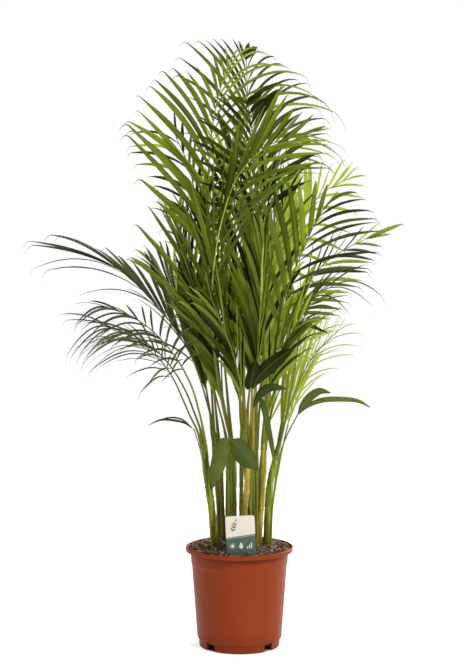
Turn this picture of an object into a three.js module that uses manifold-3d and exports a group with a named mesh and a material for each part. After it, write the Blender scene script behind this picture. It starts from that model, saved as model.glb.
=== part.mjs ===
import * as THREE from "three";
import { mergeVertices } from "three/addons/utils/BufferGeometryUtils.js";
import Module from "manifold-3d";

// A palm with many canes in a round plastic nursery pot. Millimetres, +Z up,
// the pot's axis on Z, its foot on z = 0, the front of the plant towards -Y.

// ---- driving dimensions ----
const POT_RIM_R = 108.4; // outer radius of the rolled rim
const POT_HEIGHT = 202; // foot to rim
const POT_FOOT_R = 81.9; // outer radius of the foot ring
const LEDGE_Z = 17; // where the wall stands out over the foot ring
const POT_WALL = 1.9; // wall thickness
const POT_TAPER = 0.0745; // growth of the outer radius for each mm of height
const POT_R0 = 83.9; // outer wall radius where the taper line meets z = 0
const LIP_DROP = 9; // height of the rolled rim
const BAND_Z = 166; // where the wall steps out under the rim
const BAND_STEP = 1.1; // size of that step
const FLOOR_Z = 12; // top of the pot's raised floor
const PAD_R = 26; // flat pad in the middle of the floor, down at the foot's level
const PAD_T = 2.6; // thickness of that pad
const NOTCH_W = 17; // drainage notches through the foot ring, open at the bottom
const NOTCH_Z = [-2, 15];
const NOTCH_ANGLES = [45, 135, 225, 315];
const DRAIN_R = 6; // round drain holes in the floor
const DRAIN_AT = 51; // their distance from the axis
const SOIL_Z = 199; // soil level at the rim
const SOIL_RISE = 12; // how much higher the soil is in the middle
const GAP = 0.35; // clearance kept between pieces that touch
const LABEL_W = 58;
const LABEL_H = 78;
const LABEL_T = 0.9;
const LABEL_CORNER = 5;
const LABEL_FOOT = [4, -84.5, 199.5]; // middle of the plate's lower edge
const LABEL_LEAN = 6; // degrees, leaning back
const LABEL_TILT = -3; // degrees, to the left seen from the front
const LABEL_STAKE = [18, 50]; // width and length of the spike in the soil
const LEAF_RIDGE = 1.1; // height of a leaflet's midrib ridge over its flat underside
const LEAF_SECTIONS = [0.3, 0.68]; // where along a leaflet its two sections stand
const LEAF_WIDTHS = [1.0, 0.72]; // width of those sections
const BLADE_RIDGE = 1.3; // the same ridge on the broad young leaves
const BLADE_WIDTHS = [0, 0.62, 0.95, 1, 0.82, 0.5, 0];
const RACHIS_SIDES = 4;
const CANE_SIDES = 6;

// ---- growth tables ----
// A cane is a list of axis points from inside the soil to its crown, with the
// radius at both ends. A frond's axis points start on a cane's crown; each of
// its leaflets is [place along the axis 0..1, tip x, y, z, arch, sweep, width,
// twist]. A young leaf or shoot has a thin stalk out of the soil and one to four blades.
const CANES = [
  { name: "cane_01", tone: "olive", r: [8.5, 6.2], p: [-47.41,-22,150,-47.52,-22,187.26,-49.67,-22.56,224.42,-53.39,-24.12,261.46,-57.59,-26.24,298.43,-62.77,-28.72,335.24,-67.33,-31.87,372.08,-71.15,-35.33,408.98] },
  { name: "cane_02", tone: "brown", r: [5, 4], p: [-31.19,14,150,-31.3,13.99,185.89,-32.07,14.22,221.76,-33.57,15.14,257.6,-35.36,16.02,293.43,-36.85,16.84,329.27,-39.38,17.45,365.06,-42.28,18,400.83] },
  { name: "cane_03", tone: "green", r: [5.6, 4.8], p: [-10.18,-12,150,-10.18,-12,189.24,-10.22,-12,228.47,-10.39,-12,267.71,-10.66,-12,306.94,-11.04,-11.93,346.17,-13.09,-12.23,385.34,-17.01,-13,424.37] },
  { name: "cane_04", tone: "olive", r: [4.4, 4.0], p: [3.3,26,150,3.29,25.96,194.37,3.22,26.59,238.73,3.47,27.3,283.09,4.01,27.91,327.45,4.89,29.41,371.78,5.53,30.15,416.13,5.87,30,460.5] },
  { name: "cane_05", tone: "gold", r: [5.6, 4.6], p: [8.9,-38,150,8.97,-38,187.75,9.44,-37.98,225.5,9.88,-37.88,263.25,12.15,-39.07,300.91,15.19,-40.37,338.52,18.36,-42.05,376.1,21.6,-44.67,413.62] },
  { name: "cane_06", tone: "green", r: [5.5, 4.5], p: [26.7,4,150,26.7,4,192.76,26.71,3.94,235.52,26.41,4.21,278.28,25.79,5.11,321.02,26.15,5.81,363.77,28.42,6.43,406.47,31.57,7,449.11] },
  { name: "cane_07", tone: "amber", r: [5.2, 4.4], p: [39.04,-18,150,39.27,-18,189.23,40.9,-18,228.42,43.23,-18,267.57,46.42,-18,306.67,48.25,-17.89,345.85,49.05,-18.36,385.06,49.55,-19.67,424.26] },
  { name: "cane_08", tone: "green", r: [5.5, 4.6], p: [54.01,-4,150,54.24,-4,186.51,55.63,-4,223,57.27,-4,259.47,59.7,-3.86,295.9,63.44,-4.55,332.21,69.68,-6.64,368.11,77.92,-9,403.6] },
  { name: "cane_09", tone: "olive", r: [6, 4.6], p: [17.88,62,150,17.93,61.94,190.9,17.28,62.48,231.78,16.42,63.64,272.66,15.63,65.31,313.51,15.02,66.89,354.37,13.82,72.14,394.89,12.31,79.33,435.12] },
  { name: "cane_10", tone: "olive", r: [5.5, 4.4], p: [-40.74,48,150,-40.69,47.96,188.92,-41.01,48.3,227.84,-42.21,49.48,266.73,-44.67,51.88,305.5,-47.76,54.72,344.19,-50.72,58.6,382.81,-53.54,63,421.38] },
  { name: "cane_11", tone: "green", r: [5.5, 4.4], p: [39.26,44,150,39.2,44,189.25,39.56,43.82,228.5,40.51,44.43,267.72,42.15,46.92,306.86,45.04,48.93,345.95,49.14,52.94,384.77,53.74,58,423.42] },
  { name: "cane_12", tone: "green", r: [4.2, 3.6], p: [-24.74,-2,150,-24.74,-2,184.79,-24.73,-2,219.58,-24.69,-2,254.36,-24.27,-2,289.15,-23.39,-2,323.92,-22.67,-2,358.7,-22.07,-2,393.49] },
  { name: "cane_13", tone: "green", r: [4.6, 3.8], p: [-18.32,22,150,-18.31,22,184.92,-18.3,22,219.85,-18.25,22,254.77,-18.54,22.06,289.7,-19.08,22.1,324.62,-18.79,21.27,359.53,-18.08,20,394.42] },
  { name: "cane_14", tone: "olive", r: [4.0, 3.5], p: [34.27,24,150,34.27,24,185.95,34.12,23.98,221.9,33.77,23.94,257.85,34.14,24.26,293.8,34.91,24.94,329.74,35.18,25.91,365.68,35.32,27,401.61] },
  { name: "cane_15", tone: "green", r: [3.4, 2.9], p: [50.63,18,150,50.87,18.01,185.68,52,17.87,221.34,53.14,17.39,257,55.14,16.83,292.62,59.08,16.13,328.07,66.98,15.12,362.81,76.01,14,397.31] },
];
const YOUNG = [
  { name: "young_leaf_front", r: [1.8, 1.5], p: [-20.95,-39.7,165,-20.96,-39.79,198.41,-21.28,-41.35,231.79,-21.65,-43.2,265.16,-21.93,-45.56,298.49,-22.03,-49.26,331.7,-21.86,-54.32,364.74,-21.13,-59.84,397.69,-19.9,-66,430.51], blades: [{ w: 33, p: [-20.01,-65.45,427.56,-28.77,-71,421.25,-39.59,-76,392.17,-49.45,-78,358.69,-56.4,-76,328.52] }, { w: 40, p: [-20.01,-65.45,427.56,-7.07,-73,419.54,8.66,-80,400.69,22.41,-84,385.42,36.19,-84,369.55] }] },
  { name: "young_leaf_strap", r: [1.8, 1.4], p: [34.45,-47.7,165,34.5,-48.18,208.78,34.84,-50.73,252.5,35.09,-53.48,296.2,35.05,-55.94,339.93,34.8,-58.4,383.65,33.94,-62.05,427.28,32.37,-68.02,470.63,33.18,-78,513.24], blades: [{ w: 12, p: [33.12,-77.32,510.32,39.97,-84,511.93,49.7,-90,485.03,57.5,-94,448.09,65.4,-94,406.66,69.48,-90,370.48] }] },
  { name: "young_leaf_right", r: [2.2, 1.5], p: [61.96,-29.8,165,62.19,-29.99,205.15,63.65,-31.42,245.25,65.72,-33.17,285.32,69.37,-35.42,325.25,74.62,-38.2,364.96,83.1,-41.68,404.02,97.67,-46.45,441.12,115.79,-52,476.51], blades: [{ w: 17, p: [114.44,-51.59,473.87,125.4,-58,495.13,140.97,-62,513.46,158.5,-66,523.8,180.08,-68,520.06] }, { w: 11, p: [114.44,-51.59,473.87,133.66,-50,492.22,163.14,-54,504.62,198.62,-56,506.83,233.95,-60,503.31,259.38,-64,489.87] }] },
  { name: "young_leaf_centre", r: [2, 1.6], p: [20.74,-55.9,165,20.93,-56.09,212.62,21.82,-56.89,260.23,22.78,-58.06,307.83,23.81,-58.83,355.44,24.71,-63.19,402.8,25.28,-76.36,448.5,24.96,-94.59,492.47,23.91,-116,535], blades: [{ w: 38, p: [23.98,-114.65,532.32,35.38,-127,557.53,54.47,-138,577.97,79.25,-146,598,104.04,-150,615.67] }, { w: 36, p: [23.91,-116,535,21.94,-119,541.16,25.68,-129,565.49,31.36,-136,593.26] }, { w: 18, p: [24.96,-94.59,492.47,41.43,-114,525.03,62.65,-120,537.37,91.61,-124,533.89] }] },
  { name: "young_leaf_left", r: [1.8, 1.3], p: [-55.57,-45.7,165,-55.64,-45.76,200.82,-57.58,-47.64,236.55,-59.96,-49.89,272.23,-63.05,-52.22,307.85,-67.08,-54.62,343.38,-72.15,-57.1,378.76,-79.65,-59.56,413.69,-90.08,-62,447.89], blades: [{ w: 5, p: [-89.21,-61.8,445.03,-107.73,-66,460.33,-133.22,-70,466.78,-156.7,-74,467.28,-182.24,-76,455.64] }, { w: 3.5, p: [-89.21,-61.8,445.03,-111.96,-56,465.04,-137.75,-54,469.78,-165.59,-52,462.55] }] },
  { name: "young_shoot_right", r: [2, 1.6], p: [59.41,29.9,165,60.13,30.19,200.19,61.82,30.86,235.35,63.83,31.72,270.49,66.34,32.96,305.59,69.27,34.51,340.64,73.05,36.2,375.6,78.55,38.05,410.33,84.74,40,444.93], blades: [{ w: 7, p: [84.21,39.83,441.98,96.91,44,524.33,113.14,48,599.56,129.3,50,670.79] }, { w: 7, p: [84.21,39.83,441.98,105.34,52,513.25,129.94,60,590.39,150.36,64,647.44] }, { w: 7, p: [84.21,39.83,441.98,88.47,34,525.36,96.24,30,627.41] }, { w: 6, p: [84.21,39.83,441.98,113.82,60,502.12,142.74,70,556.65,171.57,76,603.46] }] },
  { name: "young_shoot_back_right", r: [2, 1.6], p: [37.3,69.4,165,38.49,72.19,199.24,40.36,76.63,233.42,42.56,81.47,267.53,45.34,86.8,301.52,48.52,92.61,335.39,51.96,99.5,369.04,55.82,108.4,402.16,59.85,118,435.07], blades: [{ w: 8, p: [59.5,117.17,432.21,61.94,124,516.07,66.08,130,620.05] }, { w: 8, p: [59.5,117.17,432.21,76.94,140,508.11,94.4,170,585.41,105.23,182,626.81] }, { w: 8, p: [59.5,117.17,432.21,51.36,114,506.66,46.99,108,600.91] }, { w: 7, p: [59.5,117.17,432.21,89.25,130,488.18,116.4,134,538.11,135.14,136,584.03] }] },
  { name: "young_shoot_far_right", r: [2, 1.6], p: [58.61,63.9,165,60.86,64.31,199.76,64.58,64.98,234.46,68.72,65.85,269.12,73.49,67.05,303.69,78.77,68.5,338.17,84.8,70.37,372.5,92.21,73.04,406.51,100.15,76,440.38], blades: [{ w: 7, p: [99.47,75.75,437.47,118.76,84,520.2,143.58,92,598.05,164.18,96,657.68] }, { w: 6.5, p: [99.47,75.75,437.47,124.74,78,506.35,153.53,82,563.79,180.33,86,602.67] }, { w: 6.5, p: [99.47,75.75,437.47,105.93,70,521.64,117.82,64,594.16,127.74,60,645.66] }] },
];
const FRONDS = [
  { name: "frond_01", tone: "g", r: [2.6, 0.9], p: [-74.23,-37.12,409.4,-84.05,-41.6,442.1,-98.49,-48.12,473.2,-111.44,-56.2,504.6,-124.15,-66.19,535.56,-138.96,-79.09,564.38,-157.13,-94.85,589.65,-179.51,-111.76,610.37,-205.99,-129.02,625,-237.84,-142,630.44],
    l: [[0.5000,-197.6,-27.8,516.8,0.55,0.25,4.6,-0.41],[0.5469,-221.5,-73.7,552.5,0.6,0.26,4,-0.13],[0.5937,-254.7,-56.7,578.5,0.41,0.29,4.4,-0.46],[0.6406,-277.1,-79.6,570.8,0.71,0.28,4.3,-0.15],[0.6874,-291.4,-64.1,565.5,0.64,0.3,4.2,-0.13],[0.7343,-295.9,-75,560.5,0.81,0.28,4.1,-0.35],[0.7812,-298.7,-89.7,577.9,0.6,0.25,3.8,-0.48],[0.8280,-302.2,-106.1,584.7,0.9,0.32,4.2,-0.13],[0.8749,-316.6,-109.7,588.5,0.93,0.35,4.1,-0.47],[0.9217,-321.3,-121.3,589.1,0.92,0.25,3.7,-0.51],[0.9686,-333.6,-107.1,595.9,0.8,0.35,3.7,-0.59],[0.5203,-106.7,-132.2,592.4,0.6,0.3,3.9,0.2],[0.5784,-130.8,-114.9,602.2,0.53,0.27,3.4,0.59],[0.6365,-148.8,-116.6,622.2,0.6,0.27,4,0.59],[0.6946,-172.8,-133.1,632.6,0.42,0.36,3.8,0.47],[0.7527,-202.8,-157.2,651.5,0.44,0.25,4,0.3],[0.8107,-222.6,-149.3,653.7,0.55,0.31,3.4,0.12],[0.8688,-255.7,-140.4,637.6,0.65,0.34,3.5,0.48],[0.9269,-275.8,-163.8,627.2,0.36,0.27,3.3,0.58],[0.9850,-301.6,-172.4,616.3,0.58,0.29,2.9,0.52]] },
  { name: "frond_02", tone: "g", r: [2.6, 0.9], p: [-71.28,-31.95,410.19,-79.14,-26.33,444.99,-91.58,-14.14,477.85,-105.12,-2.72,510.54,-122.18,9.97,541.05,-142.64,23.82,568.85,-166.54,38.42,593.27,-194.53,53.04,612.89,-225.99,65.41,628.28,-261.05,76,634.3],
    l: [[0.5200,-184.7,69.8,527.7,0.38,0.29,4.5,-0.5],[0.5697,-212.6,93.7,571.2,0.59,0.34,4.6,-0.17],[0.6195,-244.6,93.1,593.1,0.66,0.27,4.5,-0.37],[0.6692,-297.3,74.1,602,0.54,0.25,4.6,-0.48],[0.7189,-302.1,103.9,582.2,0.76,0.24,4.7,-0.24],[0.7687,-313.6,114.4,577.8,0.89,0.33,3.9,-0.52],[0.8184,-319.8,111.3,573.4,0.87,0.31,4.1,-0.26],[0.8681,-330.3,111.8,580,0.99,0.31,4,-0.54],[0.9179,-345.4,101.2,579.5,0.87,0.33,3.6,-0.22],[0.9676,-350.6,73.7,587.4,1.13,0.3,3.8,-0.46],[0.5374,-117.4,44.1,601,0.5,0.25,4.3,0.19],[0.5871,-151,65,619.6,0.53,0.25,3.7,0.44],[0.6369,-180.4,97.1,635.3,0.4,0.32,4.2,0.34],[0.6866,-214.4,88.1,659.4,0.54,0.26,3.7,0.24],[0.7363,-240.2,87.2,652.6,0.38,0.25,3.3,0.43],[0.7861,-276,103.2,653.7,0.52,0.35,3.5,0.51],[0.8358,-317.4,101.2,647.1,0.41,0.34,4,0.24],[0.8855,-338.9,85.6,646.6,0.59,0.3,4,0.43],[0.9353,-355.6,85.9,653.6,0.39,0.35,3.8,0.15],[0.9850,-370.8,101.2,664.5,0.53,0.26,3.2,0.4]] },
  { name: "frond_03", tone: "d", r: [2.6, 0.9], p: [-68.23,-37.18,410.02,-73.2,-49.7,449.88,-81.1,-67.02,488.19,-91.07,-83.75,526.27,-105.72,-101.5,562.32,-124.74,-118.9,596.43,-148.59,-135.11,628.01,-177.07,-149.24,656.57,-211.39,-159.95,679.6,-250.97,-168,693.55],
    l: [[0.4700,-150.4,-139.1,550.2,0.4,0.35,5.4,-0.6],[0.5198,-176.3,-154.7,577.2,0.65,0.42,5.4,-0.46],[0.5695,-197.5,-173.9,597.2,0.67,0.32,6.2,-0.6],[0.6193,-226.3,-156.9,612.2,0.71,0.29,5.8,-0.57],[0.6690,-245.6,-189.3,618,0.75,0.36,6,-0.19],[0.7188,-269.8,-181.4,619.4,0.51,0.33,4.8,-0.16],[0.7686,-276.6,-156.4,631.3,0.77,0.33,5.2,-0.34],[0.8183,-279.1,-202.3,647.1,0.82,0.35,5.3,-0.31],[0.8681,-301.3,-159.4,652.1,0.7,0.32,4.6,-0.21],[0.9178,-305.5,-202.8,664.6,0.78,0.32,5.1,-0.33],[0.9676,-310,-182.6,664.6,0.95,0.39,4.4,-0.38],[0.4874,-64.8,-178.6,606.5,0.38,0.38,5.3,0.52],[0.5372,-82.4,-186.7,638.5,0.22,0.33,5.8,0.35],[0.5869,-93.8,-188.9,658.5,0.3,0.32,6.1,0.44],[0.6367,-114.5,-198,689.1,0.32,0.4,5.3,0.59],[0.6864,-135.7,-201.7,698.6,0.4,0.29,5.8,0.56],[0.7362,-168.7,-187.3,696.2,0.35,0.37,4.3,0.23],[0.7860,-187,-171.5,698.5,0.43,0.3,4.4,0.46],[0.8357,-217.5,-173,701.2,0.27,0.42,3.8,0.44],[0.8855,-248.1,-186.9,699.3,0.36,0.42,4.2,0.32],[0.9352,-285.2,-176.8,707.5,0.39,0.34,3.8,0.48],[0.9850,-315.1,-203.1,702.5,0.41,0.3,4.2,0.43]] },
  { name: "frond_04", tone: "m", r: [2.6, 0.9], p: [-43.84,15.41,401.65,-53.71,11.51,448.09,-65.64,6.87,494.25,-78.74,0.49,539.88,-94.84,-7.58,584.22,-117.29,-16.19,625.63,-143.15,-26.35,664.63,-173.03,-37.97,700.2,-204.51,-48.78,734.65,-238.9,-60,766.02],
    l: [[0.4200,-191.8,51.6,620.9,0.23,0.44,7.9,-0.36],[0.5256,-209.5,41.4,701.7,0.32,0.49,8,-0.51],[0.6312,-221.3,18.1,721.4,0.34,0.52,5.8,-0.1],[0.7368,-319.4,2.2,710,0.55,0.52,6.8,-0.53],[0.8424,-384.7,12.2,759.9,0.38,0.58,5.8,-0.32],[0.9480,-409.4,-28.8,763.3,0.55,0.41,4.7,-0.47],[0.4391,-109.9,-77.6,779,0.14,0.42,12.1,0.36],[0.4937,-120.2,-66.6,782.1,0.16,0.51,12.1,0.24],[0.5483,-159.3,-94.5,758.6,0.2,0.42,11,0.45],[0.6029,-183.4,-79.9,774.7,0.23,0.58,8.4,0.43],[0.6575,-208.8,-87.3,779.5,0.27,0.49,9,0.33],[0.7121,-233.1,-111.1,790.8,0.2,0.56,9.2,0.58],[0.7666,-260.3,-87.8,806.4,0.22,0.46,7.8,0.34],[0.8212,-281.4,-71.5,804.8,0.32,0.46,7.2,0.19],[0.8758,-319.4,-100.6,823.7,0.3,0.5,7,0.16],[0.9304,-348.2,-94.7,829,0.33,0.57,5.8,0.4],[0.9850,-367.4,-97.4,831.2,0.43,0.54,6.6,0.52],[0.9800,-413,-62.7,819,0.17,0.5,6,0.3],[0.9800,-405.2,-62.7,811.2,0.17,0.5,5,0.3]] },
  { name: "frond_05", tone: "m", r: [2.8, 1.3], p: [-17.09,-16.02,425.21,-33.68,-50.53,494.75,-45.62,-86.11,567.19,-52.76,-120.99,640.61,-53.85,-153.31,715.49,-46.89,-179.97,792.24,-31.2,-195.22,870.68,-2.03,-196.07,946.44,54.89,-179.39,1001,129.36,-156,1023.53],
    l: [[0.3000,-151.4,-139.9,710.4,0.09,0.41,12.4,-0.53],[0.3354,-204.1,-170.1,789.5,0.11,0.4,17.1,-0.53],[0.3708,-193.7,-171.9,851.3,0.1,0.35,16.2,-0.4],[0.4062,-174.3,-164.6,888,0.12,0.29,16.2,-0.34],[0.4416,-142.6,-172.2,892.6,0.1,0.31,15.9,-0.38],[0.4770,-109.6,-164.5,894.2,0.08,0.39,13,-0.21],[0.5124,-91.5,-197.6,928.3,0.11,0.35,13.2,-0.27],[0.5478,-50.2,-174.2,988.4,0.1,0.38,14.5,-0.2],[0.5832,-27.6,-200.9,1009.8,0.12,0.34,12.9,-0.31],[0.6186,-11.2,-190.5,1029.5,0.08,0.29,11.5,-0.13],[0.6540,-0.3,-210.3,1046.4,0.09,0.31,12.1,-0.14],[0.6894,13,-175.4,1062.3,0.09,0.39,10.6,-0.14],[0.7248,46.4,-194.8,1074.6,0.12,0.29,10.8,-0.11],[0.7602,75.5,-167.5,1089.6,0.12,0.29,10.9,-0.11],[0.7956,78.1,-178.3,1111.1,0.09,0.4,11.3,-0.14],[0.8310,88.1,-177.8,1094.2,0.12,0.3,9.8,-0.37],[0.8664,104.4,-170,1072.2,0.1,0.38,8.8,-0.12],[0.9018,118.2,-145.9,1065.7,0.07,0.34,7.1,-0.51],[0.9372,139.4,-158.6,1059.8,0.08,0.39,7.6,-0.53],[0.9726,161.5,-150.3,1038,0.08,0.4,6.7,-0.53],[0.3147,-16.5,-162.6,790.5,0.18,0.7,9.1,0.45],[0.3566,-10.5,-180.1,819,0.19,0.65,7.8,0.2],[0.3985,7.7,-147.7,848.3,0.24,0.59,7.6,0.35],[0.4404,23.5,-171.9,871.5,0.27,0.56,9,0.17],[0.4822,48.1,-199.2,888.5,0.19,0.53,8,0.22],[0.5241,63.8,-188.4,916.2,0.17,0.59,8.2,0.49],[0.5660,91.6,-184.3,936.8,0.22,0.63,7.3,0.25],[0.6079,107.9,-181.1,948.1,0.19,0.57,8.9,0.34],[0.6498,137.5,-208.1,967.1,0.2,0.7,8.1,0.54],[0.6917,155.2,-206.9,967.5,0.28,0.68,7.9,0.28],[0.7336,168.7,-186,958.5,0.17,0.52,7.3,0.31],[0.7755,165.1,-190.1,986.2,0.19,0.49,7.5,0.31],[0.8174,165.4,-167.6,1002.3,0.28,0.63,6.9,0.35],[0.8593,164.7,-165.5,1010.1,0.2,0.58,6.8,0.59],[0.9012,152.9,-175.9,1027.7,0.23,0.56,5.2,0.31],[0.9431,174.8,-141.2,1033.8,0.22,0.65,5.3,0.43],[0.9850,159.4,-171,1036,0.2,0.71,5.1,0.41]] },
  { name: "frond_06", tone: "l", r: [2.8, 0.9], p: [-17.1,-10.02,425.33,-24.25,-15.86,510.22,-31.95,-21.01,595.21,-41.2,-26.21,680.05,-50.84,-30.73,764.88,-58.56,-32.48,849.99,-62.45,-28.64,935.28,-56.35,-19.04,1019.97,-43.14,-1.64,1102.46,-19,32,1177.13],
    l: [[0.4600,-157.7,-144.1,896,0.06,0.34,11.6,-0.39],[0.4903,-191,-110.1,938.9,0.07,0.27,13.4,-0.55],[0.5205,-216,-100.4,1023.7,0.09,0.37,11.2,-0.1],[0.5508,-215.5,-117.1,1043.3,0.15,0.36,12.1,-0.16],[0.5810,-206.9,-90.1,1032.7,0.19,0.31,11,-0.22],[0.6113,-196.3,-90.6,1071.6,0.18,0.41,11.5,-0.56],[0.6416,-213.8,-89.6,1050.9,0.2,0.42,13,-0.56],[0.6718,-195.6,-76.7,1101.1,0.16,0.36,12.1,-0.18],[0.7021,-171.5,-112.1,1116.8,0.3,0.42,11.6,-0.39],[0.7323,-162.3,-106.5,1129.3,0.23,0.47,10.6,-0.48],[0.7626,-148.9,-51.2,1150.2,0.23,0.36,9.8,-0.25],[0.7929,-128.8,-58.8,1154.9,0.35,0.39,10.4,-0.47],[0.8231,-104,-45,1150.7,0.29,0.37,7.8,-0.3],[0.8534,-84.2,-35.2,1159.4,0.27,0.45,7.8,-0.46],[0.8836,-61.8,-64.6,1171,0.37,0.44,7.4,-0.6],[0.9139,-51.6,-7.4,1181.6,0.44,0.51,7.6,-0.42],[0.9441,-42.6,-12.1,1188.8,0.53,0.42,7.6,-0.3],[0.9744,-29.9,-18.5,1198.7,0.37,0.44,6.9,-0.33],[0.4712,-2.7,-22.6,895.2,0.56,0.61,6,0.4],[0.5033,36.9,13.4,911.3,0.53,0.65,7.8,0.22],[0.5355,96.1,-14.3,945.9,0.83,0.49,7.2,0.37],[0.5676,158.9,-5.8,951.7,0.49,0.49,6.8,0.59],[0.5997,179.9,14.2,965,0.91,0.45,7.1,0.13],[0.6318,191,-10.3,981.7,0.85,0.47,6.8,0.32],[0.6639,196.7,-30.6,987.5,1.02,0.61,7.6,0.21],[0.6960,202.9,-11.1,1004.6,0.67,0.51,6.4,0.53],[0.7281,191.3,-19.1,1070.7,0.84,0.59,6.5,0.29],[0.7602,171.3,-9.4,1089.4,1.06,0.47,7.3,0.59],[0.7923,148,13.7,1106.8,1.08,0.6,5.8,0.53],[0.8244,131.1,-5.2,1142.7,0.95,0.63,6.2,0.11],[0.8566,97.9,4.8,1160.3,0.97,0.65,5.7,0.4],[0.8887,70.4,31.4,1167.6,0.86,0.49,5.3,0.53],[0.9208,56.6,-1.1,1185.6,1.33,0.55,5.3,0.52],[0.9529,36.9,48.2,1201.2,1.14,0.65,4.4,0.14],[0.9850,6,51.8,1203.8,0.95,0.64,4,0.2]] },
  { name: "frond_07", tone: "m", r: [2.6, 0.9], p: [8,32.12,461.39,9.54,41.84,543.58,12,51.22,625.9,14.67,60.12,708.27,17.3,69.14,790.62,20.66,78.74,872.89,23.44,88.73,955.12,22.26,98.87,1037.36,16.98,107.31,1119.64,13.59,112,1202.32],
    l: [[0.5600,-95.1,115.6,955.7,0.43,0.51,9,-0.51],[0.5918,-109.2,134.6,1007.6,0.52,0.66,9.3,-0.55],[0.6237,-109.6,115,1038.3,0.38,0.67,8.9,-0.2],[0.6555,-94.3,91.1,1076.6,0.39,0.58,8.2,-0.41],[0.6873,-103.5,110.7,1110,0.51,0.52,7.8,-0.48],[0.7192,-125.8,105.9,1153.7,0.49,0.5,7.9,-0.38],[0.7510,-123,127.6,1192.6,0.29,0.58,8.9,-0.54],[0.7828,-110.7,134.7,1225.4,0.28,0.68,8.1,-0.44],[0.8147,-84.3,138.8,1228,0.39,0.66,8.5,-0.57],[0.8465,-66.4,106,1224.8,0.34,0.59,7.8,-0.27],[0.8784,-52.8,147.7,1231.5,0.31,0.69,7.1,-0.21],[0.9102,-35.5,122.7,1229,0.31,0.62,6.6,-0.46],[0.9420,-14.4,122.6,1229.6,0.43,0.63,5.3,-0.52],[0.9739,0.2,139.2,1225.9,0.36,0.52,5.4,-0.12],[0.5720,145.4,165.8,920.9,0.46,0.54,7.1,0.29],[0.6065,166.2,145.7,989.4,0.69,0.51,7,0.5],[0.6409,180.8,138.5,1037.1,0.49,0.6,7.3,0.24],[0.6753,176.2,132.8,1068.2,0.56,0.63,7.2,0.12],[0.7097,163.1,127.7,1086.8,0.9,0.61,6.4,0.38],[0.7441,159.4,137.7,1112.5,0.72,0.59,7.7,0.42],[0.7785,138.4,124,1140.2,0.64,0.64,6.4,0.42],[0.8129,119.4,135.1,1147.5,0.87,0.54,6.7,0.45],[0.8473,103.6,132,1162.6,0.79,0.62,6,0.2],[0.8818,89.5,129.7,1177.6,1.06,0.62,5.6,0.3],[0.9162,71.5,146.5,1195.5,0.86,0.56,5.6,0.24],[0.9506,47,163.9,1204.5,1.04,0.55,4.9,0.15],[0.9850,32.8,129.2,1213.6,1.13,0.53,4,0.25],[0.9800,36,106.3,1211.9,0.24,0.6,13,0.3],[0.9800,-0.8,106.3,1224.1,0.24,0.6,12,0.3],[0.9800,19.7,106.3,1220,0.24,0.6,12,0.3]] },
  { name: "frond_08", tone: "d", r: [2.6, 0.9], p: [30.14,4.42,450.15,32.49,-2.49,522.2,34.09,-9.12,594.39,34.97,-15.84,666.58,34.71,-23.75,738.65,33.15,-31.38,810.74,31.31,-38.46,882.88,29.38,-46.12,954.95,25.34,-54.54,1026.84,14.29,-66,1097.22],
    l: [[0.6000,-70.7,-113.3,894.7,0.28,0.49,9,-0.18],[0.6339,-81.5,-116.1,933,0.29,0.58,9.3,-0.53],[0.6678,-87.6,-106,977.4,0.25,0.56,10,-0.36],[0.7018,-94,-92.8,1014.4,0.31,0.64,8.9,-0.33],[0.7357,-82.9,-82.4,1027.2,0.32,0.48,8.8,-0.42],[0.7696,-77.5,-92.8,1053.8,0.25,0.54,8.5,-0.27],[0.8035,-59.1,-69.1,1065.5,0.33,0.63,7.1,-0.59],[0.8374,-44.5,-111.3,1080.1,0.33,0.51,7.6,-0.35],[0.8714,-46,-110.7,1096.7,0.26,0.57,6.7,-0.37],[0.9053,-26.4,-89.3,1102.7,0.41,0.46,7.1,-0.13],[0.9392,-19.3,-104.7,1103.8,0.26,0.57,6.4,-0.47],[0.9731,-11.6,-90.2,1097.7,0.41,0.62,5.2,-0.57],[0.6119,137.4,-78.8,937.1,0.31,0.61,13,0.37],[0.6458,150.1,-40.8,973.9,0.28,0.52,10.8,0.18],[0.6797,148.9,-63.9,989.4,0.3,0.54,13,0.47],[0.7136,149.3,-65.5,1017.9,0.43,0.61,11.3,0.25],[0.7476,129,-84.2,1050.4,0.25,0.46,13.3,0.38],[0.7815,115.3,-69.5,1065.8,0.4,0.45,10.9,0.1],[0.8154,103.8,-86.7,1074.4,0.31,0.5,10.3,0.31],[0.8493,99.3,-55.8,1091.6,0.35,0.49,12.2,0.44],[0.8832,84.2,-79.2,1117.1,0.42,0.54,10.9,0.19],[0.9172,79.6,-104.7,1113,0.41,0.59,10.1,0.47],[0.9511,66.4,-108,1096.6,0.35,0.61,9.5,0.57],[0.9850,41.7,-104.7,1099.3,0.26,0.5,8.8,0.13],[0.9800,86.2,-66.9,1130,0.21,0.55,10,0.3],[0.9800,43.5,-66.9,1106.8,0.21,0.55,16,0.3]] },
  { name: "frond_09", tone: "d", r: [2.6, 0.9], p: [-40.86,20.61,401.8,-47.59,30.53,472.06,-55.39,40.35,542.35,-63.32,50.3,612.61,-70.62,58.85,683.12,-76.72,64.36,754.04,-81.95,66.05,825.22,-88.46,61.8,896.17,-101.79,54.15,965.85,-129.92,46,1030.47],
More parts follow.
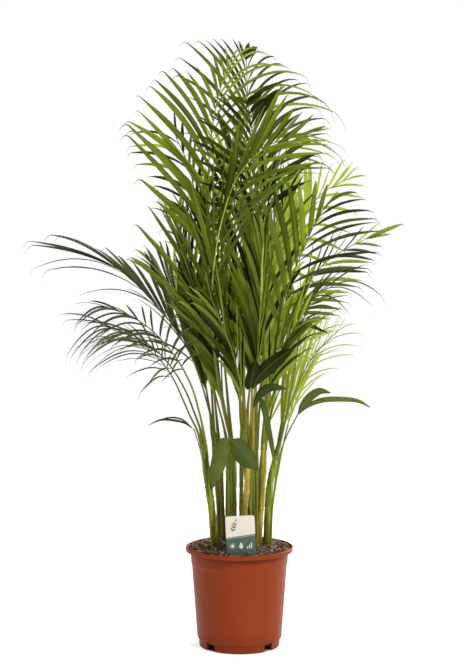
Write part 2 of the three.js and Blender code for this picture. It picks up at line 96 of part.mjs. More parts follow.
    l: [[0.5200,-136.6,87.3,777.9,0.23,0.66,8.7,-0.57],[0.5649,-153.2,123.3,814.8,0.32,0.66,8.4,-0.35],[0.6099,-156.2,86,839.4,0.33,0.48,8.2,-0.48],[0.6548,-153.1,125.7,867.7,0.38,0.58,8.8,-0.53],[0.6997,-161.7,137.8,905.3,0.21,0.54,7.8,-0.19],[0.7446,-172.2,110.8,929.5,0.28,0.52,8.7,-0.53],[0.7896,-183.8,92.1,948.3,0.3,0.66,8.5,-0.1],[0.8345,-212.3,126.3,973.6,0.25,0.63,8,-0.14],[0.8794,-222.3,96.8,996.6,0.27,0.59,8.6,-0.52],[0.9243,-225.6,114.9,1009.5,0.22,0.52,8.8,-0.49],[0.9693,-220.7,102.4,1035.2,0.36,0.62,8.3,-0.52],[0.5374,-33.8,14.8,820.2,0.21,0.7,8,0.47],[0.5871,-29.1,33.3,865.1,0.38,0.69,9.7,0.17],[0.6369,-31.3,36,908.8,0.29,0.68,9.6,0.51],[0.6866,-47.8,15.5,948.1,0.29,0.56,9,0.46],[0.7363,-53.8,10.1,971.5,0.22,0.51,8.5,0.52],[0.7861,-67.8,52.7,1006.9,0.33,0.57,7.7,0.35],[0.8358,-88.4,55.8,1027.5,0.31,0.7,7.1,0.16],[0.8855,-95.8,50.4,1044.3,0.37,0.67,6.5,0.27],[0.9353,-114.7,30.1,1055.4,0.27,0.5,7,0.47],[0.9850,-132,39.9,1081.5,0.35,0.67,5.7,0.58]] },
  { name: "frond_10", tone: "l", r: [2.6, 0.9], p: [47.81,-16.67,425.29,52.99,-5.27,488.22,60.62,9.28,550.85,69.13,24.62,613.18,79.15,40.29,675.2,91.47,54.82,737.07,109.1,69.82,797.53,130.95,82.38,857.13,165.78,92.56,910.33,220.66,98,943.05],
    l: [[0.5000,41.5,105.3,766.7,0.22,0.48,12,-0.19],[0.5338,42.6,143.5,834.2,0.29,0.42,12.5,-0.11],[0.5676,54.1,135.5,878.6,0.26,0.55,13.6,-0.13],[0.6014,59.6,137.8,917,0.21,0.49,12.3,-0.28],[0.6352,79.9,145.6,942.1,0.27,0.58,14.5,-0.36],[0.6690,85.5,137.8,959.5,0.31,0.6,13.1,-0.25],[0.7028,100.7,139.4,979.8,0.24,0.57,12.5,-0.19],[0.7366,118.9,139,979.1,0.2,0.41,10.8,-0.17],[0.7704,135.8,126.3,978.7,0.23,0.55,9.9,-0.31],[0.8042,144.6,105.2,983.7,0.2,0.42,9.8,-0.3],[0.8380,172.9,145,980.9,0.27,0.52,9.4,-0.16],[0.8718,192.3,153.3,977.2,0.25,0.6,10.9,-0.53],[0.9056,216.5,147.3,984.2,0.3,0.44,9.8,-0.31],[0.9394,233.3,112.1,977.7,0.18,0.5,8.7,-0.39],[0.9732,244.8,149.2,968.4,0.31,0.58,9.8,-0.2],[0.5203,134.6,16.8,678.6,0.2,0.49,7.5,0.21],[0.5784,164.8,54.5,722.3,0.24,0.55,7.1,0.22],[0.6365,185.4,28.4,766.5,0.27,0.49,6.5,0.29],[0.6946,211.1,34.5,797.2,0.21,0.57,7,0.26],[0.7527,226.9,79,832.9,0.21,0.43,6.1,0.55],[0.8107,235.8,81.4,875.1,0.26,0.49,6.7,0.22],[0.8688,251.3,77.4,904.2,0.22,0.52,6.2,0.44],[0.9269,258.4,85.3,927.8,0.27,0.51,5.3,0.12],[0.9850,259.2,77,949,0.32,0.43,4.6,0.59]] },
  { name: "frond_11", tone: "d", r: [2.6, 0.9], p: [53.06,-19.69,425.12,56.47,-23.46,479.69,61.31,-28.57,534.07,67.65,-33.87,588.28,75.41,-38.76,642.34,86.1,-43.81,695.86,102.33,-49.27,747.93,123.49,-54.24,798.25,145.42,-58.58,848.29,173.14,-60,895.31],
    l: [[0.4600,13.1,-115.8,784.2,0.17,0.28,14.3,-0.35],[0.5229,21.5,-116.5,848.6,0.24,0.41,13.9,-0.41],[0.5857,41.3,-135.8,900.8,0.22,0.37,14.4,-0.14],[0.6486,63.1,-121.1,925.5,0.16,0.39,13.7,-0.15],[0.7115,92.9,-122.4,931.6,0.16,0.37,14.7,-0.19],[0.7744,114.2,-102.8,927,0.25,0.4,12.3,-0.42],[0.8372,148.4,-78.5,934.8,0.14,0.3,11.1,-0.31],[0.9001,170.1,-83.9,929.2,0.17,0.32,9.5,-0.53],[0.9630,198,-77.4,922.4,0.26,0.29,9.5,-0.55],[0.4778,198.9,1.7,668.3,0.23,0.41,10.2,0.54],[0.5285,216.1,-8,695.5,0.23,0.37,9.4,0.48],[0.5792,239,-20.1,725.8,0.32,0.38,9.5,0.31],[0.6299,256.8,6.5,762.9,0.21,0.41,9.8,0.32],[0.6807,272.3,-44,797.1,0.21,0.31,9.1,0.29],[0.7314,281.4,-41.2,838.4,0.34,0.34,9.4,0.59],[0.7821,269.5,-40.7,855.4,0.32,0.36,9.2,0.47],[0.8328,267.8,-27.9,862.5,0.3,0.4,9,0.3],[0.8836,257.5,-57.9,878,0.39,0.36,8,0.41],[0.9343,247.6,-44.2,900.5,0.37,0.32,7.6,0.42],[0.9850,227.3,-57.4,914.2,0.55,0.28,7.3,0.22]] },
  { name: "frond_12", tone: "m", r: [2.6, 0.9], p: [78.17,-6.07,404.67,87.4,0.77,458.18,95.07,9.45,512.11,101.61,17.74,566.25,107.94,25.76,620.45,117.53,32.57,674.32,136.42,38.85,725.62,169.6,43.06,769.09,214.61,44.21,800.79,263.99,42,825.21],
    l: [[0.4800,79.2,92.2,698.2,0.08,0.45,8.2,-0.16],[0.5288,101.2,84.2,754.1,0.1,0.4,7.5,-0.11],[0.5776,121.9,107.5,790.6,0.13,0.46,8.8,-0.43],[0.6264,151.1,77.6,812.9,0.11,0.37,7.9,-0.31],[0.6752,173.7,72.9,822.7,0.09,0.43,7.2,-0.23],[0.7240,195.7,82.5,840.2,0.11,0.38,8,-0.25],[0.7728,211.3,79.9,843.4,0.12,0.42,7.3,-0.49],[0.8215,227,88.2,835.4,0.13,0.42,5.8,-0.58],[0.8703,252.9,62.8,846.6,0.1,0.38,5.5,-0.37],[0.9191,281.7,52.6,852.4,0.14,0.44,5.9,-0.3],[0.9679,305.4,63.6,843,0.13,0.47,5.7,-0.27],[0.4989,173.9,-31.7,636.8,0.07,0.4,8.7,0.21],[0.5529,202.7,-21.2,683.4,0.07,0.43,7.3,0.57],[0.6069,216.8,-17.6,716,0.12,0.44,7.2,0.42],[0.6609,244.1,0.6,739.2,0.12,0.53,8.3,0.26],[0.7149,253.3,-7.1,756.3,0.08,0.47,8.4,0.52],[0.7690,264.3,-9.4,775.1,0.09,0.48,7.7,0.28],[0.8230,269.2,16.9,779.3,0.12,0.52,6.8,0.36],[0.8770,280.7,18.1,790.5,0.1,0.51,6.2,0.15],[0.9310,287.3,31.3,805.8,0.12,0.46,6.1,0.14],[0.9850,307.4,43.7,831,0.1,0.48,6,0.33],[0.9800,328.1,37.6,851.5,0.09,0.45,9,0.3]] },
  { name: "frond_13", tone: "g", r: [2.6, 0.9], p: [78.08,-12.05,404.29,87.51,-19.67,442.43,95.72,-28.57,480.71,102.62,-35.93,519.59,108.43,-43.36,558.64,113.9,-50.35,597.82,119.79,-55.83,637.17,128.68,-60.91,675.99,144.66,-67.26,712.07,178.89,-74,729.3],
    l: [[0.5000,85.7,-53.1,694.8,0.32,0.29,5.4,-0.5],[0.5764,114.4,-64.7,730.6,0.39,0.35,5,-0.19],[0.6528,133.2,-60,747.6,0.52,0.35,4.4,-0.5],[0.7291,169.9,-77,758.6,0.4,0.35,4.3,-0.34],[0.8055,196.2,-82.4,772.4,0.32,0.3,4.7,-0.39],[0.8819,218.5,-102.8,773.5,0.3,0.24,4.3,-0.34],[0.9583,246.3,-98.9,774,0.42,0.31,4.1,-0.59],[0.5231,148.9,-74.4,610.3,0.4,0.3,4.1,0.17],[0.5891,164.9,-100.8,639.8,0.53,0.35,4.8,0.35],[0.6551,177.5,-75.1,666.9,0.75,0.26,4.9,0.41],[0.7211,182.2,-87,677.9,0.62,0.3,4.4,0.49],[0.7870,197.8,-103.1,681.9,0.64,0.31,4.4,0.29],[0.8530,217.5,-71.7,674,1.1,0.25,4.6,0.33],[0.9190,261.2,-70.5,690.8,0.86,0.29,4.7,0.5],[0.9850,275.2,-106.8,713.2,0.85,0.27,3.7,0.26]] },
  { name: "frond_14", tone: "d", r: [2.6, 0.9], p: [33.12,9.61,449.86,35.35,14.28,482.33,39.93,23.75,513.69,47.17,30.86,545.22,55.21,38.51,576.4,66.1,47.62,606.31,81.36,56.91,634.13,101.94,65.86,658.42,127.12,74.28,678.08,157.21,82,689.4],
    l: [[0.2600,93,15.2,619.1,0.28,0.4,12.2,-0.55],[0.3468,110,13.7,653.7,0.25,0.37,12.9,-0.43],[0.4337,127.3,16.5,672.7,0.36,0.49,12.4,-0.38],[0.5205,142.9,59.4,710.1,0.23,0.52,11.9,-0.26],[0.6073,179.1,46.5,728.3,0.22,0.41,13.2,-0.23],[0.6941,179.4,45.2,726.7,0.26,0.43,11.2,-0.43],[0.7810,199.9,55.9,730.5,0.29,0.49,10.6,-0.28],[0.8678,213.3,63.5,708.5,0.35,0.52,10.7,-0.36],[0.9546,221.3,76.3,705.4,0.29,0.45,9.2,-0.37],[0.2945,14.2,55.1,621.8,0.28,0.44,11.6,0.39],[0.3932,35.9,76.4,681.6,0.35,0.43,12.7,0.52],[0.4918,40.2,81.7,701.6,0.39,0.53,10.8,0.41],[0.5904,74.2,108.1,745.6,0.27,0.52,10.5,0.51],[0.6891,114.2,122.6,755.9,0.24,0.36,10.4,0.5],[0.7877,159.6,120.3,769.7,0.39,0.46,11.2,0.54],[0.8864,180.9,113.3,740.7,0.3,0.43,9.8,0.11],[0.9850,208.6,111.9,714.8,0.37,0.53,8.2,0.26]] },
  { name: "frond_15", tone: "l", r: [2.6, 0.9], p: [76.24,13.97,398.18,84.51,16.64,427.44,93.71,24.16,455.94,103.06,29.77,484.86,113.9,36.25,513.07,126.26,43.39,540.48,140.85,50.82,566.69,158.4,58.25,590.99,179.27,65.36,612.64,201.97,72,632.53],
    l: [[0.1200,94,29.4,626.2,0.1,0.89,6,-0.49],[0.1900,103.9,32.7,653.6,0.12,0.79,5.4,-0.54],[0.2601,115.6,50.2,660.3,0.13,1.04,4.9,-0.45],[0.3301,133.5,54.5,673.5,0.15,1.03,5.2,-0.51],[0.4002,144.3,44.6,663.5,0.13,0.84,4.2,-0.35],[0.4702,157.8,52.1,654,0.15,0.77,4.9,-0.41],[0.5402,166.1,67.4,668.8,0.15,0.97,4,-0.22],[0.6103,174.9,78.6,674.2,0.11,0.94,4.4,-0.21],[0.6803,184.6,77.7,667.1,0.12,1.08,4.3,-0.13],[0.7504,186.2,99.7,658.4,0.1,1.02,3.7,-0.31],[0.8204,204.9,87.7,660.8,0.13,1.06,3.3,-0.13],[0.8904,207.1,87.5,657.7,0.11,0.96,3.5,-0.44],[0.9605,219.4,86.6,660.1,0.13,0.83,2.9,-0.27],[0.1677,169.4,47.2,544.4,0.3,0.97,4.6,0.2],[0.3039,181.4,23.1,552.9,0.41,0.9,4.6,0.31],[0.4401,201.9,63.5,556.5,0.42,0.98,4.5,0.16],[0.5763,229.3,48.4,586,0.28,0.95,4.1,0.27],[0.7126,244,67.7,601.7,0.37,1.01,3.6,0.36],[0.8488,247.7,72,627.1,0.34,1.01,3.7,0.39],[0.9850,237.5,75.6,647.5,0.41,0.87,3.3,0.5]] },
  { name: "frond_16", tone: "l", r: [2.6, 0.9], p: [57.2,57.17,424.03,61.47,61.08,447.49,67.38,69.67,469.46,74.86,78.17,490.98,83.83,86.92,511.81,95.88,96.63,530.54,111.05,106.29,546.88,129.18,115.1,560.42,150.03,122.19,570.62,172.31,128,578.43],
    l: [[0.1600,90.7,55.5,539.3,0.28,0.43,3.8,-0.45],[0.2588,108.1,74.5,573.4,0.22,0.51,4,-0.3],[0.3576,123.1,69.8,582.8,0.29,0.48,3.9,-0.43],[0.4564,154.7,102.1,610.7,0.36,0.45,4.7,-0.52],[0.5552,172.6,102.5,609,0.35,0.57,4,-0.34],[0.6540,193.5,110.7,612.8,0.37,0.54,3.9,-0.15],[0.7528,218.5,113,603.3,0.28,0.46,3.8,-0.53],[0.8516,216.7,121.1,588,0.31,0.59,3.5,-0.42],[0.9504,220.1,128.6,588.3,0.28,0.57,3.7,-0.5],[0.1946,60.1,121.7,531.5,0.31,0.43,3.9,0.48],[0.2934,71.2,141.8,564.1,0.27,0.56,3.9,0.36],[0.3922,76.7,151.3,589.2,0.33,0.41,4.5,0.47],[0.4910,107.6,161.2,600.9,0.24,0.46,4.4,0.59],[0.5898,151.4,175.6,617.3,0.38,0.46,4.1,0.33],[0.6886,182,181.4,619.9,0.39,0.56,4.2,0.45],[0.7874,200.7,168.6,605.6,0.37,0.55,4.3,0.57],[0.8862,210.5,163.4,596.2,0.29,0.42,3.2,0.46],[0.9850,220,154.5,591.6,0.26,0.45,3.4,0.23]] },
  { name: "frond_17", tone: "d", r: [2.6, 0.9], p: [19.21,-47.21,414.56,17.23,-59.48,451.26,11.34,-79.01,485.75,5.93,-96.53,521.39,-0.79,-115.83,555.85,-9.09,-137.24,588.7,-18.67,-159.58,620.57,-29.53,-182.77,651.4,-41.45,-206.56,681.38,-52.14,-230,712.08],
    l: [[0.3000,-48.1,-154.6,598.7,0.35,0.35,10.7,-0.21],[0.3932,-64.6,-189.1,644.1,0.33,0.41,11.1,-0.18],[0.4864,-77.3,-219,656.5,0.3,0.3,11.7,-0.24],[0.5796,-80.7,-237,697.3,0.23,0.38,11.8,-0.39],[0.6728,-88.9,-258.2,709.3,0.34,0.33,11.7,-0.34],[0.7660,-103,-266.9,729.7,0.38,0.34,10.9,-0.44],[0.8592,-94.6,-277.3,740.6,0.22,0.29,10.1,-0.56],[0.9524,-86.8,-271.1,739.4,0.38,0.4,7.8,-0.12],[0.3256,9.2,-130.1,645.4,0.27,0.36,13.1,0.48],[0.3989,-1,-142.2,679.1,0.34,0.38,12.8,0.18],[0.4722,-6.6,-156.9,708.6,0.26,0.4,11.5,0.24],[0.5454,-33.5,-176.2,745.1,0.27,0.36,12.8,0.55],[0.6187,-46.8,-209,756.1,0.31,0.39,12.4,0.24],[0.6920,-53.6,-221.3,782.4,0.33,0.34,11.9,0.26],[0.7652,-45.4,-224.9,780.7,0.26,0.38,9.8,0.14],[0.8385,-67.7,-252.5,775.8,0.35,0.42,10.2,0.36],[0.9117,-70.3,-260.4,782.2,0.38,0.28,8.4,0.47],[0.9850,-66.4,-264,774.8,0.22,0.4,7.5,0.3]] },
  { name: "frond_18", tone: "m", r: [2.8, 0.9], p: [25.03,-45.61,414.16,27.2,-54.98,461.14,28.63,-67.22,507.89,31.78,-78.72,554.76,34.79,-91.06,601.43,37.61,-104.25,647.87,39.85,-118.48,694.04,41.46,-134.56,739.62,42.6,-153.61,784.05,45.76,-176,826.79],
    l: [[0.2600,-5.8,-121.6,621.4,0.25,0.46,12.2,-0.26],[0.3300,-15.3,-142.8,668.7,0.21,0.57,14,-0.44],[0.4001,15.1,-149.7,704.7,0.16,0.41,12.5,-0.51],[0.4701,13.6,-165.6,745,0.2,0.47,14,-0.53],[0.5402,-5.6,-183,770.3,0.25,0.5,12.3,-0.32],[0.6102,10.2,-178,797.7,0.15,0.44,11.2,-0.55],[0.6803,6.3,-201.9,823.6,0.15,0.58,12.9,-0.16],[0.7503,15.8,-191.3,835.2,0.25,0.56,10.4,-0.24],[0.8204,23.4,-195.1,849.3,0.24,0.43,9.8,-0.5],[0.8904,24.1,-215.2,873.5,0.19,0.4,10.1,-0.1],[0.9605,37.8,-210.8,869.4,0.22,0.45,8.6,-0.46],[0.2871,40.5,-49.2,645.1,0.25,0.4,11.8,0.28],[0.3647,58.3,-72,702.3,0.16,0.42,13.2,0.59],[0.4422,49.8,-80.5,735.3,0.23,0.57,13.7,0.13],[0.5198,56.5,-88.1,770.2,0.15,0.52,13.7,0.11],[0.5973,52.7,-103.1,818.2,0.25,0.52,11.1,0.54],[0.6748,49.8,-109.5,841.8,0.19,0.53,11.1,0.21],[0.7524,53,-146.8,884.7,0.23,0.41,11.9,0.15],[0.8299,50.3,-153.9,881.7,0.15,0.59,10,0.22],[0.9075,56.5,-178.4,886.3,0.22,0.52,10.1,0.13],[0.9850,55.7,-189,901.6,0.24,0.42,8.9,0.19]] },
  { name: "frond_19", tone: "d", r: [2.6, 0.9], p: [47.81,-22.72,425.09,48.79,-31.78,456.97,51.87,-49.72,486.17,55.61,-67.47,515.41,60.12,-85.47,544.38,66.47,-104.76,572.15,74.59,-125.1,598.67,85.13,-146.59,623.36,98.2,-168.49,646.45,113.84,-190,668.28],
    l: [[0.3400,117.9,-150.6,596,0.25,0.37,11,-0.25],[0.4278,115.6,-162.2,613.8,0.21,0.34,9.3,-0.46],[0.5155,135.4,-192.1,661.9,0.28,0.36,9.5,-0.55],[0.6033,143.8,-214.4,673.3,0.24,0.42,8.6,-0.33],[0.6910,151.1,-238.4,683.6,0.33,0.44,10.2,-0.16],[0.7788,162.5,-245.4,682.1,0.26,0.34,9.3,-0.33],[0.8665,149.5,-267.3,677.1,0.32,0.37,8.5,-0.58],[0.9543,141.4,-243.3,692.6,0.39,0.42,7,-0.28],[0.3707,48.9,-87.7,636.6,0.21,0.37,9.6,0.45],[0.4585,69.1,-114.9,673.8,0.29,0.34,10.6,0.33],[0.5462,85,-141.5,722.5,0.36,0.43,10.9,0.2],[0.6340,98.1,-176.1,714.4,0.37,0.39,9.1,0.2],[0.7217,118.5,-191.1,730.3,0.27,0.35,9,0.42],[0.8095,137.4,-219.8,752.6,0.28,0.34,8.5,0.19],[0.8972,120.5,-229.6,735.3,0.31,0.36,8.2,0.14],[0.9850,135.8,-228.1,724.2,0.39,0.41,7.1,0.24]] },
  { name: "frond_20", tone: "m", r: [2.6, 0.9], p: [11.35,76.2,436.54,9.67,82,502,7.84,87.02,567.55,5.2,92.05,633.07,1.15,96.59,698.56,-3.3,99.3,764.12,-7.53,99.96,829.74,-10.78,98.24,895.4,-12.83,93.14,960.93,-13.02,84,1026.05],
    l: [[0.2400,-53.1,57.8,707.8,0.22,0.71,13.5,-0.16],[0.3120,-58.1,67.8,768.5,0.18,0.71,16.4,-0.17],[0.3840,-60.6,69.6,796.2,0.18,0.6,13,-0.3],[0.4559,-60.2,71,871.4,0.18,0.61,13,-0.16],[0.5279,-66.4,66.9,917.4,0.25,0.55,13,-0.36],[0.5999,-65,95.7,945.1,0.2,0.72,11.7,-0.2],[0.6719,-100.9,85.4,991.9,0.23,0.62,13.5,-0.24],[0.7439,-73.3,101,1025.6,0.18,0.67,11.5,-0.36],[0.8158,-72.3,79.8,1054.4,0.2,0.51,10.8,-0.27],[0.8878,-45,75.7,1074,0.17,0.71,10.3,-0.13],[0.9598,-45.5,70.7,1081.9,0.23,0.62,8.3,-0.37],[0.2652,73.1,114.1,716.8,0.25,0.57,15.9,0.26],[0.3372,78.1,106.8,777.8,0.18,0.49,13.8,0.45],[0.4092,63.8,108.6,831,0.24,0.6,14.2,0.34],[0.4811,37.9,119.4,868.8,0.23,0.72,15.2,0.53],[0.5531,63,106,919.7,0.24,0.57,12.7,0.31],[0.6251,35,154.1,955.7,0.17,0.58,13.4,0.54],[0.6971,39.3,138.7,1017.2,0.23,0.71,13.5,0.43],[0.7691,18,123.6,1038.6,0.21,0.68,12.8,0.58],[0.8410,12.9,71.7,1075.1,0.26,0.72,11.5,0.48],[0.9130,7.8,67.5,1099.7,0.23,0.51,8.8,0.56],[0.9850,8.4,86.3,1102.8,0.2,0.58,9,0.57]] },
  { name: "frond_21", tone: "d", r: [2.6, 0.9], p: [3.75,27.88,461.41,0.24,23.99,508.54,-5.79,18.5,555.36,-12.54,13.15,602.11,-20.66,8.24,648.68,-30.17,3.37,694.99,-40.49,-2.58,741,-54.51,-10.73,785.65,-76.35,-21.11,826.4,-111.91,-30,855.99],
    l: [[0.2400,-75.6,-29.1,673.4,0.3,0.56,13,-0.23],[0.3120,-55.8,-55.8,733.1,0.32,0.51,13.6,-0.16],[0.3840,-65.9,-86.7,757.4,0.2,0.58,14.2,-0.6],[0.4559,-70.9,-94.8,796.4,0.29,0.48,13.8,-0.52],[0.5279,-82.2,-59.7,826.2,0.27,0.59,11.7,-0.15],[0.5999,-83,-129.9,869.6,0.24,0.41,14.6,-0.26],[0.6719,-89.6,-64.1,880.5,0.21,0.44,10.9,-0.31],[0.7439,-114.5,-65.7,885.5,0.28,0.56,9.9,-0.44],[0.8158,-120.9,-74.9,888.4,0.25,0.47,9,-0.46],[0.8878,-139.3,-75.8,900.3,0.24,0.6,8.9,-0.17],[0.9598,-169.8,-73.5,883.9,0.31,0.58,9.1,-0.39],[0.2652,10.5,31.5,706.9,0.32,0.53,13.4,0.34],[0.3372,11.6,41.2,752.3,0.18,0.58,14.8,0.53],[0.4092,12.2,36.4,802.9,0.23,0.45,15.9,0.37],[0.4811,-22.3,26.6,830.5,0.3,0.51,13.6,0.16],[0.5531,-22.3,11,850.8,0.2,0.43,12.2,0.26],[0.6251,-31.6,0.6,890.4,0.26,0.4,11.5,0.35],[0.6971,-48.2,-6.3,909.9,0.2,0.43,10.6,0.56],[0.7691,-65.2,-10.4,938,0.22,0.53,11.7,0.34],[0.8410,-99.4,-20.9,941.6,0.25,0.45,9.2,0.34],[0.9130,-140.5,-27,924.3,0.24,0.49,8.7,0.37],[0.9850,-172.6,-22.5,907,0.21,0.55,8.5,0.43]] },
  { name: "frond_22", tone: "m", r: [2.6, 0.9], p: [15.66,80.39,435.97,18.53,91.93,482.81,23.99,106.32,528.76,30.69,121.94,574.14,39.11,139.61,618.46,49.63,159.67,661.29,61.78,180.73,703.21,76.23,202.58,743.97,94.14,224.72,783.16,117.58,246,819.83],
    l: [[0.2200,-17,147.1,649.5,0.32,0.38,13.1,-0.32],[0.2939,-17.8,160.4,690.7,0.38,0.48,15.5,-0.13],[0.3678,-8.3,207.1,719.3,0.36,0.49,15.2,-0.52],[0.4417,16.4,197.6,748.5,0.42,0.44,12.8,-0.32],[0.5157,19.2,229.7,782.1,0.34,0.44,14.7,-0.16],[0.5896,35.2,255.8,808.7,0.33,0.53,13.2,-0.37],[0.6635,53,254.6,837.2,0.25,0.43,11.2,-0.56],[0.7374,61.6,279.6,845,0.32,0.47,13.2,-0.2],[0.8113,93.9,286.2,873.1,0.32,0.53,12.3,-0.53],[0.8852,103.4,282.2,857.4,0.25,0.46,10,-0.33],[0.9591,123.6,277.1,870.3,0.44,0.48,10,-0.21],[0.2459,79.1,132.2,652.3,0.39,0.42,13.1,0.59],[0.3198,94.9,126.3,697,0.37,0.43,14.6,0.54],[0.3937,101.7,153.2,722.3,0.39,0.43,14.8,0.51],[0.4676,133.7,165.5,769.8,0.29,0.5,13.7,0.49],[0.5415,138.4,178.2,774.1,0.39,0.48,14.6,0.15],[0.6154,143.6,207.2,814.7,0.45,0.45,14.4,0.33],[0.6893,146.9,211,833.4,0.35,0.47,13.1,0.22],[0.7633,173.7,228.1,865.9,0.32,0.52,13.4,0.32],[0.8372,163,241.8,857.6,0.42,0.48,10,0.29],[0.9111,182.3,254,864.1,0.36,0.54,10.2,0.59],[0.9850,173.6,254.5,865.2,0.27,0.46,8.9,0.21]] },
  { name: "frond_23", tone: "m", r: [2.6, 0.9], p: [-55.07,65.65,421.88,-60.12,75.95,462.53,-66.7,90.35,501.96,-73.85,105.16,541.13,-82.84,122.13,579.01,-93.94,141.09,615.36,-107.32,160.6,650.64,-123.94,181.17,683.85,-145.18,202.41,713.84,-172.9,222,739.35],
    l: [[0.2400,-127.2,102.1,637.5,0.38,0.5,14.4,-0.22],[0.3197,-132.2,118.9,665.9,0.41,0.45,13,-0.49],[0.3994,-150.9,117.6,704.5,0.31,0.44,12,-0.12],[0.4790,-176.6,169,731.3,0.45,0.43,13.3,-0.59],[0.5587,-189.8,164,758.5,0.27,0.46,12.5,-0.23],[0.6384,-220.8,182.3,777.5,0.44,0.49,11.2,-0.52],[0.7181,-203.4,203.1,783.9,0.27,0.46,12.3,-0.24],[0.7978,-219.1,223.4,796.1,0.39,0.39,10.7,-0.54],[0.8774,-223,235.7,783.9,0.41,0.52,8.8,-0.28],[0.9571,-242.4,232.6,775.5,0.31,0.46,9.1,-0.44],[0.2652,-29.6,154.7,633.2,0.33,0.49,13.1,0.22],[0.3372,-53.2,170.1,673.2,0.43,0.5,12.1,0.33],[0.4092,-43.6,194.4,685.6,0.32,0.47,12.4,0.1],[0.4811,-81.3,213.7,726,0.29,0.4,12,0.2],[0.5531,-96.4,227.4,767.9,0.43,0.48,12,0.24],[0.6251,-90.6,256.4,785.2,0.36,0.41,11.8,0.12],[0.6971,-112.2,259.5,784.8,0.37,0.39,12.5,0.33],[0.7691,-140.2,282.6,808.4,0.27,0.49,12,0.26],[0.8410,-171.9,288.4,813,0.34,0.41,11.2,0.19],[0.9130,-204.4,283.9,803.7,0.3,0.37,10.3,0.2],[0.9850,-205.8,276.3,790.1,0.44,0.54,8.7,0.5]] },
  { name: "frond_24", tone: "d", r: [2.6, 0.9], p: [-52.13,60.55,422.67,-54.89,69.39,477.06,-58.36,80.21,531.19,-62.14,90.79,585.34,-65,102.37,639.35,-67.18,114.05,693.36,-68.8,125.17,747.51,-68.86,135.73,801.8,-66.62,145.17,856.24,-60.95,152,910.82],
    l: [[0.2200,-75.8,45.4,661.6,0.28,0.5,14.6,-0.52],[0.2939,-67.4,44.7,709.6,0.31,0.62,12.1,-0.39],[0.3678,-67.2,57.7,743.6,0.2,0.52,12.8,-0.15],[0.4417,-66.1,63.8,773,0.28,0.48,11.9,-0.12],[0.5157,-65,86.5,860.8,0.18,0.45,12.6,-0.33],[0.5896,-67.1,87.4,858.5,0.22,0.5,12.6,-0.34],[0.6635,-55,90.8,919.8,0.18,0.61,12.8,-0.48],[0.7374,-109.8,121.9,936.4,0.2,0.61,10.6,-0.54],[0.8113,-92.7,104.5,946.9,0.2,0.5,9.9,-0.38],[0.8852,-82.2,115.1,966,0.25,0.66,9.2,-0.45],[0.9591,-70.1,139.5,967.9,0.24,0.59,9.8,-0.35],[0.2459,-31.7,165.8,662.1,0.23,0.59,13.5,0.38],[0.3198,-26.9,172.2,689.2,0.23,0.64,12.2,0.34],[0.3937,-27.2,189.8,714.4,0.3,0.63,12.1,0.55],[0.4676,-16,209.7,782.4,0.22,0.61,14.8,0.56],[0.5415,-14.9,208.4,813.5,0.32,0.48,13.9,0.28],[0.6154,-33.9,229.7,858.7,0.24,0.63,12.6,0.58],[0.6893,-30.1,221.3,905.4,0.19,0.6,12.9,0.18],[0.7633,-61.4,235.2,924.9,0.21,0.51,11.8,0.14],[0.8372,-61.7,226.7,941,0.32,0.62,11,0.48],[0.9111,-56.6,202.6,964.1,0.19,0.54,9.8,0.46],[0.9850,-55.3,187.7,975.7,0.21,0.54,9,0.19]] },
  { name: "frond_25", tone: "l", r: [2.6, 0.9], p: [51.44,55.72,424.9,53.95,62.39,478.86,56.15,70.57,532.67,58.81,79.46,586.35,61.21,89.85,639.77,64.16,101.3,692.94,68.12,113.84,745.8,73.01,125.41,798.81,79.82,135.69,851.86,90.88,144,904.54],
    l: [[0.2200,23.1,145.6,620.3,0.32,0.45,15.4,-0.31],[0.2939,29.2,145.7,681.7,0.21,0.58,12.9,-0.24],[0.3678,30.2,157.7,721.9,0.23,0.57,14.7,-0.54],[0.4417,11.5,190.8,751.3,0.25,0.49,14.3,-0.25],[0.5157,24.6,152.3,841.1,0.27,0.64,16.6,-0.12],[0.5896,46.4,192.5,836.5,0.28,0.53,14.4,-0.5],[0.6635,44.8,193,877.5,0.23,0.62,12.6,-0.29],[0.7374,43.1,204,894.7,0.22,0.56,13.2,-0.5],[0.8113,57.3,203.2,916.1,0.24,0.59,11.2,-0.47],[0.8852,68.3,179.6,943.6,0.25,0.64,11.1,-0.24],[0.9591,88.3,176.4,964,0.23,0.56,9.7,-0.47],[0.2436,54.9,70.6,670.6,0.25,0.53,14.1,0.2],[0.3110,72.9,28.8,703.8,0.3,0.54,15.2,0.58],[0.3784,77.1,46.6,745.6,0.26,0.54,14.9,0.19],[0.4458,68.7,43.2,790.1,0.32,0.47,14.6,0.38],[0.5132,63.5,69,816.1,0.23,0.53,14.8,0.6],[0.5806,91,128.1,876.4,0.25,0.49,13.3,0.3],[0.6480,71.8,127.1,895.3,0.32,0.65,14.6,0.12],[0.7154,95.7,87.2,900.7,0.21,0.55,12.6,0.28],[0.7828,80.6,98.4,963,0.18,0.48,11.9,0.43],[0.8502,105.3,119.5,961.2,0.25,0.51,13.1,0.24],[0.9176,113.4,150.5,974.1,0.31,0.57,12.4,0.52],[0.9850,107.2,131.2,976.2,0.25,0.45,9.9,0.39]] },
  { name: "frond_26", tone: "m", r: [2.6, 0.9], p: [52.91,61.45,423.99,57.14,69.97,452.74,63.67,84.68,478.99,71.63,100.44,504.22,80.7,117.02,528.53,91.69,134.81,551.13,104.84,153.67,571.6,120.63,173.02,589.58,140.33,192.78,602.26,163.78,212,607.6],
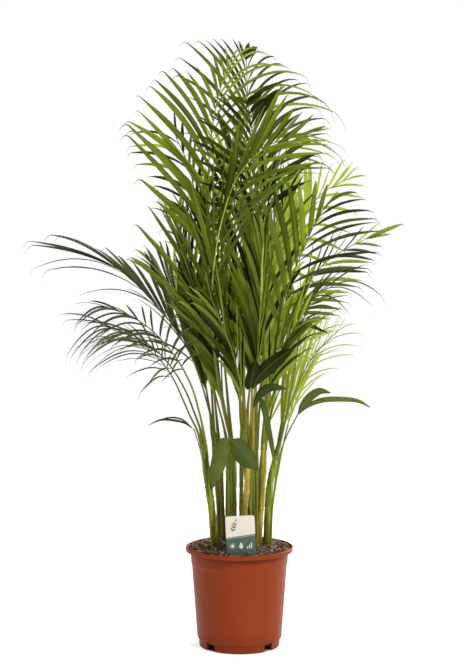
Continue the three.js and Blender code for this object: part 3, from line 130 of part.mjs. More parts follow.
    l: [[0.2200,42.1,170.7,554.1,0.4,0.47,11.5,-0.35],[0.3116,57.9,205.5,584.3,0.35,0.37,10.6,-0.49],[0.4032,64.5,220.9,622.7,0.39,0.45,12.5,-0.14],[0.4949,88.7,223.3,634.7,0.44,0.4,11,-0.49],[0.5865,122.1,255.5,644.5,0.31,0.45,11.8,-0.37],[0.6781,128.6,269.7,647.5,0.49,0.36,11,-0.45],[0.7697,156,276.2,652,0.33,0.34,10,-0.18],[0.8613,184.9,283.1,644.3,0.45,0.35,8.9,-0.5],[0.9529,208.7,268.8,617.6,0.49,0.45,8.5,-0.12],[0.2564,98.7,67.7,585.6,0.28,0.39,11.7,0.3],[0.3605,121.6,136.2,615.1,0.51,0.33,11.8,0.23],[0.4646,159.6,187.8,652.2,0.36,0.33,11.7,0.27],[0.5687,175.7,178.7,673.1,0.49,0.4,10.2,0.12],[0.6728,197.6,200.6,668.4,0.36,0.37,11.6,0.49],[0.7768,218.2,217.7,672.9,0.45,0.35,10.1,0.16],[0.8809,236.5,247.3,634,0.46,0.46,8.7,0.37],[0.9850,228.5,242.8,623.3,0.3,0.43,8.7,0.41]] },
  { name: "frond_27", tone: "d", r: [2.6, 0.9], p: [9.82,81.87,435.5,6.14,91.84,464.28,-0.41,108.31,490.11,-7.71,124.88,515.67,-15.73,141.79,540.79,-25.68,160.22,564.06,-37.91,180.14,584.9,-53.28,201.06,602.36,-72.9,222.23,614.18,-96.84,242,618.26],
    l: [[0.2400,-38,136.9,600.7,0.36,0.35,10.9,-0.41],[0.3292,-56.8,161.5,646.7,0.31,0.36,12.4,-0.26],[0.4184,-75.9,161.8,670.5,0.46,0.37,11.7,-0.21],[0.5077,-93.7,201.6,682.8,0.52,0.46,10.6,-0.56],[0.5969,-108.7,226.8,685.2,0.49,0.48,10.3,-0.47],[0.6861,-139.7,259.3,698.6,0.42,0.41,11.4,-0.18],[0.7753,-146.9,281.3,686.8,0.46,0.33,11.2,-0.22],[0.8646,-164.7,281,653.8,0.4,0.38,10,-0.42],[0.9538,-165.4,267,626,0.46,0.39,7.6,-0.2],[0.2712,13.5,208.7,574.2,0.43,0.35,11.9,0.12],[0.3604,-9,228.8,629.2,0.33,0.47,10.8,0.18],[0.4497,-6.5,249.7,642.1,0.41,0.4,12.6,0.5],[0.5389,-25.4,297.8,663.2,0.38,0.34,11.8,0.2],[0.6281,-51.8,307.6,684.6,0.45,0.47,11.3,0.14],[0.7173,-69.5,315.8,676.2,0.41,0.38,9.9,0.54],[0.8066,-101.1,335.8,671.6,0.49,0.44,10.1,0.5],[0.8958,-140.9,322.3,639.4,0.33,0.48,8.5,0.39],[0.9850,-137.6,300.6,629.5,0.41,0.39,9,0.17]] },
  { name: "frond_28", tone: "m", r: [2.6, 0.9], p: [20.8,-41.37,414.82,23.01,-46.06,474.24,24.92,-52.88,533.55,27.46,-60.17,592.78,29.93,-68.26,651.91,32.31,-77.08,710.93,34.13,-86.57,769.88,37.58,-96.65,828.64,44.11,-107.34,887.03,54.34,-118,944.9],
    l: [[0.2600,-26.1,-83,670.3,0.16,0.55,14.8,-0.27],[0.3375,-23.8,-86.5,719.2,0.12,0.48,14.7,-0.36],[0.4151,-23.7,-94.3,771.1,0.14,0.51,14.1,-0.45],[0.4926,-26,-120.6,825.8,0.16,0.43,14.2,-0.23],[0.5702,-14.8,-121.7,886.3,0.17,0.54,14,-0.16],[0.6477,-8,-124.1,897.8,0.17,0.47,12.6,-0.56],[0.7252,-7.9,-124.3,938.5,0.15,0.49,12.4,-0.6],[0.8028,3.7,-137.8,969.7,0.12,0.57,11.4,-0.13],[0.8803,30,-133.5,1002.1,0.19,0.59,9.6,-0.48],[0.9579,45.9,-138.5,1008.2,0.12,0.6,9.1,-0.54],[0.2871,62.2,-12.4,688.1,0.17,0.49,14.4,0.35],[0.3647,78.1,-25.6,741.9,0.18,0.5,15.5,0.4],[0.4422,65.6,-47.8,783.9,0.14,0.53,14.4,0.46],[0.5198,62.3,-52.5,842.6,0.15,0.56,14.1,0.17],[0.5973,86.5,-43.2,893.5,0.11,0.46,12.4,0.37],[0.6748,75.9,-47,939.5,0.17,0.4,13.4,0.23],[0.7524,86.3,-73,955.7,0.16,0.55,11,0.27],[0.8299,79.3,-81.7,993.5,0.14,0.59,9.7,0.1],[0.9075,95.5,-98.6,1005.7,0.18,0.46,9.9,0.31],[0.9850,83.4,-113.3,1023.8,0.18,0.6,8.9,0.27]] },
  { name: "frond_29", tone: "m", r: [2.6, 0.9], p: [-22.05,-2,394.39,-31.73,10.38,444.95,-45.89,22.86,496.14,-58.1,31.81,548.57,-67.66,38.31,601.92,-77.47,43.88,655.33,-88.05,48.58,708.68,-100.63,52.3,761.66,-114.33,53.9,814.46,-126.4,50,867.55],
    l: [[0.2200,-92,-8.7,611.9,0.25,0.45,13.1,-0.29],[0.3018,-107,-1,665.7,0.21,0.54,13.8,-0.32],[0.3836,-121,-6.4,696.2,0.19,0.43,11.9,-0.24],[0.4655,-132,-8.8,751.5,0.2,0.48,13.2,-0.24],[0.5473,-124.7,-18.3,806.8,0.18,0.49,11.4,-0.44],[0.6291,-141.5,1.6,835.1,0.17,0.43,12.5,-0.15],[0.7109,-143.4,5.7,874.6,0.23,0.48,10.7,-0.15],[0.7927,-160.6,20,886.2,0.18,0.57,10.9,-0.49],[0.8745,-149.9,15.9,894.3,0.18,0.45,8.6,-0.21],[0.9564,-149.8,20.7,904.8,0.2,0.58,8.9,-0.49],[0.2436,-35.7,82,621.6,0.23,0.51,14.1,0.31],[0.3110,-8.4,81.4,661.7,0.25,0.49,13.2,0.17],[0.3784,-37.1,86.7,698.2,0.15,0.59,13.4,0.14],[0.4458,-23.2,69.8,738.1,0.17,0.57,12.5,0.38],[0.5132,-42,42.1,783.7,0.2,0.53,11.4,0.3],[0.5806,-48.2,60.6,806.1,0.15,0.42,11.5,0.26],[0.6480,-46.3,38.9,846.3,0.19,0.58,12.1,0.39],[0.7154,-72.4,53,870.1,0.22,0.49,11.5,0.33],[0.7828,-95.8,60.9,894.1,0.21,0.57,10.4,0.46],[0.8502,-101.3,84.4,912.6,0.22,0.51,9.8,0.49],[0.9176,-111.3,71.4,917.2,0.21,0.53,9.4,0.12],[0.9850,-115.6,57.1,927.9,0.2,0.53,8.3,0.31]] },
  { name: "frond_30", tone: "l", r: [2.6, 0.9], p: [35.32,27.03,402.51,39.17,24.23,459.64,44.03,17.95,516.55,46.37,12.46,573.72,49.76,5.81,630.71,53.9,-2.13,687.48,59.25,-11.18,743.98,67.49,-20.46,800.08,80.84,-28.42,855.41,93.59,-34,911.18],
    l: [[0.2400,7.5,51.2,651.7,0.17,0.44,16.1,-0.54],[0.3120,10.3,54.2,691.4,0.18,0.44,13.8,-0.47],[0.3840,25,42.5,722,0.2,0.46,14.6,-0.24],[0.4559,13.9,40.1,785.6,0.18,0.53,13.5,-0.21],[0.5279,19,37,817.3,0.23,0.53,12.2,-0.2],[0.5999,28,24.4,851,0.16,0.56,12.3,-0.25],[0.6719,35.4,24.2,889.3,0.24,0.51,12.8,-0.24],[0.7439,61.9,23.2,926.1,0.19,0.57,11.4,-0.54],[0.8158,69.9,6.2,937.1,0.15,0.56,10.4,-0.46],[0.8878,67.1,-20.2,950.5,0.16,0.42,10,-0.2],[0.9598,85.9,-26.6,971.7,0.23,0.45,7.9,-0.42],[0.2652,98.9,-21.6,652.6,0.19,0.52,12.8,0.36],[0.3372,107.5,-11.6,690.2,0.23,0.55,13.4,0.5],[0.4092,134.1,-39.5,736.7,0.16,0.52,14.3,0.17],[0.4811,116.3,-49,790.6,0.22,0.48,14.4,0.27],[0.5531,137.5,-55.7,821,0.17,0.48,14.8,0.54],[0.6251,128.9,-50.9,851.2,0.2,0.46,12.9,0.51],[0.6971,135.2,-63.4,874.7,0.17,0.56,10.5,0.31],[0.7691,156.3,-51.7,897.5,0.17,0.45,11.5,0.4],[0.8410,134.7,-85.1,941.4,0.15,0.5,10.3,0.32],[0.9130,121.1,-71,949.6,0.22,0.48,10.4,0.55],[0.9850,121.5,-65.7,964.1,0.19,0.58,8.9,0.33]] },
  { name: "frond_31", tone: "d", r: [2.6, 0.9], p: [-18.06,19.97,395.32,-21.4,7.28,437.81,-28.28,-13.62,478.14,-35.29,-34.17,518.63,-42.64,-55.8,558.49,-50.24,-78.97,597.44,-58.88,-102.91,635.69,-68.99,-127.67,673.05,-82.27,-152.41,709.37,-102.13,-176,743.42],
    l: [[0.2400,-73.1,-101.3,575.6,0.37,0.57,13.6,-0.51],[0.3414,-100.3,-129.5,615.7,0.31,0.52,13.8,-0.12],[0.4427,-109.3,-168.8,650.1,0.27,0.44,13.9,-0.34],[0.5441,-116.2,-125.2,689.5,0.22,0.53,13.9,-0.17],[0.6454,-113.3,-227.8,710.1,0.22,0.57,11,-0.54],[0.7468,-125.3,-227.9,753.5,0.34,0.51,10.9,-0.29],[0.8482,-107.4,-216.3,766.1,0.36,0.44,10.5,-0.37],[0.9495,-125.2,-226.3,773.9,0.25,0.41,7.6,-0.58],[0.2679,-36.2,-26.6,617.3,0.34,0.54,13,0.43],[0.3476,-54.3,-66.1,662.9,0.26,0.52,14,0.24],[0.4272,-58.9,-80.8,692.5,0.28,0.52,12.4,0.59],[0.5069,-79.2,-90.1,742.2,0.36,0.5,13.4,0.11],[0.5866,-70.9,-115.8,777.6,0.31,0.43,11.8,0.53],[0.6663,-94.7,-130.3,787.5,0.22,0.57,13.1,0.49],[0.7460,-97.1,-156.8,814.8,0.31,0.42,11.3,0.49],[0.8256,-111.8,-199,804.8,0.27,0.42,9.7,0.43],[0.9053,-116,-198.4,811.4,0.27,0.58,9.1,0.44],[0.9850,-124.5,-204.5,800.4,0.37,0.58,8.7,0.18]] },
];

const TONES = {
  olive: 0x6f7a2c,
  brown: 0x6a5a2a,
  green: 0x6d8a2e,
  gold: 0xc9a23a,
  amber: 0xa98a3a,
  m: 0x4f7a22,
  d: 0x335a1e,
  l: 0x86a838,
  g: 0x5f7650,
};

const wasm = await Module();
wasm.setup();

// ---- small vector helpers on plain arrays ----
const add = (a, b, s = 1) => [a[0] + b[0] * s, a[1] + b[1] * s, a[2] + b[2] * s];
const sub = (a, b) => [a[0] - b[0], a[1] - b[1], a[2] - b[2]];
const mul = (a, s) => [a[0] * s, a[1] * s, a[2] * s];
const dot = (a, b) => a[0] * b[0] + a[1] * b[1] + a[2] * b[2];
const len = (a) => Math.sqrt(dot(a, a));
const unit = (a) => mul(a, 1 / Math.max(len(a), 1e-9));
const cross = (a, b) => [
  a[1] * b[2] - a[2] * b[1],
  a[2] * b[0] - a[0] * b[2],
  a[0] * b[1] - a[1] * b[0],
];
const mix = (a, b, f) => add(mul(a, 1 - f), b, f);
const points = (flat) => {
  const out = [];
  for (let i = 0; i < flat.length; i += 3) out.push([flat[i], flat[i + 1], flat[i + 2]]);
  return out;
};

// ---- solids ----
function solid(vertices, faces) {
  const make = (f) =>
    new wasm.Manifold(
      new wasm.Mesh({
        numProp: 3,
        vertProperties: new Float32Array(vertices.flat()),
        triVerts: new Uint32Array(f.flat()),
      }),
    );
  const m = make(faces);
  return m.volume() < 0 ? make(faces.map((t) => [t[0], t[2], t[1]])) : m;
}

// A closed loft through rings with equal counts; a point or a flat cap ends it.
function loft(rings, start, end) {
  const v = [];
  const f = [];
  const n = rings[0].length;
  if (start) v.push(start);
  const at = rings.map((r) => {
    const k = v.length;
    v.push(...r);
    return k;
  });
  if (end) v.push(end);
  for (let k = 0; k + 1 < at.length; k++)
    for (let i = 0; i < n; i++) {
      const j = (i + 1) % n;
      f.push([at[k] + i, at[k] + j, at[k + 1] + j], [at[k] + i, at[k + 1] + j, at[k + 1] + i]);
    }
  const a = at[0];
  const b = at[at.length - 1];
  if (start) for (let i = 0; i < n; i++) f.push([0, a + ((i + 1) % n), a + i]);
  else for (let i = 1; i < n - 1; i++) f.push([a, a + i + 1, a + i]);
  if (end) for (let i = 0; i < n; i++) f.push([v.length - 1, b + i, b + ((i + 1) % n)]);
  else for (let i = 1; i < n - 1; i++) f.push([b, b + i, b + i + 1]);
  return solid(v, f);
}

// A body of revolution on Z; the profile starts and ends on the axis.
function turned(profile, segments) {
  const rings = profile
    .slice(1, -1)
    .map(([r, z]) =>
      Array.from({ length: segments }, (_, i) => {
        const t = (2 * Math.PI * i) / segments;
        return [r * Math.cos(t), r * Math.sin(t), z];
      }),
    );
  return loft(rings, [0, 0, profile[0][1]], [0, 0, profile[profile.length - 1][1]]);
}

function tangents(p) {
  return p.map((q, i) => unit(sub(p[Math.min(i + 1, p.length - 1)], p[Math.max(i - 1, 0)])));
}

// A round bar along points, with a radius at each of them.
function bar(p, radius, sides, turn = 0) {
  const t = tangents(p);
  let a = [1, 0, 0];
  const rings = p.map((q, i) => {
    a = unit(add(a, t[i], -dot(a, t[i])));
    const b = cross(t[i], a);
    return Array.from({ length: sides }, (_, k) => {
      const w = turn + (2 * Math.PI * k) / sides;
      return add(add(q, a, radius(i) * Math.cos(w)), b, radius(i) * Math.sin(w));
    });
  });
  return loft(rings);
}
const taper = (r, n, grow = 0) => (i) => r[0] + ((r[1] - r[0]) * i) / (n - 1) + grow;

// Catmull-Rom through points, resampled at even steps.
function smooth(p, count) {
  const q = [sub(mul(p[0], 2), p[1]), ...p, sub(mul(p[p.length - 1], 2), p[p.length - 2])];
  const fine = [];
  for (let i = 1; i < q.length - 2; i++)
    for (let k = 0; k < 16; k++) {
      const t = k / 16;
      fine.push(
        [0, 1, 2].map(
          (c) =>
            0.5 *
            (2 * q[i][c] +
              (q[i + 1][c] - q[i - 1][c]) * t +
              (2 * q[i - 1][c] - 5 * q[i][c] + 4 * q[i + 1][c] - q[i + 2][c]) * t * t +
              (3 * q[i][c] - q[i - 1][c] - 3 * q[i + 1][c] + q[i + 2][c]) * t * t * t),
        ),
      );
    }
  fine.push(p[p.length - 1]);
  const s = [0];
  for (let i = 1; i < fine.length; i++) s.push(s[i - 1] + len(sub(fine[i], fine[i - 1])));
  return Array.from({ length: count }, (_, k) => {
    const want = (s[s.length - 1] * k) / (count - 1);
    let i = 1;
    while (i < s.length - 1 && s[i] < want) i++;
    return mix(fine[i - 1], fine[i], (want - s[i - 1]) / Math.max(s[i] - s[i - 1], 1e-9));
  });
}

// One leaflet: a pointed strip with a ridge, which leaves the axis at a slant and bends over.
function leaflet(from, along, tip, arch, sweep, width, twist) {
  const chord = sub(tip, from);
  const l = len(chord);
  const c = mul(chord, 1 / l);
  const first = unit(add(add(c, [0, 0, 1], arch), along, sweep));
  let side = 0;
  const p1 = add(from, first, l * 0.38);
  const p2 = add(add(add(from, c, l * 0.62), [0, 0, 1], arch * l * 0.3), along, sweep * l * 0.08);
  const rings = LEAF_SECTIONS.map((u, k) => {
    const w = 1 - u;
    const q = add(
      add(add(mul(from, w * w * w), p1, 3 * w * w * u), p2, 3 * w * u * u),
      tip,
      u * u * u,
    );
    const d = unit(
      add(add(mul(sub(p1, from), 3 * w * w), sub(p2, p1), 6 * w * u), sub(tip, p2), 3 * u * u),
    );
    const flat = unit(add(along, d, -dot(along, d)));
    const lat = add(mul(flat, Math.cos(twist)), cross(d, flat), Math.sin(twist));
    let up = cross(d, lat);
    if (!side) side = up[2] < 0 ? -1 : 1;
    up = mul(up, side);
    const h = (width * LEAF_WIDTHS[k]) / 2;
    return [add(q, lat, h), add(q, lat, -h), add(q, up, LEAF_RIDGE * LEAF_WIDTHS[k])];
  });
  return loft(rings, from, tip);
}

// A broad blade of a young leaf, its upper face turned to the light.
function blade(path, width) {
  const n = BLADE_WIDTHS.length - 1;
  const p = smooth(path, n + 1);
  const t = tangents(p);
  const face = unit([0, -1, 0.35]);
  const rings = [];
  for (let i = 1; i < n; i++) {
    const lat = unit(cross(t[i], face));
    const up = cross(lat, t[i]);
    const h = (width * BLADE_WIDTHS[i]) / 2;
    rings.push([add(p[i], lat, h), add(p[i], lat, -h), add(p[i], up, BLADE_RIDGE)]);
  }
  return loft(rings, p[0], p[n]);
}

// The biggest body of a solid, without slivers that a union can leave.
function main(m) {
  const parts = m.decompose();
  return parts.length === 1 ? m : parts.reduce((a, b) => (b.volume() > a.volume() ? b : a));
}

const palm = new THREE.Group();
palm.name = "potted_palm";
function place(name, m, colour, roughness) {
  const clean = main(m.simplify(0.02));
  const mesh = clean.getMesh();
  const n = mesh.numProp;
  const pos = new Float32Array((mesh.vertProperties.length / n) * 3);
  for (let i = 0; i < pos.length / 3; i++)
    for (let k = 0; k < 3; k++) pos[3 * i + k] = mesh.vertProperties[n * i + k];
  const g = new THREE.BufferGeometry();
  g.setAttribute("position", new THREE.BufferAttribute(pos, 3));
  g.setIndex(new THREE.BufferAttribute(new Uint32Array(mesh.triVerts), 1));
  g.computeVertexNormals();
  const body = new THREE.Mesh(
    g,
    new THREE.MeshStandardMaterial({ color: colour, roughness, metalness: 0 }),
  );
  body.name = name;
  palm.add(body);
}

function fromGeometry(g, matrix) {
  const bare = new THREE.BufferGeometry().setAttribute(
    "position",
    (g.index ? g.toNonIndexed() : g).getAttribute("position").clone(),
  );
  if (matrix) bare.applyMatrix4(matrix);
  const m = mergeVertices(bare, 1e-4);
  return new wasm.Manifold(
    new wasm.Mesh({
      numProp: 3,
      vertProperties: new Float32Array(m.attributes.position.array),
      triVerts: new Uint32Array(m.index.array),
    }),
  );
}

// ---- pot ----
const wallR = (z) => POT_R0 + POT_TAPER * z;
const rimIn = POT_RIM_R - 3.6;
const lipZ = POT_HEIGHT - LIP_DROP;
const bandR = (z) => wallR(z) + BAND_STEP;
let pot = turned(
  [
    [0, PAD_T],
    [PAD_R - 1, PAD_T],
    [PAD_R + 5, FLOOR_Z],
    [POT_FOOT_R - 5.4, FLOOR_Z],
    [POT_FOOT_R - 2.3, FLOOR_Z + 3.5],
    [wallR(LEDGE_Z + 2.5) - POT_WALL, LEDGE_Z + 2.5],
    [wallR(BAND_Z + 2) - POT_WALL, BAND_Z + 2],
    [bandR(lipZ - 2) - POT_WALL, lipZ - 2],
    [rimIn, POT_HEIGHT - 1.6],
    [rimIn + 1.0, POT_HEIGHT],
    [POT_RIM_R - 1.0, POT_HEIGHT],
    [POT_RIM_R, POT_HEIGHT - 1.2],
    [POT_RIM_R, lipZ + 0.6],
    [POT_RIM_R - 1.6, lipZ],
    [POT_RIM_R - 2.6, lipZ + 3.6],
    [bandR(lipZ - 3), lipZ - 3],
    [bandR(BAND_Z + 2), BAND_Z + 2],
    [wallR(BAND_Z), BAND_Z],
    [wallR(LEDGE_Z), LEDGE_Z],
    [POT_FOOT_R, LEDGE_Z - 1.6],
    [POT_FOOT_R - 0.8, 0.9],
    [POT_FOOT_R - 1.6, 0],
    [POT_FOOT_R - 4.6, 0],
    [POT_FOOT_R - 5.2, 8],
    [POT_FOOT_R - 6.8, 9.4],
    [PAD_R + 5.9, 9.4],
    [PAD_R - 0.1, 0],
    [0, 0],
  ],
  38,
);
for (const deg of NOTCH_ANGLES) {
  const t = (deg * Math.PI) / 180;
  const r = POT_FOOT_R - 2.4;
  const box = new THREE.BoxGeometry(13, NOTCH_W, NOTCH_Z[1] - NOTCH_Z[0]);
  const m = new THREE.Matrix4()
    .makeRotationZ(t)
    .setPosition(r * Math.cos(t), r * Math.sin(t), (NOTCH_Z[0] + NOTCH_Z[1]) / 2);
  pot = pot.subtract(fromGeometry(box, m));
}
for (const [x, y] of [[DRAIN_AT, 0], [-DRAIN_AT, 0], [0, DRAIN_AT], [0, -DRAIN_AT]]) {
  const hole = new THREE.CylinderGeometry(DRAIN_R, DRAIN_R, 20, 10);
  const m = new THREE.Matrix4().makeRotationX(Math.PI / 2).setPosition(x, y, 10);
  pot = pot.subtract(fromGeometry(hole, m));
}
place("pot", pot, 0xa14e2e, 0.45);

// ---- soil: a heap with a rough top, and sockets for what stands in it ----
function rough(x, y) {
  return (
    1.5 * Math.sin(x * 0.21 + 1.3) * Math.cos(y * 0.17 - 0.6) +
    1.0 * Math.sin(x * 0.43 - y * 0.37 + 2.1) +
    0.7 * Math.cos(x * 0.71 + y * 0.53)
  );
}
const SOIL_SEGMENTS = 24;
const soilTop = [96, 84, 66, 44, 22].map((r) =>
  Array.from({ length: SOIL_SEGMENTS }, (_, i) => {
    const t = (2 * Math.PI * (i + (r % 4 ? 0 : 0.35))) / SOIL_SEGMENTS;
    const x = r * Math.cos(t);
    const y = r * Math.sin(t);
    return [x, y, SOIL_Z + SOIL_RISE * (1 - (r / 104) ** 2) + 0.8 * rough(x, y)];
  }),
);
const soilSide = [
  [PAD_R - 1.6, PAD_T + GAP],
  [PAD_R + 4.5, FLOOR_Z + GAP],
  [POT_FOOT_R - 6, FLOOR_Z + GAP],
  [POT_FOOT_R - 3, LEDGE_Z - 0.6],
  [wallR(LEDGE_Z + 4) - POT_WALL - GAP - 0.7, LEDGE_Z + 4],
  [wallR(BAND_Z) - POT_WALL - GAP - 0.4, BAND_Z],
  [bandR(lipZ - 2) - POT_WALL - GAP - 0.4, lipZ - 2.4],
  [rimIn - 1.8, SOIL_Z],
].map(([r, z]) =>
  Array.from({ length: SOIL_SEGMENTS }, (_, i) => {
    const t = (2 * Math.PI * i) / SOIL_SEGMENTS;
    return [r * Math.cos(t), r * Math.sin(t), z];
  }),
);
let soil = loft([...soilSide, ...soilTop], [0, 0, PAD_T + GAP], [0, 0, SOIL_Z + SOIL_RISE + 1]);
const canePoints = CANES.map((c) => points(c.p));
CANES.forEach((c, i) => {
  const p = canePoints[i];
  const deep = [add(p[0], [0, 0, -GAP]), ...p.slice(1, 4)];
  soil = soil.subtract(bar(deep, taper(c.r, p.length, GAP * 1.2), CANE_SIDES));
});
const youngPoints = YOUNG.map((y) => points(y.p));
YOUNG.forEach((y, i) => {
  const p = youngPoints[i];
  const deep = [add(p[0], [0, 0, -GAP]), ...p.slice(1, 3)];
  soil = soil.subtract(bar(deep, taper(y.r, p.length, GAP * 1.2), 5));
});

// ---- label: a rounded plate on a spike ----
function labelShape(grow) {
  const s = new THREE.Shape();
  const w = LABEL_W / 2 + grow;
  const h = LABEL_H + grow;
  const c = LABEL_CORNER;
  const k = LABEL_STAKE[0] / 2 + grow;
  const d = LABEL_STAKE[1] + grow;
  s.moveTo(k, -grow);
  s.lineTo(w - 3, -grow);
  s.lineTo(w, 3 - grow);
  s.lineTo(w, h - c);
  s.absarc(w - c, h - c, c, 0, Math.PI / 2, false);
  s.lineTo(-w + c, h);
  s.absarc(-w + c, h - c, c, Math.PI / 2, Math.PI, false);
  s.lineTo(-w, 3 - grow);
  s.lineTo(-w + 3, -grow);
  s.lineTo(-k, -grow);
  s.lineTo(-k, -d + 10);
  s.lineTo(0, -d);
  s.lineTo(k, -d + 10);
  s.closePath();
  return s;
}
function labelSolid(grow) {
  const g = new THREE.ExtrudeGeometry(labelShape(grow), {
    depth: LABEL_T + 2 * grow,
    bevelEnabled: false,
    curveSegments: 4,
  });
  const m = new THREE.Matrix4().makeTranslation(0, 0, -LABEL_T / 2 - grow);
  m.premultiply(new THREE.Matrix4().makeRotationX(Math.PI / 2));
  m.premultiply(new THREE.Matrix4().makeRotationY((LABEL_TILT * Math.PI) / 180));
  m.premultiply(new THREE.Matrix4().makeRotationX((-LABEL_LEAN * Math.PI) / 180));
  m.premultiply(new THREE.Matrix4().makeRotationZ((-2 * Math.PI) / 180));
  m.premultiply(new THREE.Matrix4().makeTranslation(...LABEL_FOOT));
  return fromGeometry(g, m);
}
soil = soil.subtract(labelSolid(GAP));
place("soil", soil, 0x3a2418, 0.95);
place("plant_label", labelSolid(0), 0xe9e2cf, 0.4);

// ---- canes ----
CANES.forEach((c, i) => {
  const p = canePoints[i];
  place(c.name, bar(p, taper(c.r, p.length), CANE_SIDES), TONES[c.tone], 0.5);
});

// ---- young leaves ----
YOUNG.forEach((y, i) => {
  const p = youngPoints[i];
  let m = bar(p, taper(y.r, p.length), 5);
  for (const b of y.blades) m = m.add(blade(points(b.p), b.w));
  place(y.name, m, 0x3f6a2a, 0.5);
});

// ---- fronds ----
for (const f of FRONDS) {
  const p = points(f.p);
  const t = tangents(p);
  let m = bar(p, taper(f.r, p.length), RACHIS_SIDES, Math.PI / 4);
  for (const [at, x, y, z, arch, sweep, width, twist] of f.l) {
    const s = at * (p.length - 1);
    const i = Math.min(Math.floor(s), p.length - 2);
    const from = mix(p[i], p[i + 1], s - i);
    const along = unit(mix(t[i], t[i + 1], s - i));
    m = m.add(leaflet(from, along, [x, y, z], arch, sweep, width, twist));
  }
  place(f.name, m, TONES[f.tone], 0.45);
}

export default palm;
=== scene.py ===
import math

import bpy
import bmesh
import numpy as np
from mathutils import Matrix, Vector, noise


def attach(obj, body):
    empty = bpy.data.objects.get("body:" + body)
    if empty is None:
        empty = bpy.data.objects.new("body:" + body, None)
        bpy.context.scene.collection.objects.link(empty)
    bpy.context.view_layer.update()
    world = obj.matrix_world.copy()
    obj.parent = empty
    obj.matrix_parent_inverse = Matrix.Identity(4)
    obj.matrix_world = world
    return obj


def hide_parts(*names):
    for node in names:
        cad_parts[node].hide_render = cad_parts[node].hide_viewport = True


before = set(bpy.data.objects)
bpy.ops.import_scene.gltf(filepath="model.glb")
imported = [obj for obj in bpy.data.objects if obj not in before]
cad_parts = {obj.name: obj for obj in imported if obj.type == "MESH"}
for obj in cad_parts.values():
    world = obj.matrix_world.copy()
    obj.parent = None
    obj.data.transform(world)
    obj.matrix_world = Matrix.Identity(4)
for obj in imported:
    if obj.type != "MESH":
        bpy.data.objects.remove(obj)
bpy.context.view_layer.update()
scene = bpy.context.scene

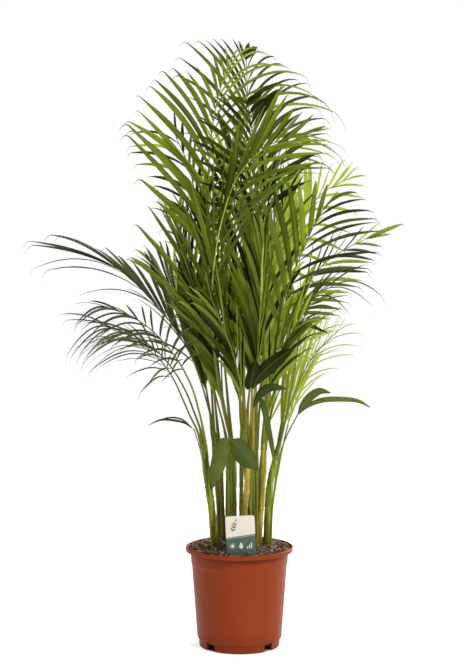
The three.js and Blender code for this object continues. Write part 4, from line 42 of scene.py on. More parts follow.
# ---------------------------------------------------------------- growth tables
# Millimetres. A cane: axis points, radius at the bottom and top, colour family.
# A frond: axis points from its cane's crown, radii, tone, and its leaflets as
# [place on the axis, tip x, y, z, arch, sweep, width, twist].
CANES = [
    {"name": "cane_01", "tone": "olive", "r": [8.5, 6.2], "p": [-47.41,-22,150,-47.52,-22,187.26,-49.67,-22.56,224.42,-53.39,-24.12,261.46,-57.59,-26.24,298.43,-62.77,-28.72,335.24,-67.33,-31.87,372.08,-71.15,-35.33,408.98]},
    {"name": "cane_02", "tone": "brown", "r": [5, 4], "p": [-31.19,14,150,-31.3,13.99,185.89,-32.07,14.22,221.76,-33.57,15.14,257.6,-35.36,16.02,293.43,-36.85,16.84,329.27,-39.38,17.45,365.06,-42.28,18,400.83]},
    {"name": "cane_03", "tone": "green", "r": [5.6, 4.8], "p": [-10.18,-12,150,-10.18,-12,189.24,-10.22,-12,228.47,-10.39,-12,267.71,-10.66,-12,306.94,-11.04,-11.93,346.17,-13.09,-12.23,385.34,-17.01,-13,424.37]},
    {"name": "cane_04", "tone": "olive", "r": [4.4, 4.0], "p": [3.3,26,150,3.29,25.96,194.37,3.22,26.59,238.73,3.47,27.3,283.09,4.01,27.91,327.45,4.89,29.41,371.78,5.53,30.15,416.13,5.87,30,460.5]},
    {"name": "cane_05", "tone": "gold", "r": [5.6, 4.6], "p": [8.9,-38,150,8.97,-38,187.75,9.44,-37.98,225.5,9.88,-37.88,263.25,12.15,-39.07,300.91,15.19,-40.37,338.52,18.36,-42.05,376.1,21.6,-44.67,413.62]},
    {"name": "cane_06", "tone": "green", "r": [5.5, 4.5], "p": [26.7,4,150,26.7,4,192.76,26.71,3.94,235.52,26.41,4.21,278.28,25.79,5.11,321.02,26.15,5.81,363.77,28.42,6.43,406.47,31.57,7,449.11]},
    {"name": "cane_07", "tone": "amber", "r": [5.2, 4.4], "p": [39.04,-18,150,39.27,-18,189.23,40.9,-18,228.42,43.23,-18,267.57,46.42,-18,306.67,48.25,-17.89,345.85,49.05,-18.36,385.06,49.55,-19.67,424.26]},
    {"name": "cane_08", "tone": "green", "r": [5.5, 4.6], "p": [54.01,-4,150,54.24,-4,186.51,55.63,-4,223,57.27,-4,259.47,59.7,-3.86,295.9,63.44,-4.55,332.21,69.68,-6.64,368.11,77.92,-9,403.6]},
    {"name": "cane_09", "tone": "olive", "r": [6, 4.6], "p": [17.88,62,150,17.93,61.94,190.9,17.28,62.48,231.78,16.42,63.64,272.66,15.63,65.31,313.51,15.02,66.89,354.37,13.82,72.14,394.89,12.31,79.33,435.12]},
    {"name": "cane_10", "tone": "olive", "r": [5.5, 4.4], "p": [-40.74,48,150,-40.69,47.96,188.92,-41.01,48.3,227.84,-42.21,49.48,266.73,-44.67,51.88,305.5,-47.76,54.72,344.19,-50.72,58.6,382.81,-53.54,63,421.38]},
    {"name": "cane_11", "tone": "green", "r": [5.5, 4.4], "p": [39.26,44,150,39.2,44,189.25,39.56,43.82,228.5,40.51,44.43,267.72,42.15,46.92,306.86,45.04,48.93,345.95,49.14,52.94,384.77,53.74,58,423.42]},
    {"name": "cane_12", "tone": "green", "r": [4.2, 3.6], "p": [-24.74,-2,150,-24.74,-2,184.79,-24.73,-2,219.58,-24.69,-2,254.36,-24.27,-2,289.15,-23.39,-2,323.92,-22.67,-2,358.7,-22.07,-2,393.49]},
    {"name": "cane_13", "tone": "green", "r": [4.6, 3.8], "p": [-18.32,22,150,-18.31,22,184.92,-18.3,22,219.85,-18.25,22,254.77,-18.54,22.06,289.7,-19.08,22.1,324.62,-18.79,21.27,359.53,-18.08,20,394.42]},
    {"name": "cane_14", "tone": "olive", "r": [4.0, 3.5], "p": [34.27,24,150,34.27,24,185.95,34.12,23.98,221.9,33.77,23.94,257.85,34.14,24.26,293.8,34.91,24.94,329.74,35.18,25.91,365.68,35.32,27,401.61]},
    {"name": "cane_15", "tone": "green", "r": [3.4, 2.9], "p": [50.63,18,150,50.87,18.01,185.68,52,17.87,221.34,53.14,17.39,257,55.14,16.83,292.62,59.08,16.13,328.07,66.98,15.12,362.81,76.01,14,397.31]},
]
YOUNG = [
    {"name": "young_leaf_front", "r": [1.8, 1.5], "p": [-20.95,-39.7,165,-20.96,-39.79,198.41,-21.28,-41.35,231.79,-21.65,-43.2,265.16,-21.93,-45.56,298.49,-22.03,-49.26,331.7,-21.86,-54.32,364.74,-21.13,-59.84,397.69,-19.9,-66,430.51], "blades": [{"w": 33, "p": [-20.01,-65.45,427.56,-28.77,-71,421.25,-39.59,-76,392.17,-49.45,-78,358.69,-56.4,-76,328.52]}, {"w": 40, "p": [-20.01,-65.45,427.56,-7.07,-73,419.54,8.66,-80,400.69,22.41,-84,385.42,36.19,-84,369.55]}]},
    {"name": "young_leaf_strap", "r": [1.8, 1.4], "p": [34.45,-47.7,165,34.5,-48.18,208.78,34.84,-50.73,252.5,35.09,-53.48,296.2,35.05,-55.94,339.93,34.8,-58.4,383.65,33.94,-62.05,427.28,32.37,-68.02,470.63,33.18,-78,513.24], "blades": [{"w": 12, "p": [33.12,-77.32,510.32,39.97,-84,511.93,49.7,-90,485.03,57.5,-94,448.09,65.4,-94,406.66,69.48,-90,370.48]}]},
    {"name": "young_leaf_right", "r": [2.2, 1.5], "p": [61.96,-29.8,165,62.19,-29.99,205.15,63.65,-31.42,245.25,65.72,-33.17,285.32,69.37,-35.42,325.25,74.62,-38.2,364.96,83.1,-41.68,404.02,97.67,-46.45,441.12,115.79,-52,476.51], "blades": [{"w": 17, "p": [114.44,-51.59,473.87,125.4,-58,495.13,140.97,-62,513.46,158.5,-66,523.8,180.08,-68,520.06]}, {"w": 11, "p": [114.44,-51.59,473.87,133.66,-50,492.22,163.14,-54,504.62,198.62,-56,506.83,233.95,-60,503.31,259.38,-64,489.87]}]},
    {"name": "young_leaf_centre", "r": [2, 1.6], "p": [20.74,-55.9,165,20.93,-56.09,212.62,21.82,-56.89,260.23,22.78,-58.06,307.83,23.81,-58.83,355.44,24.71,-63.19,402.8,25.28,-76.36,448.5,24.96,-94.59,492.47,23.91,-116,535], "blades": [{"w": 38, "p": [23.98,-114.65,532.32,35.38,-127,557.53,54.47,-138,577.97,79.25,-146,598,104.04,-150,615.67]}, {"w": 36, "p": [23.91,-116,535,21.94,-119,541.16,25.68,-129,565.49,31.36,-136,593.26]}, {"w": 18, "p": [24.96,-94.59,492.47,41.43,-114,525.03,62.65,-120,537.37,91.61,-124,533.89]}]},
    {"name": "young_leaf_left", "r": [1.8, 1.3], "p": [-55.57,-45.7,165,-55.64,-45.76,200.82,-57.58,-47.64,236.55,-59.96,-49.89,272.23,-63.05,-52.22,307.85,-67.08,-54.62,343.38,-72.15,-57.1,378.76,-79.65,-59.56,413.69,-90.08,-62,447.89], "blades": [{"w": 5, "p": [-89.21,-61.8,445.03,-107.73,-66,460.33,-133.22,-70,466.78,-156.7,-74,467.28,-182.24,-76,455.64]}, {"w": 3.5, "p": [-89.21,-61.8,445.03,-111.96,-56,465.04,-137.75,-54,469.78,-165.59,-52,462.55]}]},
    {"name": "young_shoot_right", "r": [2, 1.6], "p": [59.41,29.9,165,60.13,30.19,200.19,61.82,30.86,235.35,63.83,31.72,270.49,66.34,32.96,305.59,69.27,34.51,340.64,73.05,36.2,375.6,78.55,38.05,410.33,84.74,40,444.93], "blades": [{"w": 7, "p": [84.21,39.83,441.98,96.91,44,524.33,113.14,48,599.56,129.3,50,670.79]}, {"w": 7, "p": [84.21,39.83,441.98,105.34,52,513.25,129.94,60,590.39,150.36,64,647.44]}, {"w": 7, "p": [84.21,39.83,441.98,88.47,34,525.36,96.24,30,627.41]}, {"w": 6, "p": [84.21,39.83,441.98,113.82,60,502.12,142.74,70,556.65,171.57,76,603.46]}]},
    {"name": "young_shoot_back_right", "r": [2, 1.6], "p": [37.3,69.4,165,38.49,72.19,199.24,40.36,76.63,233.42,42.56,81.47,267.53,45.34,86.8,301.52,48.52,92.61,335.39,51.96,99.5,369.04,55.82,108.4,402.16,59.85,118,435.07], "blades": [{"w": 8, "p": [59.5,117.17,432.21,61.94,124,516.07,66.08,130,620.05]}, {"w": 8, "p": [59.5,117.17,432.21,76.94,140,508.11,94.4,170,585.41,105.23,182,626.81]}, {"w": 8, "p": [59.5,117.17,432.21,51.36,114,506.66,46.99,108,600.91]}, {"w": 7, "p": [59.5,117.17,432.21,89.25,130,488.18,116.4,134,538.11,135.14,136,584.03]}]},
    {"name": "young_shoot_far_right", "r": [2, 1.6], "p": [58.61,63.9,165,60.86,64.31,199.76,64.58,64.98,234.46,68.72,65.85,269.12,73.49,67.05,303.69,78.77,68.5,338.17,84.8,70.37,372.5,92.21,73.04,406.51,100.15,76,440.38], "blades": [{"w": 7, "p": [99.47,75.75,437.47,118.76,84,520.2,143.58,92,598.05,164.18,96,657.68]}, {"w": 6.5, "p": [99.47,75.75,437.47,124.74,78,506.35,153.53,82,563.79,180.33,86,602.67]}, {"w": 6.5, "p": [99.47,75.75,437.47,105.93,70,521.64,117.82,64,594.16,127.74,60,645.66]}]},
]
FRONDS = [
    {"name": "frond_01", "tone": "g", "r": [2.6, 0.9], "p": [-74.23,-37.12,409.4,-84.05,-41.6,442.1,-98.49,-48.12,473.2,-111.44,-56.2,504.6,-124.15,-66.19,535.56,-138.96,-79.09,564.38,-157.13,-94.85,589.65,-179.51,-111.76,610.37,-205.99,-129.02,625,-237.84,-142,630.44],
     "l": [[0.5000,-197.6,-27.8,516.8,0.55,0.25,4.6,-0.41],[0.5469,-221.5,-73.7,552.5,0.6,0.26,4,-0.13],[0.5937,-254.7,-56.7,578.5,0.41,0.29,4.4,-0.46],[0.6406,-277.1,-79.6,570.8,0.71,0.28,4.3,-0.15],[0.6874,-291.4,-64.1,565.5,0.64,0.3,4.2,-0.13],[0.7343,-295.9,-75,560.5,0.81,0.28,4.1,-0.35],[0.7812,-298.7,-89.7,577.9,0.6,0.25,3.8,-0.48],[0.8280,-302.2,-106.1,584.7,0.9,0.32,4.2,-0.13],[0.8749,-316.6,-109.7,588.5,0.93,0.35,4.1,-0.47],[0.9217,-321.3,-121.3,589.1,0.92,0.25,3.7,-0.51],[0.9686,-333.6,-107.1,595.9,0.8,0.35,3.7,-0.59],[0.5203,-106.7,-132.2,592.4,0.6,0.3,3.9,0.2],[0.5784,-130.8,-114.9,602.2,0.53,0.27,3.4,0.59],[0.6365,-148.8,-116.6,622.2,0.6,0.27,4,0.59],[0.6946,-172.8,-133.1,632.6,0.42,0.36,3.8,0.47],[0.7527,-202.8,-157.2,651.5,0.44,0.25,4,0.3],[0.8107,-222.6,-149.3,653.7,0.55,0.31,3.4,0.12],[0.8688,-255.7,-140.4,637.6,0.65,0.34,3.5,0.48],[0.9269,-275.8,-163.8,627.2,0.36,0.27,3.3,0.58],[0.9850,-301.6,-172.4,616.3,0.58,0.29,2.9,0.52]]},
    {"name": "frond_02", "tone": "g", "r": [2.6, 0.9], "p": [-71.28,-31.95,410.19,-79.14,-26.33,444.99,-91.58,-14.14,477.85,-105.12,-2.72,510.54,-122.18,9.97,541.05,-142.64,23.82,568.85,-166.54,38.42,593.27,-194.53,53.04,612.89,-225.99,65.41,628.28,-261.05,76,634.3],
     "l": [[0.5200,-184.7,69.8,527.7,0.38,0.29,4.5,-0.5],[0.5697,-212.6,93.7,571.2,0.59,0.34,4.6,-0.17],[0.6195,-244.6,93.1,593.1,0.66,0.27,4.5,-0.37],[0.6692,-297.3,74.1,602,0.54,0.25,4.6,-0.48],[0.7189,-302.1,103.9,582.2,0.76,0.24,4.7,-0.24],[0.7687,-313.6,114.4,577.8,0.89,0.33,3.9,-0.52],[0.8184,-319.8,111.3,573.4,0.87,0.31,4.1,-0.26],[0.8681,-330.3,111.8,580,0.99,0.31,4,-0.54],[0.9179,-345.4,101.2,579.5,0.87,0.33,3.6,-0.22],[0.9676,-350.6,73.7,587.4,1.13,0.3,3.8,-0.46],[0.5374,-117.4,44.1,601,0.5,0.25,4.3,0.19],[0.5871,-151,65,619.6,0.53,0.25,3.7,0.44],[0.6369,-180.4,97.1,635.3,0.4,0.32,4.2,0.34],[0.6866,-214.4,88.1,659.4,0.54,0.26,3.7,0.24],[0.7363,-240.2,87.2,652.6,0.38,0.25,3.3,0.43],[0.7861,-276,103.2,653.7,0.52,0.35,3.5,0.51],[0.8358,-317.4,101.2,647.1,0.41,0.34,4,0.24],[0.8855,-338.9,85.6,646.6,0.59,0.3,4,0.43],[0.9353,-355.6,85.9,653.6,0.39,0.35,3.8,0.15],[0.9850,-370.8,101.2,664.5,0.53,0.26,3.2,0.4]]},
    {"name": "frond_03", "tone": "d", "r": [2.6, 0.9], "p": [-68.23,-37.18,410.02,-73.2,-49.7,449.88,-81.1,-67.02,488.19,-91.07,-83.75,526.27,-105.72,-101.5,562.32,-124.74,-118.9,596.43,-148.59,-135.11,628.01,-177.07,-149.24,656.57,-211.39,-159.95,679.6,-250.97,-168,693.55],
     "l": [[0.4700,-150.4,-139.1,550.2,0.4,0.35,5.4,-0.6],[0.5198,-176.3,-154.7,577.2,0.65,0.42,5.4,-0.46],[0.5695,-197.5,-173.9,597.2,0.67,0.32,6.2,-0.6],[0.6193,-226.3,-156.9,612.2,0.71,0.29,5.8,-0.57],[0.6690,-245.6,-189.3,618,0.75,0.36,6,-0.19],[0.7188,-269.8,-181.4,619.4,0.51,0.33,4.8,-0.16],[0.7686,-276.6,-156.4,631.3,0.77,0.33,5.2,-0.34],[0.8183,-279.1,-202.3,647.1,0.82,0.35,5.3,-0.31],[0.8681,-301.3,-159.4,652.1,0.7,0.32,4.6,-0.21],[0.9178,-305.5,-202.8,664.6,0.78,0.32,5.1,-0.33],[0.9676,-310,-182.6,664.6,0.95,0.39,4.4,-0.38],[0.4874,-64.8,-178.6,606.5,0.38,0.38,5.3,0.52],[0.5372,-82.4,-186.7,638.5,0.22,0.33,5.8,0.35],[0.5869,-93.8,-188.9,658.5,0.3,0.32,6.1,0.44],[0.6367,-114.5,-198,689.1,0.32,0.4,5.3,0.59],[0.6864,-135.7,-201.7,698.6,0.4,0.29,5.8,0.56],[0.7362,-168.7,-187.3,696.2,0.35,0.37,4.3,0.23],[0.7860,-187,-171.5,698.5,0.43,0.3,4.4,0.46],[0.8357,-217.5,-173,701.2,0.27,0.42,3.8,0.44],[0.8855,-248.1,-186.9,699.3,0.36,0.42,4.2,0.32],[0.9352,-285.2,-176.8,707.5,0.39,0.34,3.8,0.48],[0.9850,-315.1,-203.1,702.5,0.41,0.3,4.2,0.43]]},
    {"name": "frond_04", "tone": "m", "r": [2.6, 0.9], "p": [-43.84,15.41,401.65,-53.71,11.51,448.09,-65.64,6.87,494.25,-78.74,0.49,539.88,-94.84,-7.58,584.22,-117.29,-16.19,625.63,-143.15,-26.35,664.63,-173.03,-37.97,700.2,-204.51,-48.78,734.65,-238.9,-60,766.02],
     "l": [[0.4200,-191.8,51.6,620.9,0.23,0.44,7.9,-0.36],[0.5256,-209.5,41.4,701.7,0.32,0.49,8,-0.51],[0.6312,-221.3,18.1,721.4,0.34,0.52,5.8,-0.1],[0.7368,-319.4,2.2,710,0.55,0.52,6.8,-0.53],[0.8424,-384.7,12.2,759.9,0.38,0.58,5.8,-0.32],[0.9480,-409.4,-28.8,763.3,0.55,0.41,4.7,-0.47],[0.4391,-109.9,-77.6,779,0.14,0.42,12.1,0.36],[0.4937,-120.2,-66.6,782.1,0.16,0.51,12.1,0.24],[0.5483,-159.3,-94.5,758.6,0.2,0.42,11,0.45],[0.6029,-183.4,-79.9,774.7,0.23,0.58,8.4,0.43],[0.6575,-208.8,-87.3,779.5,0.27,0.49,9,0.33],[0.7121,-233.1,-111.1,790.8,0.2,0.56,9.2,0.58],[0.7666,-260.3,-87.8,806.4,0.22,0.46,7.8,0.34],[0.8212,-281.4,-71.5,804.8,0.32,0.46,7.2,0.19],[0.8758,-319.4,-100.6,823.7,0.3,0.5,7,0.16],[0.9304,-348.2,-94.7,829,0.33,0.57,5.8,0.4],[0.9850,-367.4,-97.4,831.2,0.43,0.54,6.6,0.52],[0.9800,-413,-62.7,819,0.17,0.5,6,0.3],[0.9800,-405.2,-62.7,811.2,0.17,0.5,5,0.3]]},
    {"name": "frond_05", "tone": "m", "r": [2.8, 1.3], "p": [-17.09,-16.02,425.21,-33.68,-50.53,494.75,-45.62,-86.11,567.19,-52.76,-120.99,640.61,-53.85,-153.31,715.49,-46.89,-179.97,792.24,-31.2,-195.22,870.68,-2.03,-196.07,946.44,54.89,-179.39,1001,129.36,-156,1023.53],
     "l": [[0.3000,-151.4,-139.9,710.4,0.09,0.41,12.4,-0.53],[0.3354,-204.1,-170.1,789.5,0.11,0.4,17.1,-0.53],[0.3708,-193.7,-171.9,851.3,0.1,0.35,16.2,-0.4],[0.4062,-174.3,-164.6,888,0.12,0.29,16.2,-0.34],[0.4416,-142.6,-172.2,892.6,0.1,0.31,15.9,-0.38],[0.4770,-109.6,-164.5,894.2,0.08,0.39,13,-0.21],[0.5124,-91.5,-197.6,928.3,0.11,0.35,13.2,-0.27],[0.5478,-50.2,-174.2,988.4,0.1,0.38,14.5,-0.2],[0.5832,-27.6,-200.9,1009.8,0.12,0.34,12.9,-0.31],[0.6186,-11.2,-190.5,1029.5,0.08,0.29,11.5,-0.13],[0.6540,-0.3,-210.3,1046.4,0.09,0.31,12.1,-0.14],[0.6894,13,-175.4,1062.3,0.09,0.39,10.6,-0.14],[0.7248,46.4,-194.8,1074.6,0.12,0.29,10.8,-0.11],[0.7602,75.5,-167.5,1089.6,0.12,0.29,10.9,-0.11],[0.7956,78.1,-178.3,1111.1,0.09,0.4,11.3,-0.14],[0.8310,88.1,-177.8,1094.2,0.12,0.3,9.8,-0.37],[0.8664,104.4,-170,1072.2,0.1,0.38,8.8,-0.12],[0.9018,118.2,-145.9,1065.7,0.07,0.34,7.1,-0.51],[0.9372,139.4,-158.6,1059.8,0.08,0.39,7.6,-0.53],[0.9726,161.5,-150.3,1038,0.08,0.4,6.7,-0.53],[0.3147,-16.5,-162.6,790.5,0.18,0.7,9.1,0.45],[0.3566,-10.5,-180.1,819,0.19,0.65,7.8,0.2],[0.3985,7.7,-147.7,848.3,0.24,0.59,7.6,0.35],[0.4404,23.5,-171.9,871.5,0.27,0.56,9,0.17],[0.4822,48.1,-199.2,888.5,0.19,0.53,8,0.22],[0.5241,63.8,-188.4,916.2,0.17,0.59,8.2,0.49],[0.5660,91.6,-184.3,936.8,0.22,0.63,7.3,0.25],[0.6079,107.9,-181.1,948.1,0.19,0.57,8.9,0.34],[0.6498,137.5,-208.1,967.1,0.2,0.7,8.1,0.54],[0.6917,155.2,-206.9,967.5,0.28,0.68,7.9,0.28],[0.7336,168.7,-186,958.5,0.17,0.52,7.3,0.31],[0.7755,165.1,-190.1,986.2,0.19,0.49,7.5,0.31],[0.8174,165.4,-167.6,1002.3,0.28,0.63,6.9,0.35],[0.8593,164.7,-165.5,1010.1,0.2,0.58,6.8,0.59],[0.9012,152.9,-175.9,1027.7,0.23,0.56,5.2,0.31],[0.9431,174.8,-141.2,1033.8,0.22,0.65,5.3,0.43],[0.9850,159.4,-171,1036,0.2,0.71,5.1,0.41]]},
    {"name": "frond_06", "tone": "l", "r": [2.8, 0.9], "p": [-17.1,-10.02,425.33,-24.25,-15.86,510.22,-31.95,-21.01,595.21,-41.2,-26.21,680.05,-50.84,-30.73,764.88,-58.56,-32.48,849.99,-62.45,-28.64,935.28,-56.35,-19.04,1019.97,-43.14,-1.64,1102.46,-19,32,1177.13],
     "l": [[0.4600,-157.7,-144.1,896,0.06,0.34,11.6,-0.39],[0.4903,-191,-110.1,938.9,0.07,0.27,13.4,-0.55],[0.5205,-216,-100.4,1023.7,0.09,0.37,11.2,-0.1],[0.5508,-215.5,-117.1,1043.3,0.15,0.36,12.1,-0.16],[0.5810,-206.9,-90.1,1032.7,0.19,0.31,11,-0.22],[0.6113,-196.3,-90.6,1071.6,0.18,0.41,11.5,-0.56],[0.6416,-213.8,-89.6,1050.9,0.2,0.42,13,-0.56],[0.6718,-195.6,-76.7,1101.1,0.16,0.36,12.1,-0.18],[0.7021,-171.5,-112.1,1116.8,0.3,0.42,11.6,-0.39],[0.7323,-162.3,-106.5,1129.3,0.23,0.47,10.6,-0.48],[0.7626,-148.9,-51.2,1150.2,0.23,0.36,9.8,-0.25],[0.7929,-128.8,-58.8,1154.9,0.35,0.39,10.4,-0.47],[0.8231,-104,-45,1150.7,0.29,0.37,7.8,-0.3],[0.8534,-84.2,-35.2,1159.4,0.27,0.45,7.8,-0.46],[0.8836,-61.8,-64.6,1171,0.37,0.44,7.4,-0.6],[0.9139,-51.6,-7.4,1181.6,0.44,0.51,7.6,-0.42],[0.9441,-42.6,-12.1,1188.8,0.53,0.42,7.6,-0.3],[0.9744,-29.9,-18.5,1198.7,0.37,0.44,6.9,-0.33],[0.4712,-2.7,-22.6,895.2,0.56,0.61,6,0.4],[0.5033,36.9,13.4,911.3,0.53,0.65,7.8,0.22],[0.5355,96.1,-14.3,945.9,0.83,0.49,7.2,0.37],[0.5676,158.9,-5.8,951.7,0.49,0.49,6.8,0.59],[0.5997,179.9,14.2,965,0.91,0.45,7.1,0.13],[0.6318,191,-10.3,981.7,0.85,0.47,6.8,0.32],[0.6639,196.7,-30.6,987.5,1.02,0.61,7.6,0.21],[0.6960,202.9,-11.1,1004.6,0.67,0.51,6.4,0.53],[0.7281,191.3,-19.1,1070.7,0.84,0.59,6.5,0.29],[0.7602,171.3,-9.4,1089.4,1.06,0.47,7.3,0.59],[0.7923,148,13.7,1106.8,1.08,0.6,5.8,0.53],[0.8244,131.1,-5.2,1142.7,0.95,0.63,6.2,0.11],[0.8566,97.9,4.8,1160.3,0.97,0.65,5.7,0.4],[0.8887,70.4,31.4,1167.6,0.86,0.49,5.3,0.53],[0.9208,56.6,-1.1,1185.6,1.33,0.55,5.3,0.52],[0.9529,36.9,48.2,1201.2,1.14,0.65,4.4,0.14],[0.9850,6,51.8,1203.8,0.95,0.64,4,0.2]]},
    {"name": "frond_07", "tone": "m", "r": [2.6, 0.9], "p": [8,32.12,461.39,9.54,41.84,543.58,12,51.22,625.9,14.67,60.12,708.27,17.3,69.14,790.62,20.66,78.74,872.89,23.44,88.73,955.12,22.26,98.87,1037.36,16.98,107.31,1119.64,13.59,112,1202.32],
     "l": [[0.5600,-95.1,115.6,955.7,0.43,0.51,9,-0.51],[0.5918,-109.2,134.6,1007.6,0.52,0.66,9.3,-0.55],[0.6237,-109.6,115,1038.3,0.38,0.67,8.9,-0.2],[0.6555,-94.3,91.1,1076.6,0.39,0.58,8.2,-0.41],[0.6873,-103.5,110.7,1110,0.51,0.52,7.8,-0.48],[0.7192,-125.8,105.9,1153.7,0.49,0.5,7.9,-0.38],[0.7510,-123,127.6,1192.6,0.29,0.58,8.9,-0.54],[0.7828,-110.7,134.7,1225.4,0.28,0.68,8.1,-0.44],[0.8147,-84.3,138.8,1228,0.39,0.66,8.5,-0.57],[0.8465,-66.4,106,1224.8,0.34,0.59,7.8,-0.27],[0.8784,-52.8,147.7,1231.5,0.31,0.69,7.1,-0.21],[0.9102,-35.5,122.7,1229,0.31,0.62,6.6,-0.46],[0.9420,-14.4,122.6,1229.6,0.43,0.63,5.3,-0.52],[0.9739,0.2,139.2,1225.9,0.36,0.52,5.4,-0.12],[0.5720,145.4,165.8,920.9,0.46,0.54,7.1,0.29],[0.6065,166.2,145.7,989.4,0.69,0.51,7,0.5],[0.6409,180.8,138.5,1037.1,0.49,0.6,7.3,0.24],[0.6753,176.2,132.8,1068.2,0.56,0.63,7.2,0.12],[0.7097,163.1,127.7,1086.8,0.9,0.61,6.4,0.38],[0.7441,159.4,137.7,1112.5,0.72,0.59,7.7,0.42],[0.7785,138.4,124,1140.2,0.64,0.64,6.4,0.42],[0.8129,119.4,135.1,1147.5,0.87,0.54,6.7,0.45],[0.8473,103.6,132,1162.6,0.79,0.62,6,0.2],[0.8818,89.5,129.7,1177.6,1.06,0.62,5.6,0.3],[0.9162,71.5,146.5,1195.5,0.86,0.56,5.6,0.24],[0.9506,47,163.9,1204.5,1.04,0.55,4.9,0.15],[0.9850,32.8,129.2,1213.6,1.13,0.53,4,0.25],[0.9800,36,106.3,1211.9,0.24,0.6,13,0.3],[0.9800,-0.8,106.3,1224.1,0.24,0.6,12,0.3],[0.9800,19.7,106.3,1220,0.24,0.6,12,0.3]]},
    {"name": "frond_08", "tone": "d", "r": [2.6, 0.9], "p": [30.14,4.42,450.15,32.49,-2.49,522.2,34.09,-9.12,594.39,34.97,-15.84,666.58,34.71,-23.75,738.65,33.15,-31.38,810.74,31.31,-38.46,882.88,29.38,-46.12,954.95,25.34,-54.54,1026.84,14.29,-66,1097.22],
     "l": [[0.6000,-70.7,-113.3,894.7,0.28,0.49,9,-0.18],[0.6339,-81.5,-116.1,933,0.29,0.58,9.3,-0.53],[0.6678,-87.6,-106,977.4,0.25,0.56,10,-0.36],[0.7018,-94,-92.8,1014.4,0.31,0.64,8.9,-0.33],[0.7357,-82.9,-82.4,1027.2,0.32,0.48,8.8,-0.42],[0.7696,-77.5,-92.8,1053.8,0.25,0.54,8.5,-0.27],[0.8035,-59.1,-69.1,1065.5,0.33,0.63,7.1,-0.59],[0.8374,-44.5,-111.3,1080.1,0.33,0.51,7.6,-0.35],[0.8714,-46,-110.7,1096.7,0.26,0.57,6.7,-0.37],[0.9053,-26.4,-89.3,1102.7,0.41,0.46,7.1,-0.13],[0.9392,-19.3,-104.7,1103.8,0.26,0.57,6.4,-0.47],[0.9731,-11.6,-90.2,1097.7,0.41,0.62,5.2,-0.57],[0.6119,137.4,-78.8,937.1,0.31,0.61,13,0.37],[0.6458,150.1,-40.8,973.9,0.28,0.52,10.8,0.18],[0.6797,148.9,-63.9,989.4,0.3,0.54,13,0.47],[0.7136,149.3,-65.5,1017.9,0.43,0.61,11.3,0.25],[0.7476,129,-84.2,1050.4,0.25,0.46,13.3,0.38],[0.7815,115.3,-69.5,1065.8,0.4,0.45,10.9,0.1],[0.8154,103.8,-86.7,1074.4,0.31,0.5,10.3,0.31],[0.8493,99.3,-55.8,1091.6,0.35,0.49,12.2,0.44],[0.8832,84.2,-79.2,1117.1,0.42,0.54,10.9,0.19],[0.9172,79.6,-104.7,1113,0.41,0.59,10.1,0.47],[0.9511,66.4,-108,1096.6,0.35,0.61,9.5,0.57],[0.9850,41.7,-104.7,1099.3,0.26,0.5,8.8,0.13],[0.9800,86.2,-66.9,1130,0.21,0.55,10,0.3],[0.9800,43.5,-66.9,1106.8,0.21,0.55,16,0.3]]},
    {"name": "frond_09", "tone": "d", "r": [2.6, 0.9], "p": [-40.86,20.61,401.8,-47.59,30.53,472.06,-55.39,40.35,542.35,-63.32,50.3,612.61,-70.62,58.85,683.12,-76.72,64.36,754.04,-81.95,66.05,825.22,-88.46,61.8,896.17,-101.79,54.15,965.85,-129.92,46,1030.47],
     "l": [[0.5200,-136.6,87.3,777.9,0.23,0.66,8.7,-0.57],[0.5649,-153.2,123.3,814.8,0.32,0.66,8.4,-0.35],[0.6099,-156.2,86,839.4,0.33,0.48,8.2,-0.48],[0.6548,-153.1,125.7,867.7,0.38,0.58,8.8,-0.53],[0.6997,-161.7,137.8,905.3,0.21,0.54,7.8,-0.19],[0.7446,-172.2,110.8,929.5,0.28,0.52,8.7,-0.53],[0.7896,-183.8,92.1,948.3,0.3,0.66,8.5,-0.1],[0.8345,-212.3,126.3,973.6,0.25,0.63,8,-0.14],[0.8794,-222.3,96.8,996.6,0.27,0.59,8.6,-0.52],[0.9243,-225.6,114.9,1009.5,0.22,0.52,8.8,-0.49],[0.9693,-220.7,102.4,1035.2,0.36,0.62,8.3,-0.52],[0.5374,-33.8,14.8,820.2,0.21,0.7,8,0.47],[0.5871,-29.1,33.3,865.1,0.38,0.69,9.7,0.17],[0.6369,-31.3,36,908.8,0.29,0.68,9.6,0.51],[0.6866,-47.8,15.5,948.1,0.29,0.56,9,0.46],[0.7363,-53.8,10.1,971.5,0.22,0.51,8.5,0.52],[0.7861,-67.8,52.7,1006.9,0.33,0.57,7.7,0.35],[0.8358,-88.4,55.8,1027.5,0.31,0.7,7.1,0.16],[0.8855,-95.8,50.4,1044.3,0.37,0.67,6.5,0.27],[0.9353,-114.7,30.1,1055.4,0.27,0.5,7,0.47],[0.9850,-132,39.9,1081.5,0.35,0.67,5.7,0.58]]},
    {"name": "frond_10", "tone": "l", "r": [2.6, 0.9], "p": [47.81,-16.67,425.29,52.99,-5.27,488.22,60.62,9.28,550.85,69.13,24.62,613.18,79.15,40.29,675.2,91.47,54.82,737.07,109.1,69.82,797.53,130.95,82.38,857.13,165.78,92.56,910.33,220.66,98,943.05],
